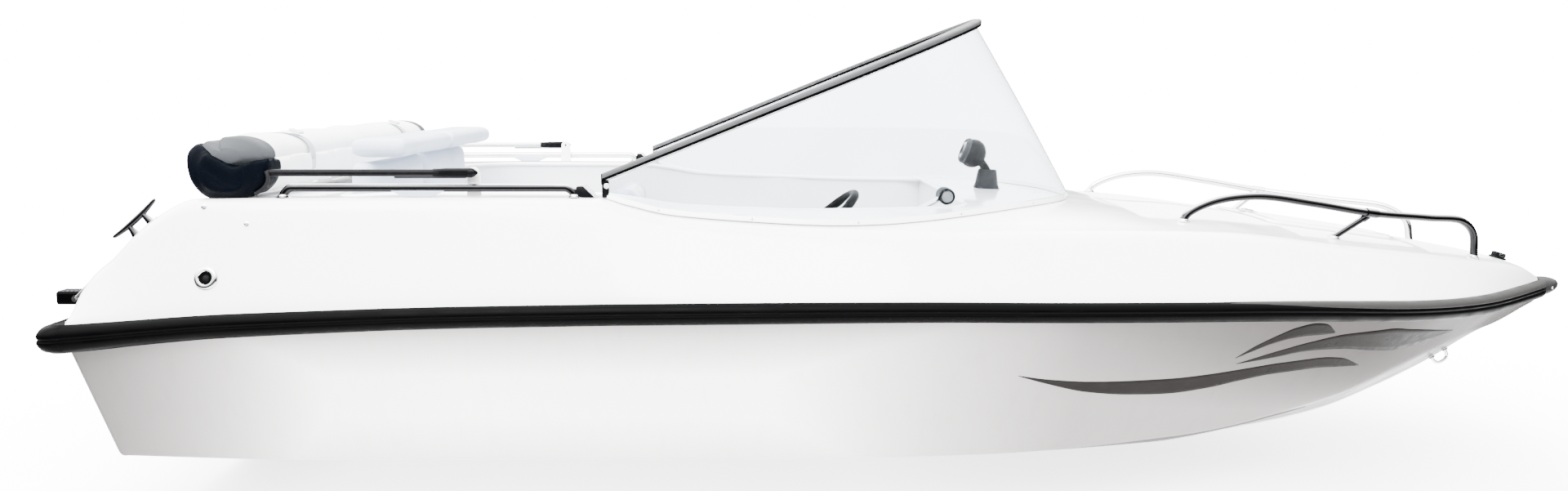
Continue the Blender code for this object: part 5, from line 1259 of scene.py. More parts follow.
def locker():
    """Foredeck locker lid with rolled edges, a gasket, two hinges, a flush latch and the tray below."""
    aft, front = HATCH_AFT_X - 0.035, HATCH_FRONT_X + 0.035

    def half(x):
        return 0.5 * inner_y(x) + 0.022

    rows = []
    for x, pull in rounded_ends(aft, front, 0.032, 44):
        width = half(x) - pull
        row = []
        for t in spread(-1.0, 1.0, 17):
            edge = min((1.0 - abs(t)) * width, x - aft, front - x) / LID_ROLL
            rise = LID_LIFT + 0.0042 * math.sin(0.5 * math.pi * min(1.0, max(0.0, edge)))
            row.append((x, t * width, deck_z(x, t * width) + rise))
        rows.append(row)
    lid = grid("locker_lid_skin", rows, "deck", angle=60.0)
    downward = -1.0 if lid.data.polygons[100].normal.z > 0 else 1.0
    solidify(lid, 0.0048, downward)
    piece(lid, "locker_lid", "deck_white", "anchor_locker_lid")
    rows = []
    for x, pull in rounded_ends(aft + 0.035, front - 0.030, 0.02, 40):
        width = half(x) - 0.030 - pull
        rows.append([(x, y, deck_z(x, y) + 0.0098) for y in spread(-width, width, 12)])
    tread = grid("locker_lid_tread", rows, "tread", angle=60.0)
    solidify(tread, 0.0010, 0.0)
    piece(tread, "locker_lid", "deck_white")
    outline = opening_outline(aft + 0.010, front - 0.010, lambda x: half(x) - 0.010, 0.024, 40)
    seal = sweep("locker_gasket", edge_path(outline, 0.0022), circle(0.0022, 8), "rubber", closed=True)
    piece(seal, "boat", "black_rubber")
    latch = on_deck(1.184, 0.0, 0.0104)
    parts = [block("latch_plate", (0.052, 0.040, 0.004), "steel", 0.0018, 3, moved(latch, 0, 0, 0.002)),
             slab("latch_paddle", rounded_rectangle(0.034, 0.024, 0.006), 0.0035, "steel",
                  moved(latch, 0.001, 0, 0.004), 0.0010),
             turned("latch_ring", [(0.0, 0.0), (0.0062, 0.0), (0.0062, 0.0012), (0.0045, 0.0018),
                                   (0.0, 0.0018)], "black", moved(latch, -0.006, 0, 0.0072), 20)]
    piece(joined("locker_latch", parts), "locker_lid", "stainless", "anchor_locker_latch")
    for side, word in SIDES:
        place = on_deck(front + 0.012, side * 0.085, 0.0012)
        leaf = [slab("leaf", rounded_rectangle(0.020, 0.034, 0.005), 0.0022, "steel", place, 0.0006),
                tube("knuckle", [place @ Vector((-0.010, -0.016, 0.0048)),
                                 place @ Vector((-0.010, 0.016, 0.0048))], 0.0036, "steel", 14, curved=False)]
        piece(joined("locker_hinge_" + word, leaf), "boat", "stainless")
    dress("anchor_locker_tray", "liner")


STUDS = [(-1.788, 0.670), (-1.677, 0.628)]


def snap_studs():
    """Two small canopy studs on each quarter."""
    places = []
    for side in (-1, 1):
        for x, height in STUDS:
            low, high = wall_point(x, 0.0)[1], wall_point(x, 1.0)[1]
            fraction = (height - low) / (high - low)
            y, z = wall_point(x, fraction)
            low_y, low_z = wall_point(x, fraction - 0.1)
            out = Vector((0.0, side * (z - low_z), low_y - y)).normalized()
            places.append(aimed((x, side * y, z), out))
    profile = [(0.0, -0.001), (0.0065, -0.001), (0.0065, 0.0010), (0.0045, 0.0016), (0.0038, 0.0040),
               (0.0044, 0.0052), (0.0030, 0.0064), (0.0, 0.0066)]
    studs = [turned("stud_%d" % k, profile, "steel", matrix, 18) for k, matrix in enumerate(places)]
    piece(joined("canopy_studs", studs), "boat", "stainless")


def side_vent():
    """Round stainless flange with a black mouth."""
    x, fraction = -1.771, 0.33
    y, z = wall_point(x, fraction)
    ahead = wall_point(x + 0.03, fraction)
    behind = wall_point(x - 0.03, fraction)
    high, low = wall_point(x, fraction + 0.1), wall_point(x, fraction - 0.1)
    along = Vector((0.06, behind[0] - ahead[0], ahead[1] - behind[1])).normalized()
    up = Vector((0.0, low[0] - high[0], high[1] - low[1])).normalized()
    out = up.cross(along).normalized()
    if out.y > 0:
        out = -out
    matrix = aimed((x, -y, z), out)
    flange = turned("vent_flange", [(0.0165, -0.001), (0.030, -0.001), (0.030, 0.0022), (0.0275, 0.0050),
                                    (0.0225, 0.0066), (0.0185, 0.0062), (0.0168, 0.0045), (0.0165, 0.0)],
                    "steel", matrix, 48)
    mouth = turned("vent_mouth", [(0.0, -0.0006), (0.0168, -0.0006), (0.0172, 0.0032), (0.0150, 0.0012),
                                  (0.0, 0.0006)], "rubber", matrix, 40)
    hood = turned("vent_ball", [(0.0, 0.0), (0.0085, 0.0), (0.0092, 0.0020), (0.0070, 0.0048), (0.0, 0.0060)],
                  "black", moved(matrix, 0.001, -0.001, 0.0), 28)
    vent = joined("side_vent_ring_starboard", [flange, mouth, hood])
    pair(vent, "boat", "stainless", "side_vent_{}")


# Cockpit and helm

DASH_X = 0.2004
CONSOLE_HALF_WIDTH = 0.12
CONSOLE_ROUNDING = 0.014
WHEEL_CENTRE = (-0.224, -0.360, 0.559)
WHEEL_TILT = math.radians(42.0)
WHEEL_RADIUS = 0.170
WHEEL_RIM_RADIUS = 0.013
COLUMN_LENGTH = 0.090
THROTTLE_BOX_X = (-0.120, -0.030)
THROTTLE_BOX_Z = (0.490, 0.590)
THROTTLE_BOX_DEPTH = 0.042
THROTTLE_PIVOT = (-0.070, 0.570)
THROTTLE_GRIP = (0.137, -0.465, 0.670)
POD_X = 0.345


def dress(node, finish):
    """Give a CAD node a finish in its own material slots."""
    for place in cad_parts[node].material_slots:
        place.material = M[finish]


def wheel_axes():
    """The wheel's axis and the direction up the console's sloping face."""
    return (Vector((-math.sin(WHEEL_TILT), 0.0, math.cos(WHEEL_TILT))),
            Vector((math.cos(WHEEL_TILT), 0.0, math.sin(WHEEL_TILT))))


def on_console(along_face, across, out=0.0):
    """Matrix on the console's face: X to port, Y up the face, Z out of it."""
    axis, up = wheel_axes()
    port = up.cross(axis)
    made = Matrix((port, up, axis)).transposed().to_4x4()
    made.translation = (Vector(WHEEL_CENTRE) - axis * COLUMN_LENGTH + up * along_face
                        + port * across + axis * out)
    return made


def gauge(name, matrix, radius):
    """A round dial with a bezel, ticks, a pointer and a boss, and no words."""
    parts = [turned(name + "_bezel", [(radius * 0.80, 0.0), (radius, 0.0), (radius, 0.004),
                                      (radius * 0.93, 0.0062), (radius * 0.84, 0.0060),
                                      (radius * 0.80, 0.0030)], "black", matrix, 48),
             rod(name + "_face", 0.0, 0.0016, radius * 0.82, "dial", matrix, 40)]
    for k in range(25):
        angle = math.radians(225.0 - 11.25 * k)
        long = k % 4 == 0
        size = (radius * (0.16 if long else 0.09), radius * (0.030 if long else 0.016), 0.0005)
        reach = radius * (0.68 if long else 0.715)
        turn = matrix @ Matrix.Rotation(angle, 4, "Z")
        parts.append(block("%s_tick_%d" % (name, k), size, "tick", 0.0, 1, moved(turn, reach, 0.0, 0.0018)))
    turn = matrix @ Matrix.Rotation(math.radians(205.0), 4, "Z")
    hand = moved(turn, radius * 0.26, 0.0, 0.0030)
    parts.append(block(name + "_hand", (radius * 0.66, radius * 0.045, 0.0008), "tick", 0.0003, 1, hand))
    parts.append(turned(name + "_boss", [(0.0, 0.0016), (radius * 0.10, 0.0016), (radius * 0.09, 0.0040),
                                         (0.0, 0.0044)], "black", matrix, 20))
    return joined(name, parts)


def helm_console():
    """Rounded moulded pod with an inset black panel, two gauges, a switch row and the column's boot."""
    axis, up = wheel_axes()
    face = Vector(WHEEL_CENTRE) - axis * COLUMN_LENGTH
    low, high = face - up * 0.10, face + up * 0.16
    outline = [(low.x, low.z), (DASH_X, 0.36), (DASH_X, 0.628), (high.x + 0.03, high.z + 0.004),
               (high.x, high.z)]
    place = standing(0, WHEEL_CENTRE[1] - CONSOLE_HALF_WIDTH, 0, 1)
    pod = slab("console_body", outline, 2.0 * CONSOLE_HALF_WIDTH, "deck", place)
    round_edges(pod, CONSOLE_ROUNDING, 5, 20.0)
    piece(pod, "boat", "deck_white", "helm_console")
    panel = slab("console_panel", rounded_rectangle(0.200, 0.090, 0.014), 0.0030, "black",
                 on_console(0.098, 0.0), 0.0010)
    piece(panel, "boat", "black_plastic")
    for word, across in (("left", -0.050), ("right", 0.050)):
        piece(gauge("gauge_" + word, on_console(0.100, across, 0.0030), 0.038), "boat", "black_plastic")
    boot = turned("column_boot", [(0.0225, 0.0), (0.040, 0.0), (0.040, 0.003), (0.034, 0.006), (0.035, 0.010),
                                  (0.030, 0.013), (0.031, 0.017), (0.026, 0.020), (0.0225, 0.021)], "rubber",
                  on_console(0.0, 0.0), 36, 60.0)
    piece(boot, "boat", "black_rubber")
    switches = [slab("switch_plate", rounded_rectangle(0.160, 0.034, 0.006), 0.0025, "black",
                     on_console(-0.062, 0.0), 0.0008)]
    for k in range(5):
        across = -0.060 + 0.030 * k
        tilt = Matrix.Rotation(math.radians(8.0 if k % 2 else -8.0), 4, "X")
        switches.append(block("rocker_%d" % k, (0.018, 0.022, 0.008), "grey", 0.0022, 3,
                              on_console(-0.062, across, 0.0045) @ tilt))
        switches.append(block("rocker_mark_%d" % k, (0.008, 0.0014, 0.0008), "tick", 0.0, 1,
                              on_console(-0.056, across, 0.0086) @ tilt))
    piece(joined("switch_row", switches), "boat", "black_plastic")
    heads = [on_console(0.098 + sy * 0.036, sx * 0.092, 0.0030) for sx in (-1, 1) for sy in (-1, 1)]
    piece(screw_heads("console_screws", heads, radius=0.003), "boat", "stainless")


def steering_wheel():
    """Padded rim with finger grips, three dished spokes, a domed hub and the column."""
    wheel = aimed(WHEEL_CENTRE, wheel_axes()[0])
    reach = WHEEL_RADIUS - WHEEL_RIM_RADIUS
    made = bmesh.new()
    rings = []
    steps, sides = 132, 20
    for step in range(steps):
        around = 2.0 * math.pi * step / steps
        out = Vector((math.cos(around), math.sin(around), 0.0))
        grip = 1.0 - 0.10 * (0.5 + 0.5 * math.cos(around * 22.0))
        ring = []
        for k in range(sides):
            angle = 2.0 * math.pi * k / sides
            size = WHEEL_RIM_RADIUS * (grip if math.cos(angle) < 0.3 else 0.5 * (1.0 + grip))
            ring.append(made.verts.new(out * (reach + size * math.cos(angle))
                                       + Vector((0, 0, size * math.sin(angle)))))
        rings.append(ring)
    for i in range(steps):
        for k in range(sides):
            made.faces.new((rings[i][k], rings[(i + 1) % steps][k], rings[(i + 1) % steps][(k + 1) % sides],
                            rings[i][(k + 1) % sides]))
    parts = [placed(new_object("wheel_rim", made, "rubber", 60.0), wheel)]
    for k in range(3):
        angle = math.radians(90.0 + 120.0 * k)
        out = Vector((math.cos(angle), math.sin(angle), 0.0))
        side = Vector((-out.y, out.x, 0.0))
        rows = []
        for t in spread(0.0, 1.0, 14):
            place = out * (0.022 + (reach - 0.024) * t) + Vector((0, 0, -0.018 * (1.0 - t) ** 1.5))
            half = 0.017 - 0.010 * math.sin(0.5 * math.pi * t) + 0.004 * t ** 4
            rows.append([place + side * (half * a) + Vector((0, 0, 0.0045 * b)) for a, b in circle(1.0, 16)])
        parts.append(placed(grid("wheel_spoke_%d" % k, rows, "steel", close_rows=True, cap=True), wheel))
    parts.append(turned("wheel_hub", [(0.0, -0.040), (0.026, -0.040), (0.030, -0.034), (0.035, -0.012),
                                      (0.0355, 0.000), (0.033, 0.0040), (0.030, 0.0046), (0.0285, 0.0036),
                                      (0.027, 0.0046), (0.014, 0.0058), (0.0, 0.0059)], "black", wheel, 40))
    parts.append(turned("wheel_column", [(0.0, -COLUMN_LENGTH + 0.0006), (0.0200, -COLUMN_LENGTH + 0.0006),
                                         (0.0200, -0.046), (0.017, -0.040), (0.0, -0.040)],
                        "grey", wheel, 32))
    piece(joined("wheel_assembly", parts), "helm_wheel", "black_plastic", "steering_wheel")


def throttle():
    """Side-mounted control box, a bent lever and a ribbed grip with a pale end disc."""
    wall = -inner_y(-0.03) + 0.0009
    x0, x1 = THROTTLE_BOX_X
    z0, z1 = THROTTLE_BOX_Z
    parts = [box_between("control_box", (x0, wall, z0), (x1, wall + THROTTLE_BOX_DEPTH, z1),
                         "black", 0.008, 4)]
    pivot = Vector((THROTTLE_PIVOT[0], wall + THROTTLE_BOX_DEPTH - 0.003, THROTTLE_PIVOT[1] - 0.030))
    face = aimed(pivot, (0, 1, 0))
    parts.append(turned("control_dial", [(0.0, 0.0), (0.031, 0.0), (0.031, 0.005), (0.027, 0.008),
                                         (0.0, 0.008)], "grey", face, 40))
    grip = Vector(THROTTLE_GRIP)
    start = Vector((THROTTLE_PIVOT[0], wall + 0.025, THROTTLE_PIVOT[1]))
    path = [start, start.lerp(grip, 0.3) + Vector((0, 0, 0.004)), start.lerp(grip, 0.7), grip]
    parts.append(tube("control_lever", path, 0.0078, "steel", 16))
    low = aimed((grip.x, -0.500, grip.z), (0, 1, 0))
    profile = [(0.0, 0.0), (0.017, 0.0), (0.0210, 0.0022), (0.0228, 0.006)]
    for k in range(7):
        z = 0.011 + 0.0080 * k
        profile += [(0.0228, z), (0.0208, z + 0.0014), (0.0208, z + 0.0026), (0.0228, z + 0.0040)]
    profile += [(0.0215, 0.0670), (0.018, 0.070), (0.0, 0.070)]
    parts.append(turned("control_grip", profile, "black", low, 40))
    parts.append(turned("control_grip_disc", [(0.0, -0.0003), (0.0152, -0.0003), (0.0150, 0.0010),
                                              (0.0, 0.0010)], "disc", low, 36))
    piece(joined("throttle", parts), "boat", "black_plastic", "throttle_control")


def compass():
    """Ball compass with a collar and a dome, on a bracket over a moulded foot."""
    foot = on_deck(POD_X, 0.0, 0.0006)
    floor = foot.translation
    parts = [turned("pod_foot", [(0.0, 0.0), (0.040, 0.0), (0.040, 0.006), (0.037, 0.012), (0.0315, 0.045),
                                 (0.030, 0.056), (0.027, 0.060), (0.0, 0.060)], "foot", foot, 44)]
    for k, angle in enumerate((0.6, 2.2, 4.0, 5.6)):
        place = moved(foot, 0.0385 * math.cos(angle), 0.0385 * math.sin(angle), 0.0)
        parts.append(turned("pod_lug_%d" % k, [(0.0, 0.0), (0.008, 0.0), (0.008, 0.004), (0.0, 0.005)],
                            "grey", place, 18))
    ball = floor + Vector((-0.045, 0.0, 0.110))
    arm_low = floor + foot.to_3x3() @ Vector((0, 0, 0.052))
    parts.append(tube("pod_arm", [arm_low, arm_low.lerp(ball, 0.45) + Vector((0.004, 0, 0)), ball],
                      0.0135, "black", 18))
    profile = [(0.046 * math.sin(a), -0.046 * math.cos(a)) for a in spread(0.0, math.pi, 25)]
    profile = [(max(r, 0.0) if 0 < k < 24 else 0.0, z * 0.90) for k, (r, z) in enumerate(profile)]
    face = aimed(ball, (-0.93, 0.0, 0.36))
    parts.append(turned("pod_ball", profile, "black", face, 44, 60.0))
    parts.append(turned("pod_collar", [(0.033, 0.022), (0.041, 0.020), (0.0425, 0.026), (0.038, 0.034),
                                       (0.034, 0.036), (0.031, 0.032)], "grey", face, 44))
    parts.append(turned("pod_dome", [(0.0, 0.0405), (0.012, 0.0398), (0.022, 0.0370), (0.031, 0.0315),
                                     (0.031, 0.0290), (0.0, 0.0290)], "dial", face, 40, 60.0))
    for side in (-1, 1):
        knob = aimed(ball + Vector((0, side * 0.036, -0.004)), (0, side, 0))
        parts.append(turned("pod_knob_%d" % side, [(0.0, 0.0), (0.012, 0.0), (0.012, 0.005), (0.010, 0.0075),
                                                   (0.0, 0.008)], "grey", knob, 20))
    piece(joined("compass_pod", parts), "boat", "black_plastic", "instrument_pod")


def dash_trim():
    """A shelf edge and an access door with a latch on the dash."""
    half = inner_y(COCKPIT_FRONT_X) - 0.02
    lip = [Vector((DASH_X - 0.004, y, 0.345)) for y in spread(-half, half, 24)]
    piece(sweep("dash_lower_edge", lip, circle(0.006, 12), "deck"), "boat", "deck_white")
    door = slab("glove_door", rounded_rectangle(0.30, 0.15, 0.025), 0.004, "liner",
                Matrix(((0, 0, -1, DASH_X - 0.0006), (1, 0, 0, 0.23), (0, 1, 0, 0.50), (0, 0, 0, 1))), 0.0012)
    latch = turned("glove_latch", [(0.0, 0.0), (0.013, 0.0), (0.013, 0.003), (0.010, 0.005), (0.0, 0.005)],
                   "black", aimed((DASH_X - 0.0048, 0.23, 0.545), (-1, 0, 0)), 28)
    piece(joined("glove_box", [door, latch]), "boat", "deck_white")


def cockpit():
    for node in ("cockpit_liner_port", "cockpit_liner_starboard", "aft_bulkhead", "forward_bulkhead",
                 "motor_well", "dash_panel"):
        dress(node, "liner")
    dress("cockpit_sole", "sole")
    helm_console()
    steering_wheel()
    throttle()
    compass()
    dash_trim()


# Windscreen: the same lines as the CAD, in finer steps

SCREEN_AFT_X = -0.773
SCREEN_CURVE_X = -0.300
SCREEN_BASE_REACH, SCREEN_BASE_HALF_WIDTH = 0.880, 0.700
SCREEN_TOP_REACH, SCREEN_TOP_HALF_WIDTH = 0.586, 0.694
SCREEN_TOP_AFT_Z = 0.742
SCREEN_TOP_SLOPE = 0.400
SCREEN_RAIL_HALF_HEIGHT = 0.013
SCREEN_STRAIGHT = 0.30
SCREEN_STEPS = 72
ACRYLIC_THICKNESS = 0.005


def screen_line(t, reach, half_width):
    if t < SCREEN_STRAIGHT:
        return SCREEN_AFT_X + (SCREEN_CURVE_X - SCREEN_AFT_X) * t / SCREEN_STRAIGHT, half_width
    angle = 0.5 * math.pi * (t - SCREEN_STRAIGHT) / (1.0 - SCREEN_STRAIGHT)
    return SCREEN_CURVE_X + reach * math.sin(angle), half_width * math.cos(angle)


def screen_points(reach, half_width, height):
    """Points and outward directions round the windscreen, from starboard aft to port aft."""
    half = [screen_line(k / SCREEN_STEPS, reach, half_width) for k in range(SCREEN_STEPS + 1)]
    full = [(x, -y) for x, y in half] + [(x, y) for x, y in reversed(half[:-1])]
    made = []
    for k, (x, y) in enumerate(full):
        before, after = full[max(k - 1, 0)], full[min(k + 1, len(full) - 1)]
        along = Vector((after[0] - before[0], after[1] - before[1], 0.0)).normalized()
        made.append((Vector((x, y, height(x, y))), Vector((along.y, -along.x, 0.0))))
    return made


def screen_base_z(x, y):
    return deck_z(x, y) + 0.0020


def screen_top_z(x, _):
    return SCREEN_TOP_AFT_Z + SCREEN_TOP_SLOPE * (x - SCREEN_AFT_X)


def along_screen(name, points, profile, finish):
    rows = [[place + out * a + Vector((0, 0, b)) for a, b in profile] for place, out in points]
    return grid(name, rows, finish, close_rows=True, cap=True)


def both_sides(half):
    """A closed outline from its right half of (x, z) points."""
    left = [(-x, z) for x, z in half]
    return left[:1] + half + left[:0:-1]


def windscreen():
    """Curved acrylic between a pale bead and a three-part rail, with a post and a knob at both ends."""
    base = screen_points(SCREEN_BASE_REACH, SCREEN_BASE_HALF_WIDTH, screen_base_z)
    top = screen_points(SCREEN_TOP_REACH, SCREEN_TOP_HALF_WIDTH, screen_top_z)
    bead = [(-0.008, 0.0), (0.009, 0.0), (0.0085, 0.003), (0.0045, 0.010), (0.0034, 0.0135),
            (-0.0034, 0.0135), (-0.0045, 0.010), (-0.0075, 0.003)]
    piece(along_screen("screen_gasket", base, bead, "deck"), "boat", "black_rubber", "windscreen_base_trim")
    rows = []
    for (low, low_out), (high, high_out) in zip(base, top):
        foot = low + Vector((0, 0, 0.0140))
        head = high - Vector((0, 0, SCREEN_RAIL_HALF_HEIGHT + 0.0015))
        row = []
        for t in spread(0.0, 1.0, 7):
            out = low_out.lerp(high_out, t).normalized()
            row.append(foot.lerp(head, t) + out * (0.004 * math.sin(math.pi * t)))
        rows.append(row)
    glass = grid("screen_glass", rows, "acrylic", angle=60.0)
    solidify(glass, ACRYLIC_THICKNESS, 0.0)
    shaded(glass, 50.0)
    piece(glass, "boat", "acrylic", "windscreen_glass")
    first, last = top[0], top[-1]
    ends = Vector((-0.014, 0.0, -0.014 * SCREEN_TOP_SLOPE))
    top = [(first[0] + ends, first[1])] + top + [(last[0] + ends, last[1])]
    h = SCREEN_RAIL_HALF_HEIGHT
    upper = both_sides([(0.0145, 0.0), (0.0150, 0.0026), (0.0146, 0.0074), (0.0120, 0.0112), (0.0070, h)])
    strip = both_sides([(0.0140, -0.0072), (0.0142, -0.0040), (0.0140, 0.0)])
    lower = both_sides([(0.0050, -h), (0.0072, -0.0118), (0.0080, -0.0072)])
    parts = [along_screen("rail_" + word, top, profile, finish) for word, profile, finish in
             (("upper", upper, "rail_grey"), ("strip", strip, "rubber"), ("lower", lower, "pale"))]
    aft, high = SCREEN_AFT_X, SCREEN_TOP_AFT_Z
    knob = [(0.0, 0.0), (0.0070, 0.0), (0.0070, 0.0030), (0.0050, 0.0045), (0.0, 0.0045)]
    for side in (-1, 1):
        y = side * 0.6965
        end_y = side * SCREEN_TOP_HALF_WIDTH
        low = deck_z(aft - 0.01, y) + 0.0012
        place = aimed((aft - 0.001, y + side * 0.0088, high - 0.024), (0, side, 0))
        parts += [box_between("rail_post_%d" % side, (aft - 0.0135, y - 0.009, low),
                              (aft + 0.004, y + 0.009, high - 0.010), "black", 0.0022),
                  turned("rail_knob_%d" % side, knob, "pale", place, 20),
                  box_between("rail_end_%d" % side, (aft - 0.0148, end_y - 0.0152, high - 0.0205),
                              (aft - 0.0118, end_y + 0.0152, high + 0.0075), "black", 0.0012)]
    piece(joined("screen_rail", parts), "boat", "aluminium", "windscreen_top_rail")
    heads = []
    for k in range(6, len(base) - 6, 11):
        place, out = base[k]
        heads.append(aimed(place + Vector((0, 0, 0.0062)) + out * 0.0066, out + Vector((0, 0, 0.6))))
    piece(screw_heads("screen_screws", heads, radius=0.0034), "boat", "stainless")


# Rails

TUBE_RADIUS = 0.011
HANDRAIL_Y, HANDRAIL_Z = 0.706, 0.7135
HANDRAIL_AFT_X, HANDRAIL_FORE_X = -1.595, -0.870
SHOE_X = -1.258
SHOE_TOP, SHOE_BOTTOM = 0.072, 0.034
SHOE_WIDTH = 0.020
BOW_RAIL_TOP = [(0.826, 0.449, 0.620), (0.900, 0.442, 0.652), (1.024, 0.430, 0.665), (1.200, 0.402, 0.641),
                (1.384, 0.366, 0.610), (1.600, 0.275, 0.586), (1.750, 0.208, 0.567), (1.804, 0.180, 0.525)]
BOW_RAIL_FEET = [(0.810, 0.450), (1.289, 0.350), (1.816, 0.170)]
BOW_TEE = 4  # the point of the top tube over the middle foot


def rail_foot(name, x, y, radius=0.018):
    """A domed flange on the deck with two screws."""
    place = on_deck(x, y, 0.0008)
    flange = turned(name, [(0.0, 0.0), (radius, 0.0), (radius, 0.0016), (radius * 0.93, 0.0030),
                           (radius * 0.74, 0.0046), (radius * 0.68, 0.0078), (radius * 0.62, 0.0086),
                           (0.0, 0.0086)], "steel", place, 36)
    heads = [moved(place, side * radius * 0.82, 0.0, 0.0030) for side in (-1, 1)]
    return joined(name, [flange, screw_heads(name + "_screws", heads, radius=0.0026)])


def handrails():
    """A straight tube on two feet, with a shoe under its middle and a covered wedge at its front."""
    y = -HANDRAIL_Y
    z = HANDRAIL_Z
    aft_foot, fore_foot = HANDRAIL_AFT_X - 0.010, HANDRAIL_FORE_X + 0.014
    low_aft, low_fore = deck_z(aft_foot, y) + 0.006, deck_z(fore_foot, y) + 0.006
    path = [(aft_foot, y, low_aft), (aft_foot + 0.003, y, low_aft + 0.006),
            (HANDRAIL_AFT_X + 0.006, y, z - 0.0015), (HANDRAIL_AFT_X + 0.030, y, z)]
    path += [(x, y, z) for x in spread(HANDRAIL_AFT_X + 0.08, HANDRAIL_FORE_X - 0.08, 7)]
    path += [(HANDRAIL_FORE_X - 0.030, y, z), (HANDRAIL_FORE_X - 0.004, y, z - 0.0015),
             (fore_foot - 0.003, y, low_fore + 0.006), (fore_foot, y, low_fore)]
    parts = [tube("grab_tube", path, TUBE_RADIUS * 0.98, "tube", 24, 8),
             rail_foot("grab_foot_aft", aft_foot, y, 0.020), rail_foot("grab_foot_fore", fore_foot, y, 0.020)]
    low = deck_z(SHOE_X, y) + 0.0010
    shoe = [(-SHOE_TOP, z - 0.006), (-SHOE_BOTTOM, low), (SHOE_BOTTOM, low), (SHOE_TOP, z - 0.006)]
    place = standing(SHOE_X, y + SHOE_WIDTH / 2.0, 0, -1)
    parts.append(slab("grab_shoe", shoe, SHOE_WIDTH, "vinyl", place, 0.0030))
    upright = standing(0, y + 0.011, 0, -1)
    floor = deck_z(fore_foot, y) + 0.0012
    wedge = [(-0.857, floor), (-0.806, deck_z(-0.806, y) + 0.0012), (-0.834, z + 0.004), (-0.850, z + 0.004)]
    parts.append(slab("grab_end", wedge, 0.022, "black", upright, 0.0025))
    cover = [(-0.8035, deck_z(-0.8035, y) + 0.0012), (-0.796, deck_z(-0.796, y) + 0.0012),
             (-0.828, z + 0.0095), (-0.848, z + 0.0095), (-0.848, z + 0.0045), (-0.833, z + 0.0045)]
    parts.append(slab("grab_end_cover", cover, 0.022, "pale", upright, 0.0015))
    rail = joined("grab_rail_starboard", parts)
    shaded(rail)
    pair(rail, "boat", "stainless", "handrail_{}", bright_port=True)


def bow_rails():
    """A bent tube on three feet, with one upright that meets it at a tee."""
    ends = [on_deck(x, -y, 0.006).translation for x, y in BOW_RAIL_FEET]
    top = [Vector((x, -y, z)) for x, y, z in BOW_RAIL_TOP]
    path = [ends[0]] + top + [ends[2]]
    head = top[BOW_TEE]
    along = (top[BOW_TEE + 1] - top[BOW_TEE - 1]).normalized()
    lean = (head - ends[1]).normalized()
    parts = [tube("bow_tube", path, TUBE_RADIUS * 0.98, "tube", 24, 14),
             tube("bow_stanchion", [ends[1], ends[1].lerp(head, 0.5), head], 0.009, "tube", 20, 4),
             tube("bow_tee", [head - along * 0.020, head, head + along * 0.020], 0.0132, "tube", 24, 4),
             rod("bow_tee_neck", 0.0, 0.018, 0.0118, "tube", aimed(head - lean * 0.030, lean), 24)]
    for k, (x, y) in enumerate(BOW_RAIL_FEET):
        parts.append(rail_foot("bow_foot_%d" % k, x, -y))
    rail = joined("bow_rail_tube_starboard", parts)
    shaded(rail)
    pair(rail, "boat", "stainless", "bow_rail_{}", bright_port=True)


# Soft goods: cloth simulation

CLOTH_VOXEL = 0.008
CUSHION_GRID = 0.05


def simulated(obj, cap, pressure=4.0, frames=20):
    """Swell a closed shape as padded fabric, cap how far its points move, and subdivide it once."""
    finish = obj.data.materials[0]
    remesh = obj.modifiers.new("even faces", "REMESH")
    remesh.mode = "VOXEL"
    remesh.voxel_size = CLOTH_VOXEL
    apply_modifiers(obj)
    obj.data.materials.clear()
    obj.data.materials.append(finish)
    start = np.array([list(v.co) for v in obj.data.vertices])
    cloth = obj.modifiers.new("cloth", "CLOTH")
    cloth.settings.use_pressure = True
    cloth.settings.uniform_pressure_force = pressure
    cloth.settings.effector_weights.gravity = 0.0
    cloth.settings.quality = 4
    cloth.collision_settings.use_collision = False
    scene = bpy.context.scene
    for step in range(1, frames + 1):
        scene.frame_set(step)
    graph = bpy.context.evaluated_depsgraph_get()
    swollen = obj.evaluated_get(graph)
    moved = np.array([list(v.co) for v in swollen.data.vertices])
    obj.modifiers.clear()
    scene.frame_set(1)
    shift = moved - start
    length = np.linalg.norm(shift, axis=1, keepdims=True)
    shift *= np.minimum(1.0, cap / np.maximum(length, 1e-9))
    obj.data.vertices.foreach_set("co", (start + shift).ravel())
    obj.data.update()
    subdivide(obj)
    obj.data.shade_smooth()
    return obj


def soft_box(name, low, high, finish, rounding, waist=0.0):
    """A cushion's cut shape: a box with round edges whose long sides pull in between its corners."""
    middle = (Vector(low) + Vector(high)) / 2.0
    half = (Vector(high) - Vector(low)) / 2.0

    def pull_in(made):
        for axis in range(3):
            for k in range(1, int(2.0 * half[axis] / CUSHION_GRID)):
                normal, place = Vector((0, 0, 0)), Vector(low)
                normal[axis] = 1.0
                place[axis] += CUSHION_GRID * k
                bmesh.ops.bisect_plane(made, geom=made.verts[:] + made.edges[:] + made.faces[:],
                                       plane_co=place, plane_no=normal)
        for vertex in made.verts:
            at = [(vertex.co[k] - middle[k]) / half[k] for k in range(3)]
            for k, other in ((0, 1), (1, 0)):
                pull = waist * (1.0 - at[other] ** 2) * max(0.0, abs(at[k]) - 0.6) / 0.4
                vertex.co[k] -= math.copysign(pull, at[k])

    return reshaped(box_between(name, low, high, finish, rounding, 5), pull_in)


def piping(name, low, high, z, corner):
    """A sewn cord round a cushion's edge at one height."""
    width, depth = high[0] - low[0], high[1] - low[1]
    path = [Vector((low[0] + width / 2.0 + x, low[1] + depth / 2.0 + y, z)) for x, y in
            rounded_rectangle(width, depth, corner, 8)]
    return sweep(name, path, circle(PIPING_RADIUS, 10), "vinyl_white", closed=True)


# Seats

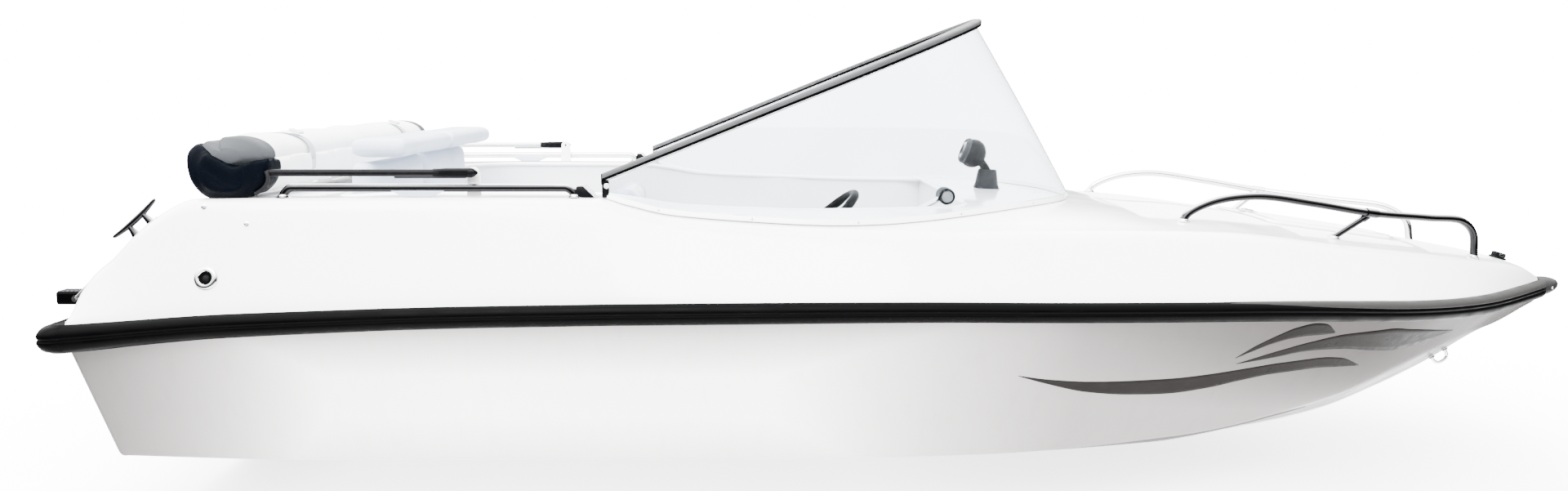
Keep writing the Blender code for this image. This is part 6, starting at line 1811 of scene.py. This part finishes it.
BENCH_AFT_X, BENCH_FRONT_X = -1.5155, -1.08
BENCH_TOP_Z = 0.340
SEAT_X = (-0.86, -0.44)
SEAT_CENTRE_Y, SEAT_WIDTH = 0.345, 0.40
SEAT_BASE_TOP_Z = 0.300
CUSHION_HEIGHT = 0.085
PIPING_RADIUS = 0.0032
SEAM_RADIUS = 0.0013
STITCH_OFFSET = 0.006
CHANNEL_DEPTH, CHANNEL_WIDTH = 0.005, 0.016


def lay_on(obj, path, rise=0.0, direction=(0, 0, -1)):
    """Points of a path dropped onto a mesh along a direction."""
    tree = BVHTree.FromObject(obj, bpy.context.evaluated_depsgraph_get())
    way = Vector(direction)
    made = []
    for point in path:
        hit = tree.ray_cast(Vector(point) - way * 0.3, way)[0]
        made.append((hit if hit else Vector(point)) - way * rise)
    return made


def seat_seams(name, obj, lines, direction=(0, 0, -1)):
    """Sewn lines that follow the cushion: a white cord with stitches on both sides."""
    parts = []
    for k, line in enumerate(lines):
        path = lay_on(obj, line, 0.0002, direction)
        parts.append(sweep("%s_seam_%d" % (name, k), path, circle(SEAM_RADIUS, 8), "vinyl_white"))
        across = (Vector(line[-1]) - Vector(line[0])).normalized().cross(Vector(direction))
        for shift in (-STITCH_OFFSET, STITCH_OFFSET):
            path = lay_on(obj, [Vector(p) + across * shift for p in line], 0.0006, direction)
            parts.append(stitches("%s_stitch_%d" % (name, k), path))
    return joined(name + "_seams", parts)


def sewn_panel(obj, places, axis, beyond):
    """Grooves at two places across the boat and white vinyl between them, on the side of a cushion that faces
    along an axis."""
    for vertex in obj.data.vertices:
        for place in places:
            distance = abs(vertex.co.y - place)
            if vertex.co[axis] >= beyond and distance < CHANNEL_WIDTH:
                press = CHANNEL_DEPTH * (0.5 + 0.5 * math.cos(math.pi * distance / CHANNEL_WIDTH)) ** 2
                vertex.co[axis] -= press
    second_finish(obj, "vinyl_white", lambda at: places[0] < at.y < places[1] and at[axis] - beyond > 0.0)


def second_finish(obj, finish, where):
    """Another finish on the faces whose centre passes a test."""
    obj.data.materials.append(M[finish])
    for face in obj.data.polygons:
        if where(face.center):
            face.material_index = 1


def cushion_pair(name, part, node):
    """A starboard cushion and its port copy as one padded piece."""
    whole = joined(name, [part, mirrored(part.name.replace("starboard", "port"), part)])
    piece(whole, "boat", "vinyl", node)


def seats():
    """The helm seat, and its copy for the passenger."""
    x0, x1 = SEAT_X
    half = SEAT_WIDTH / 2.0
    y = -SEAT_CENTRE_Y
    for word, side in (("helm", -1), ("passenger", 1)):
        middle = side * SEAT_CENTRE_Y
        base = box_between(word + "_seat_plinth", (x0 + 0.02, middle - half + 0.02, SOLE_Z + 0.0006),
                           (x1 - 0.02, middle + half - 0.02, SEAT_BASE_TOP_Z), "liner", 0.018, 5)
        piece(base, "boat", "deck_white", word + "_seat_base")
    low = (x0 + 0.006, y - half + 0.006, SEAT_BASE_TOP_Z + 0.004)
    high = (x1 - 0.006, y + half - 0.006, SEAT_BASE_TOP_Z + CUSHION_HEIGHT - 0.008)
    seat = simulated(soft_box("helm_seat_pad", low, high, "vinyl", 0.022, 0.006), 0.010)
    back_low = (x0 - 0.016, y - half + 0.006, SEAT_BASE_TOP_Z + CUSHION_HEIGHT + 0.004)
    back_high = (x0 + 0.054, y + half - 0.006, 0.634)
    back = simulated(soft_box("helm_seat_rest", back_low, back_high, "vinyl", 0.024, 0.0), 0.010)
    crown = (low[2] + high[2]) / 2.0
    front = (back_low[0] + back_high[0]) / 2.0
    seat_ys = (y - 0.105, y + 0.105)
    sewn_panel(seat, seat_ys, 2, crown)
    sewn_panel(back, seat_ys, 0, front)
    seams = [seat_seams("helm_seat", seat,
                        [[(x, at, high[2]) for x in spread(low[0] + 0.03, high[0] - 0.03, 30)]
                         for at in seat_ys]),
             seat_seams("helm_rest", back,
                        [[(back_high[0], at, z) for z in spread(back_low[2] + 0.03, 0.604, 24)]
                         for at in seat_ys], (-1, 0, 0))]
    for made in seams:
        piece(mirrored(made.name.replace("helm", "passenger"), made), "boat", "vinyl")
        piece(made, "boat", "vinyl")
    for obj, node in ((seat, "{}_seat_cushion"), (back, "{}_seat_back")):
        other = mirrored(obj.name.replace("helm", "passenger"), obj)
        for made, word in ((obj, "helm"), (other, "passenger")):
            piece(made, "boat", "vinyl", node.format(word))
    cord = piping("helm_seat_piping", low, high, high[2] - 0.010, 0.024)
    for made in (cord, mirrored("passenger_seat_piping", cord)):
        piece(made, "boat", "vinyl")


def bench():
    """The stern bench: its box, two seat pads, two rests and a bolster along their tops."""
    base = box_between("bench_box", (BENCH_AFT_X, -0.590, SOLE_Z + 0.0006),
                       (BENCH_FRONT_X - 0.02, 0.590, BENCH_TOP_Z), "liner", 0.014, 4)
    piece(base, "boat", "deck_white", "bench_base")
    low = (BENCH_AFT_X + 0.076, -0.570, BENCH_TOP_Z + 0.004)
    high = (BENCH_FRONT_X - 0.006, -0.004, BENCH_TOP_Z + 0.082)
    pad = simulated(soft_box("bench_pad_starboard", low, high, "vinyl", 0.022, 0.006), 0.010)
    crown = (low[2] + high[2]) / 2.0
    ys = (-0.400, -0.170)
    sewn_panel(pad, ys, 2, crown)
    seams = seat_seams("bench_starboard", pad,
                       [[(x, at, high[2]) for x in spread(low[0] + 0.03, high[0] - 0.03, 24)] for at in ys])
    piece(mirrored("bench_port_seams", seams), "boat", "vinyl")
    piece(seams, "boat", "vinyl")
    cushion_pair("bench_pads", pad, "bench_cushion")
    low = (BENCH_AFT_X + 0.005, -0.496, BENCH_TOP_Z + 0.004)
    high = (BENCH_AFT_X + 0.064, -0.003, 0.769)
    rest = simulated(soft_box("bench_rest_starboard", low, high, "vinyl", 0.022, 0.0), 0.008)
    cushion_pair("bench_rests", rest, "bench_back")
    low = (BENCH_AFT_X + 0.005, -0.496, 0.781)
    high = (BENCH_AFT_X + 0.160, -0.003, 0.825)
    roll_pad = simulated(soft_box("bench_bolster_starboard", low, high, "vinyl", 0.018, 0.0), 0.005)
    cushion_pair("bench_bolsters", roll_pad, "bench_bolster")


# Soft top

SOFT_TOP_PIVOT = (-1.119, 0.706, 0.752)
LEG_RADIUS = 0.0105
PIVOT_PIN_RADIUS = 0.0040
PIVOT_BORE_RADIUS = 0.0046
BUNDLE_X, BUNDLE_Z = -1.742, 0.770
BUNDLE_DEPTH, BUNDLE_HEIGHT = 0.220, 0.150
BUNDLE_HALF_LENGTH, BUNDLE_END = 0.740, 0.045
BOOT_AFT_LIP = (-0.0765, 0.060)
BOOT_VALLEY = (0.040, -0.004)
BOOT_FRONT_LIP = (0.101, 0.020)
BOOT_DARK_FROM = 0.640
ROLL_CREASE_ANGLE = math.radians(118.0)


def bundle_size(y, least=0.2):
    """How full the bundle is at a place across the boat: it rounds off at both ends."""
    over = max(abs(y) - (BUNDLE_HALF_LENGTH - BUNDLE_END), 0.0) / BUNDLE_END
    return math.sqrt(max(1.0 - over * over, least * least))


def end_sag(y, z):
    """How far the boot's underside hangs down over the deck's shoulder at its ends."""
    t = min(max((abs(y) - 0.668) / 0.070, 0.0), 1.0)
    return 0.022 * t * t * (3.0 - 2.0 * t) * min(max(-z / 0.070, 0.0), 1.0)


def boot_section():
    """The boot's outline across the boat: round behind and below, and folded open at its top."""
    made = []
    for k in range(41):
        c, s = squared(math.radians(128.0 + (372.0 - 128.0) * k / 40.0), 0.7)
        made.append((BUNDLE_DEPTH / 2.0 * c * 0.985, BUNDLE_HEIGHT / 2.0 * s * 0.985))
    made += bezier(BOOT_FRONT_LIP, (0.080, 0.012), BOOT_VALLEY, 7)
    return made + bezier(BOOT_VALLEY, (0.0, 0.022), BOOT_AFT_LIP, 10)[1:]


def soft_top():
    """The boot with a dark end on both sides, and what it carries and hangs on."""
    section = boot_section()
    inner = BUNDLE_HALF_LENGTH - BUNDLE_END
    ys = [-inner - BUNDLE_END * math.sin(0.5 * math.pi * t) for t in spread(1.0, 0.0, 8)][:-1]
    ys += spread(-inner, inner, 96)
    ys += [inner + BUNDLE_END * math.sin(0.5 * math.pi * t) for t in spread(0.0, 1.0, 8)][1:]
    rows = []
    for y in ys:
        size = bundle_size(y, 0.55)
        sag = 0.0035 * math.sin(y * 23.0) + 0.002 * math.sin(y * 61.0 + 1.0)
        row = []
        for k, (x, z) in enumerate(section):
            fold = 0.0022 * math.sin(y * 47.0 + 0.45 * k) + 0.0014 * math.sin(y * 95.0 - 0.3 * k)
            shrink = size * (0.985 + fold / 0.11)
            row.append((BUNDLE_X + x * shrink, y, BUNDLE_Z + z * shrink + 0.3 * sag * size - end_sag(y, z)))
        rows.append(row)
    boot = grid("soft_top_boot", rows, "navy", close_rows=True, cap=True, angle=60.0)
    boot = simulated(boot, 0.005, 3.0, 14)
    second_finish(boot, "cover", lambda at: abs(at.y) < BOOT_DARK_FROM)
    piece(boot, "soft_top", "canvas", "soft_top_bundle")
    roll()
    for side, word in SIDES:
        leg(side, word)
        bracket(side, word)
    straps()


def roll():
    """The folded canvas itself: a soft roll with one deep crease that lies in the boot's fold."""
    centre = (BUNDLE_X + 0.004, BUNDLE_Z + 0.026)
    section = []
    for k in range(120):
        angle = 2.0 * math.pi * k / 120.0
        crease = math.exp(-(((angle - ROLL_CREASE_ANGLE) / 0.13) ** 2))
        swell = 1.0 + 0.05 * math.exp(-(((angle - ROLL_CREASE_ANGLE - 0.34) / 0.20) ** 2))
        size = swell * (1.0 - 0.34 * crease)
        section.append((0.088 * size * math.cos(angle), 0.0490 * size * math.sin(angle)))
    rows = []
    for y in [-0.726] + spread(-0.722, 0.722, 84) + [0.726]:
        end = max(0.0, (abs(y) - 0.690) / 0.036)
        size = math.sqrt(max(1.0 - end * end, 0.16))
        squash = 1.0 + 0.04 * math.sin(y * 19.0) + 0.02 * math.sin(y * 53.0)
        drop = 0.0015 * math.sin(y * 31.0)
        rows.append([(centre[0] + x * size, y, centre[1] + drop + z * squash * size) for x, z in section])
    canvas_roll = grid("soft_top_canvas", rows, "canvas", close_rows=True, cap=True, angle=70.0)
    second_finish(canvas_roll, "cover", lambda at: abs(at.y) < BOOT_DARK_FROM)
    piece(canvas_roll, "soft_top", "canvas")


def leg(side, word):
    """The tube that carries the boot, with its pivot fitting; dark to starboard, as the photograph shows."""
    x, y, z = SOFT_TOP_PIVOT[0], side * SOFT_TOP_PIVOT[1], SOFT_TOP_PIVOT[2]
    front = BUNDLE_X + BUNDLE_DEPTH / 2.0 - 0.010
    # Painted shade: the starboard leg and plate are dark plastic and the port ones bare aluminium, a shaded
    # and a lit copy of one part.
    finish, plate_finish = ("black", "grey") if side < 0 else ("aluminium", "aluminium")
    parts = [tube("leg_tube", [(front, y, z), (x - 0.062, y, z)], LEG_RADIUS * 0.88, finish, 22,
                  1, curved=False)]
    rows = []
    for t in spread(0.0, 1.0, 22):
        at = x - 0.094 + (0.094 + 0.0155) * t
        height = 0.0122 if t > 0.25 else 0.0100 + 0.0022 * t / 0.25
        nose = 1.0 - 0.80 * max(0.0, (t - 0.88) / 0.12)
        half = LEG_RADIUS * 0.98
        rows.append([(at, y + a * half * nose, z + b * height * nose)
                     for a, b in rounded_rectangle(2.0, 2.0, 0.62, 5)])
    fitting = grid("leg_fitting", rows, "black", close_rows=True, cap=True)
    bore = rod("leg_bore", -0.03, 0.03, PIVOT_BORE_RADIUS, "black", aimed((x, y, z), (0, 1, 0)), 28)
    parts.append(cut(fitting, bore))
    parts.append(tube("leg_collar", [(x - 0.098, y, z), (x - 0.082, y, z)], LEG_RADIUS * 1.05, "black", 24, 1,
                      curved=False))
    parts.append(box_between("leg_plate", (x - 0.198, y - 0.0075, z - 0.0140),
                             (x - 0.014, y + 0.0075, z - 0.0035), plate_finish, 0.0025, 3))
    piece(joined("soft_top_bow_" + word, parts), "soft_top", "black_plastic", "soft_top_leg_" + word)


def bracket(side, word):
    """An upright plate on the deck with the pin that a leg turns on."""
    x, y, z = SOFT_TOP_PIVOT[0], side * SOFT_TOP_PIVOT[1], SOFT_TOP_PIVOT[2]
    inner = y - side * (LEG_RADIUS + 0.005)
    floor = deck_z(x, 0.69) + 0.001
    outline = [(-0.020, 0.0), (0.020, 0.0), (0.018, 0.010)]
    top = z - floor
    outline += [(0.016 * math.cos(a), top - 0.002 + 0.016 * math.sin(a)) for a in spread(0.0, math.pi, 15)]
    outline.append((-0.018, 0.010))
    plate = slab("bracket_plate", outline, 0.008, "deck", standing(x, inner, floor, side * -1.0), 0.0016)
    reshaped(plate, lambda made: bmesh.ops.recalc_face_normals(made, faces=made.faces))
    parts = [plate,
             rod("bracket_pin", -0.008, 0.028, PIVOT_PIN_RADIUS, "steel",
                 aimed((x, inner, z), (0, side, 0)), 24),
             turned("bracket_pin_head", [(0.0, 0.0), (0.0085, 0.0), (0.0085, 0.0020), (0.0060, 0.0036),
                                         (0.0, 0.0040)], "black",
                    aimed((x, y + side * (LEG_RADIUS + 0.0010), z), (0, side, 0)), 24)]
    piece(joined("soft_top_mount_" + word, parts), "boat", "black_plastic", "soft_top_bracket_" + word)


def straps():
    """Two webbing straps with buckles round the boot, and its two hanging tails."""
    for k, y in enumerate((-0.42, 0.42)):
        ring = []
        for step in range(60):
            c, s = squared(2.0 * math.pi * step / 60.0, 0.75)
            ring.append((BUNDLE_X + (BUNDLE_DEPTH / 2.0 * 0.965) * c,
                         BUNDLE_Z + (BUNDLE_HEIGHT / 2.0 * 0.985) * s))
        rows = [[Vector((x, y + w, z)) for w in spread(-0.0125, 0.0125, 5)] for x, z in ring + ring[:1]]
        band = grid("strap_%d" % k, rows, "pale_webbing", angle=60.0)
        solidify(band, 0.0016, 0.0)
        buckle = aimed((BUNDLE_X + 0.060, y, BUNDLE_Z + 0.0765), (0.35, 0, 1))
        parts = [band, slab("buckle_%d" % k, rounded_rectangle(0.032, 0.034, 0.005), 0.006, "pale",
                            moved(buckle, 0, 0, -0.002), 0.0014)]
        piece(joined("soft_top_strap_%d" % k, parts), "soft_top", "canvas")
    path = bezier((-1.642, -0.716, 0.757), (-1.624, -0.720, 0.722), (-1.672, -0.718, 0.699), 20)
    tail = sweep("boot_tail_starboard", path, circle(0.0048, 12), "webbing")
    piece(mirrored("boot_tail_port", tail), "soft_top", "canvas")
    piece(tail, "soft_top", "canvas")


# Fittings

CLEAT_PLACE = (-1.970, 0.700)
STEP_HINGE = (-2.172, -0.660, 0.421)
STEP_BASE_X = -2.075
STEM_X = 1.84


def cleats():
    """A two-horned stern cleat on two legs and a base."""
    x, y = CLEAT_PLACE[0], -CLEAT_PLACE[1]
    place = on_deck(x, y, 0.0010)
    rows = []
    for t in spread(-1.0, 1.0, 29):
        radius = 0.0078 - 0.0036 * abs(t) ** 1.6
        if abs(t) > 0.93:
            radius *= math.sqrt(max(1.0 - ((abs(t) - 0.93) / 0.07) ** 2, 0.06))
        centre = Vector((0.077 * t, 0.0, 0.0355 + 0.006 * t * t))
        rows.append([place @ (centre + Vector((0.0, a * radius, b * radius))) for a, b in circle(1.0, 16)])
    parts = [grid("cleat_horn", rows, "tube", close_rows=True, cap=True)]
    for side in (-1, 1):
        rows = []
        for t in spread(0.0, 1.0, 9):
            half_x, half_y = 0.0125 - 0.0060 * math.sin(1.5 * t), 0.0110 - 0.0050 * math.sin(1.5 * t)
            centre = Vector((side * (0.024 + 0.003 * (1.0 - t)), 0.0, 0.002 + 0.034 * t))
            rows.append([place @ (centre + Vector((a * half_x, b * half_y, 0.0)))
                         for a, b in circle(1.0, 16)])
        parts.append(grid("cleat_leg_%d" % side, rows, "tube", close_rows=True, cap=True))
    outline = rounded_rectangle(0.100, 0.028, 0.0138, 8)
    parts.append(slab("cleat_base", outline, 0.004, "steel", place, 0.0012))
    heads = [moved(place, side * 0.043, 0.0, 0.0040) for side in (-1, 1)]
    parts.append(screw_heads("cleat_screws", heads, radius=0.0036))
    pair(joined("horn_cleat_starboard", parts), "boat", "stainless", "stern_cleat_{}")


def bow_fittings():
    """The bow light with its two lenses, and the eye on the stem."""
    place = on_deck(2.005, 0.0, 0.0006)
    parts = [slab("light_base", rounded_rectangle(0.052, 0.032, 0.014, 8), 0.006, "black", place, 0.0015),
             slab("light_body", rounded_rectangle(0.042, 0.025, 0.011, 8), 0.0150, "black",
                  moved(place, 0.0, 0.0, 0.005), 0.0030)]
    piece(joined("bow_lamp", parts), "boat", "black_plastic", "bow_light")
    for side, word in SIDES:
        lens = block("lamp_lens_" + word, (0.020, 0.004, 0.008), "lens_" + word, 0.0015, 3,
                     moved(place, 0.004, side * 0.0125, 0.012))
        piece(lens, "boat", "acrylic")
    slope = Vector((0.01, 0.0, keel_z(STEM_X + 0.01) - keel_z(STEM_X))).normalized()
    out = Vector((slope.z, 0.0, -slope.x))
    start = Vector((STEM_X, 0.0, keel_z(STEM_X))) + out * 0.0008
    half = [(0.011, 0.0295), (0.020, 0.023), (0.0235, 0.012), (0.024, 0.0)]
    shape = [(-a, b) for a, b in reversed(half)] + [(0.0, 0.031)] + half
    parts = [tube("eye_loop", [start + slope * a + out * b for a, b in shape], 0.0049, "steel", 18, 6)]
    for a in (-0.024, 0.024):
        parts.append(turned("eye_boss", [(0.0, 0.0), (0.0098, 0.0), (0.0098, 0.0016), (0.0068, 0.0042),
                                         (0.0, 0.0042)], "steel", aimed(start + slope * a, out), 22))
    piece(joined("stem_eye", parts), "boat", "stainless", "bow_eye")


def boarding_step():
    """A ribbed tread that folds on a pin, and the two arms and the plate that carry it."""
    x, y, z = STEP_HINGE
    reach = 0.014
    base = Vector((STEP_BASE_X, y, deck_z(STEP_BASE_X, y)))
    rise = deck_z(STEP_BASE_X + reach, y) - deck_z(STEP_BASE_X - reach, y)
    along = Vector((2.0 * reach, 0.0, rise)).normalized()
    up = Vector((-along.z, 0.0, along.x))
    place = Matrix((along, Vector((0, 1, 0)), up)).transposed().to_4x4()
    place.translation = base + up * 0.0012
    parts = [slab("step_plate", rounded_rectangle(0.028, 0.045, 0.005), 0.004, "grey", place, 0.0010)]
    for side in (-1, 1):
        start = base + up * 0.008 - along * 0.012 + Vector((0, side * 0.032, 0))
        hinge = Vector((x, y + side * 0.032, z))
        parts.append(tube("step_arm_%d" % side, [start, start.lerp(hinge, 0.5), hinge], 0.0050,
                          "steel", 16, 6))
        parts.append(rod("step_boss_%d" % side, -0.003, 0.004, 0.0085, "steel",
                         aimed(hinge, (0, side, 0)), 22))
    axle = aimed((x, y, z), (0, 1, 0))
    parts.append(rod("step_pin", -0.037, 0.037, PIVOT_PIN_RADIUS, "steel", axle, 22))
    heads = [moved(place, 0.004, sy * 0.014, 0.0040) for sy in (-1, 1)]
    parts.append(screw_heads("step_screws", heads, radius=0.0034))
    piece(joined("step_mount", parts), "boat", "stainless", "boarding_step_bracket")
    tread = box_between("step_body", (x - 0.060, y - 0.022, z - 0.019), (x + 0.012, y + 0.022, z + 0.0165),
                        "rubber", 0.007, 4)
    parts = [cut(tread, rod("step_bore", -0.05, 0.05, PIVOT_BORE_RADIUS, "rubber", axle, 24)),
             box_between("step_top", (x - 0.055, y - 0.018, z + 0.0160), (x + 0.007, y + 0.018, z + 0.0178),
                         "grey", 0.0008, 2)]
    for k in range(5):
        parts.append(box_between("step_rib_%d" % k, (x - 0.051 + 0.0115 * k, y - 0.016, z + 0.0172),
                                 (x - 0.046 + 0.0115 * k, y + 0.016, z + 0.0188), "rubber", 0.0006, 2))
    piece(joined("step_tread", parts), "step", "black_rubber", "boarding_step")


# Stage, light and camera

KEEL_FLOOR_Z = -0.2005
DOME_RISE = (0.12, 0.60)
DOME_STRENGTH = 16.0
BOW_SHADE_RISE = (-0.3, 0.9)
BOW_SHADE = 0.35
WHITE = (1.0, 1.0, 1.0)
HORIZON_STRENGTH = 0.12
WHITE_STRENGTH = 18.0
KEY_PLACE, KEY_TARGET = (-1.5, -4.5, 5.0), (0.0, 0.0, 0.3)
KEY_SIZE = (5.0, 3.0)
KEY_POWER = 900.0


def stage():
    """The studio's floor, just under the keel."""
    made = bmesh.new()
    bmesh.ops.create_grid(made, x_segments=1, y_segments=1, size=30.0)
    floor = new_object("studio_floor", made, "floor")
    floor.data.transform(Matrix.Translation((0, 0, KEEL_FLOOR_Z)))


def area_light(name, place, target, size, power):
    data = bpy.data.lights.new(name, "AREA")
    data.shape = "RECTANGLE"
    data.size, data.size_y = size
    data.energy = power
    lamp = bpy.data.objects.new(name, data)
    lamp.location = place
    lamp.rotation_euler = (Vector(target) - Vector(place)).to_track_quat("-Z", "Y").to_euler()
    bpy.context.scene.collection.objects.link(lamp)


def lights():
    """A bright dome over a dark horizon lights the boat; the studio behind it looks plain white."""
    world = bpy.data.worlds.new("studio")
    tree = Nodes(world)
    way = tree.add("SeparateXYZ", Vector=tree.add("TexCoord").outputs["Generated"]).outputs
    rise = tree.ramp(way["Z"], *DOME_RISE, HORIZON_STRENGTH, DOME_STRENGTH, "SMOOTHSTEP")
    ahead = tree.ramp(way["X"], *BOW_SHADE_RISE, 1.0, BOW_SHADE)
    dome = tree.nodes["Background"]
    tree.feed(dome.inputs["Color"], WHITE)
    tree.feed(dome.inputs["Strength"], tree.maths("MULTIPLY", rise, ahead))
    white = tree.add("Background", Color=WHITE, Strength=WHITE_STRENGTH)
    ray = tree.add("LightPath").outputs
    mixed = tree.add("MixShader", Fac=tree.maths("MAXIMUM", ray["Is Camera Ray"], ray["Is Transmission Ray"]))
    for socket, background in zip(mixed.inputs[1:], (dome, white)):
        tree.feed(socket, background.outputs["Background"])
    tree.feed(tree.nodes["World Output"].inputs["Surface"], mixed.outputs["Shader"])
    bpy.context.scene.world = world
    area_light("key_light", KEY_PLACE, KEY_TARGET, KEY_SIZE, KEY_POWER)


def camera():
    data = bpy.data.cameras.new("photo_camera")
    data.sensor_width = SENSOR_WIDTH
    data.sensor_fit = "HORIZONTAL"
    data.lens = FOCAL_PIXELS / PHOTO_WIDTH * SENSOR_WIDTH
    data.shift_x = (PHOTO_WIDTH / 2.0 - CENTRE_COLUMN) / PHOTO_WIDTH
    data.clip_end = 100.0
    eye = bpy.data.objects.new("photo_camera", data)
    eye.location = CAMERA_PLACE
    eye.rotation_euler = (math.radians(90.0) - CAMERA_PITCH, 0.0, 0.0)
    bpy.context.scene.collection.objects.link(eye)
    bpy.context.scene.camera = eye


def hull():
    hull_shell()
    keel_bar()
    spray_rail()
    transom()
    transom_fittings()
    for name, points in (("low", LOW_STRIPE), ("middle", MIDDLE_STRIPE), ("high", HIGH_STRIPE)):
        stripe("stripe_%s_starboard" % name, points)


camera()
lights()
stage()
hull()
rub_rail()
bow_cap()
deck()
rolled_edges()
tread_panels()
locker()
snap_studs()
side_vent()
cockpit()
windscreen()
handrails()
bow_rails()
cleats()
bow_fittings()
boarding_step()
soft_top()
seats()
bench()
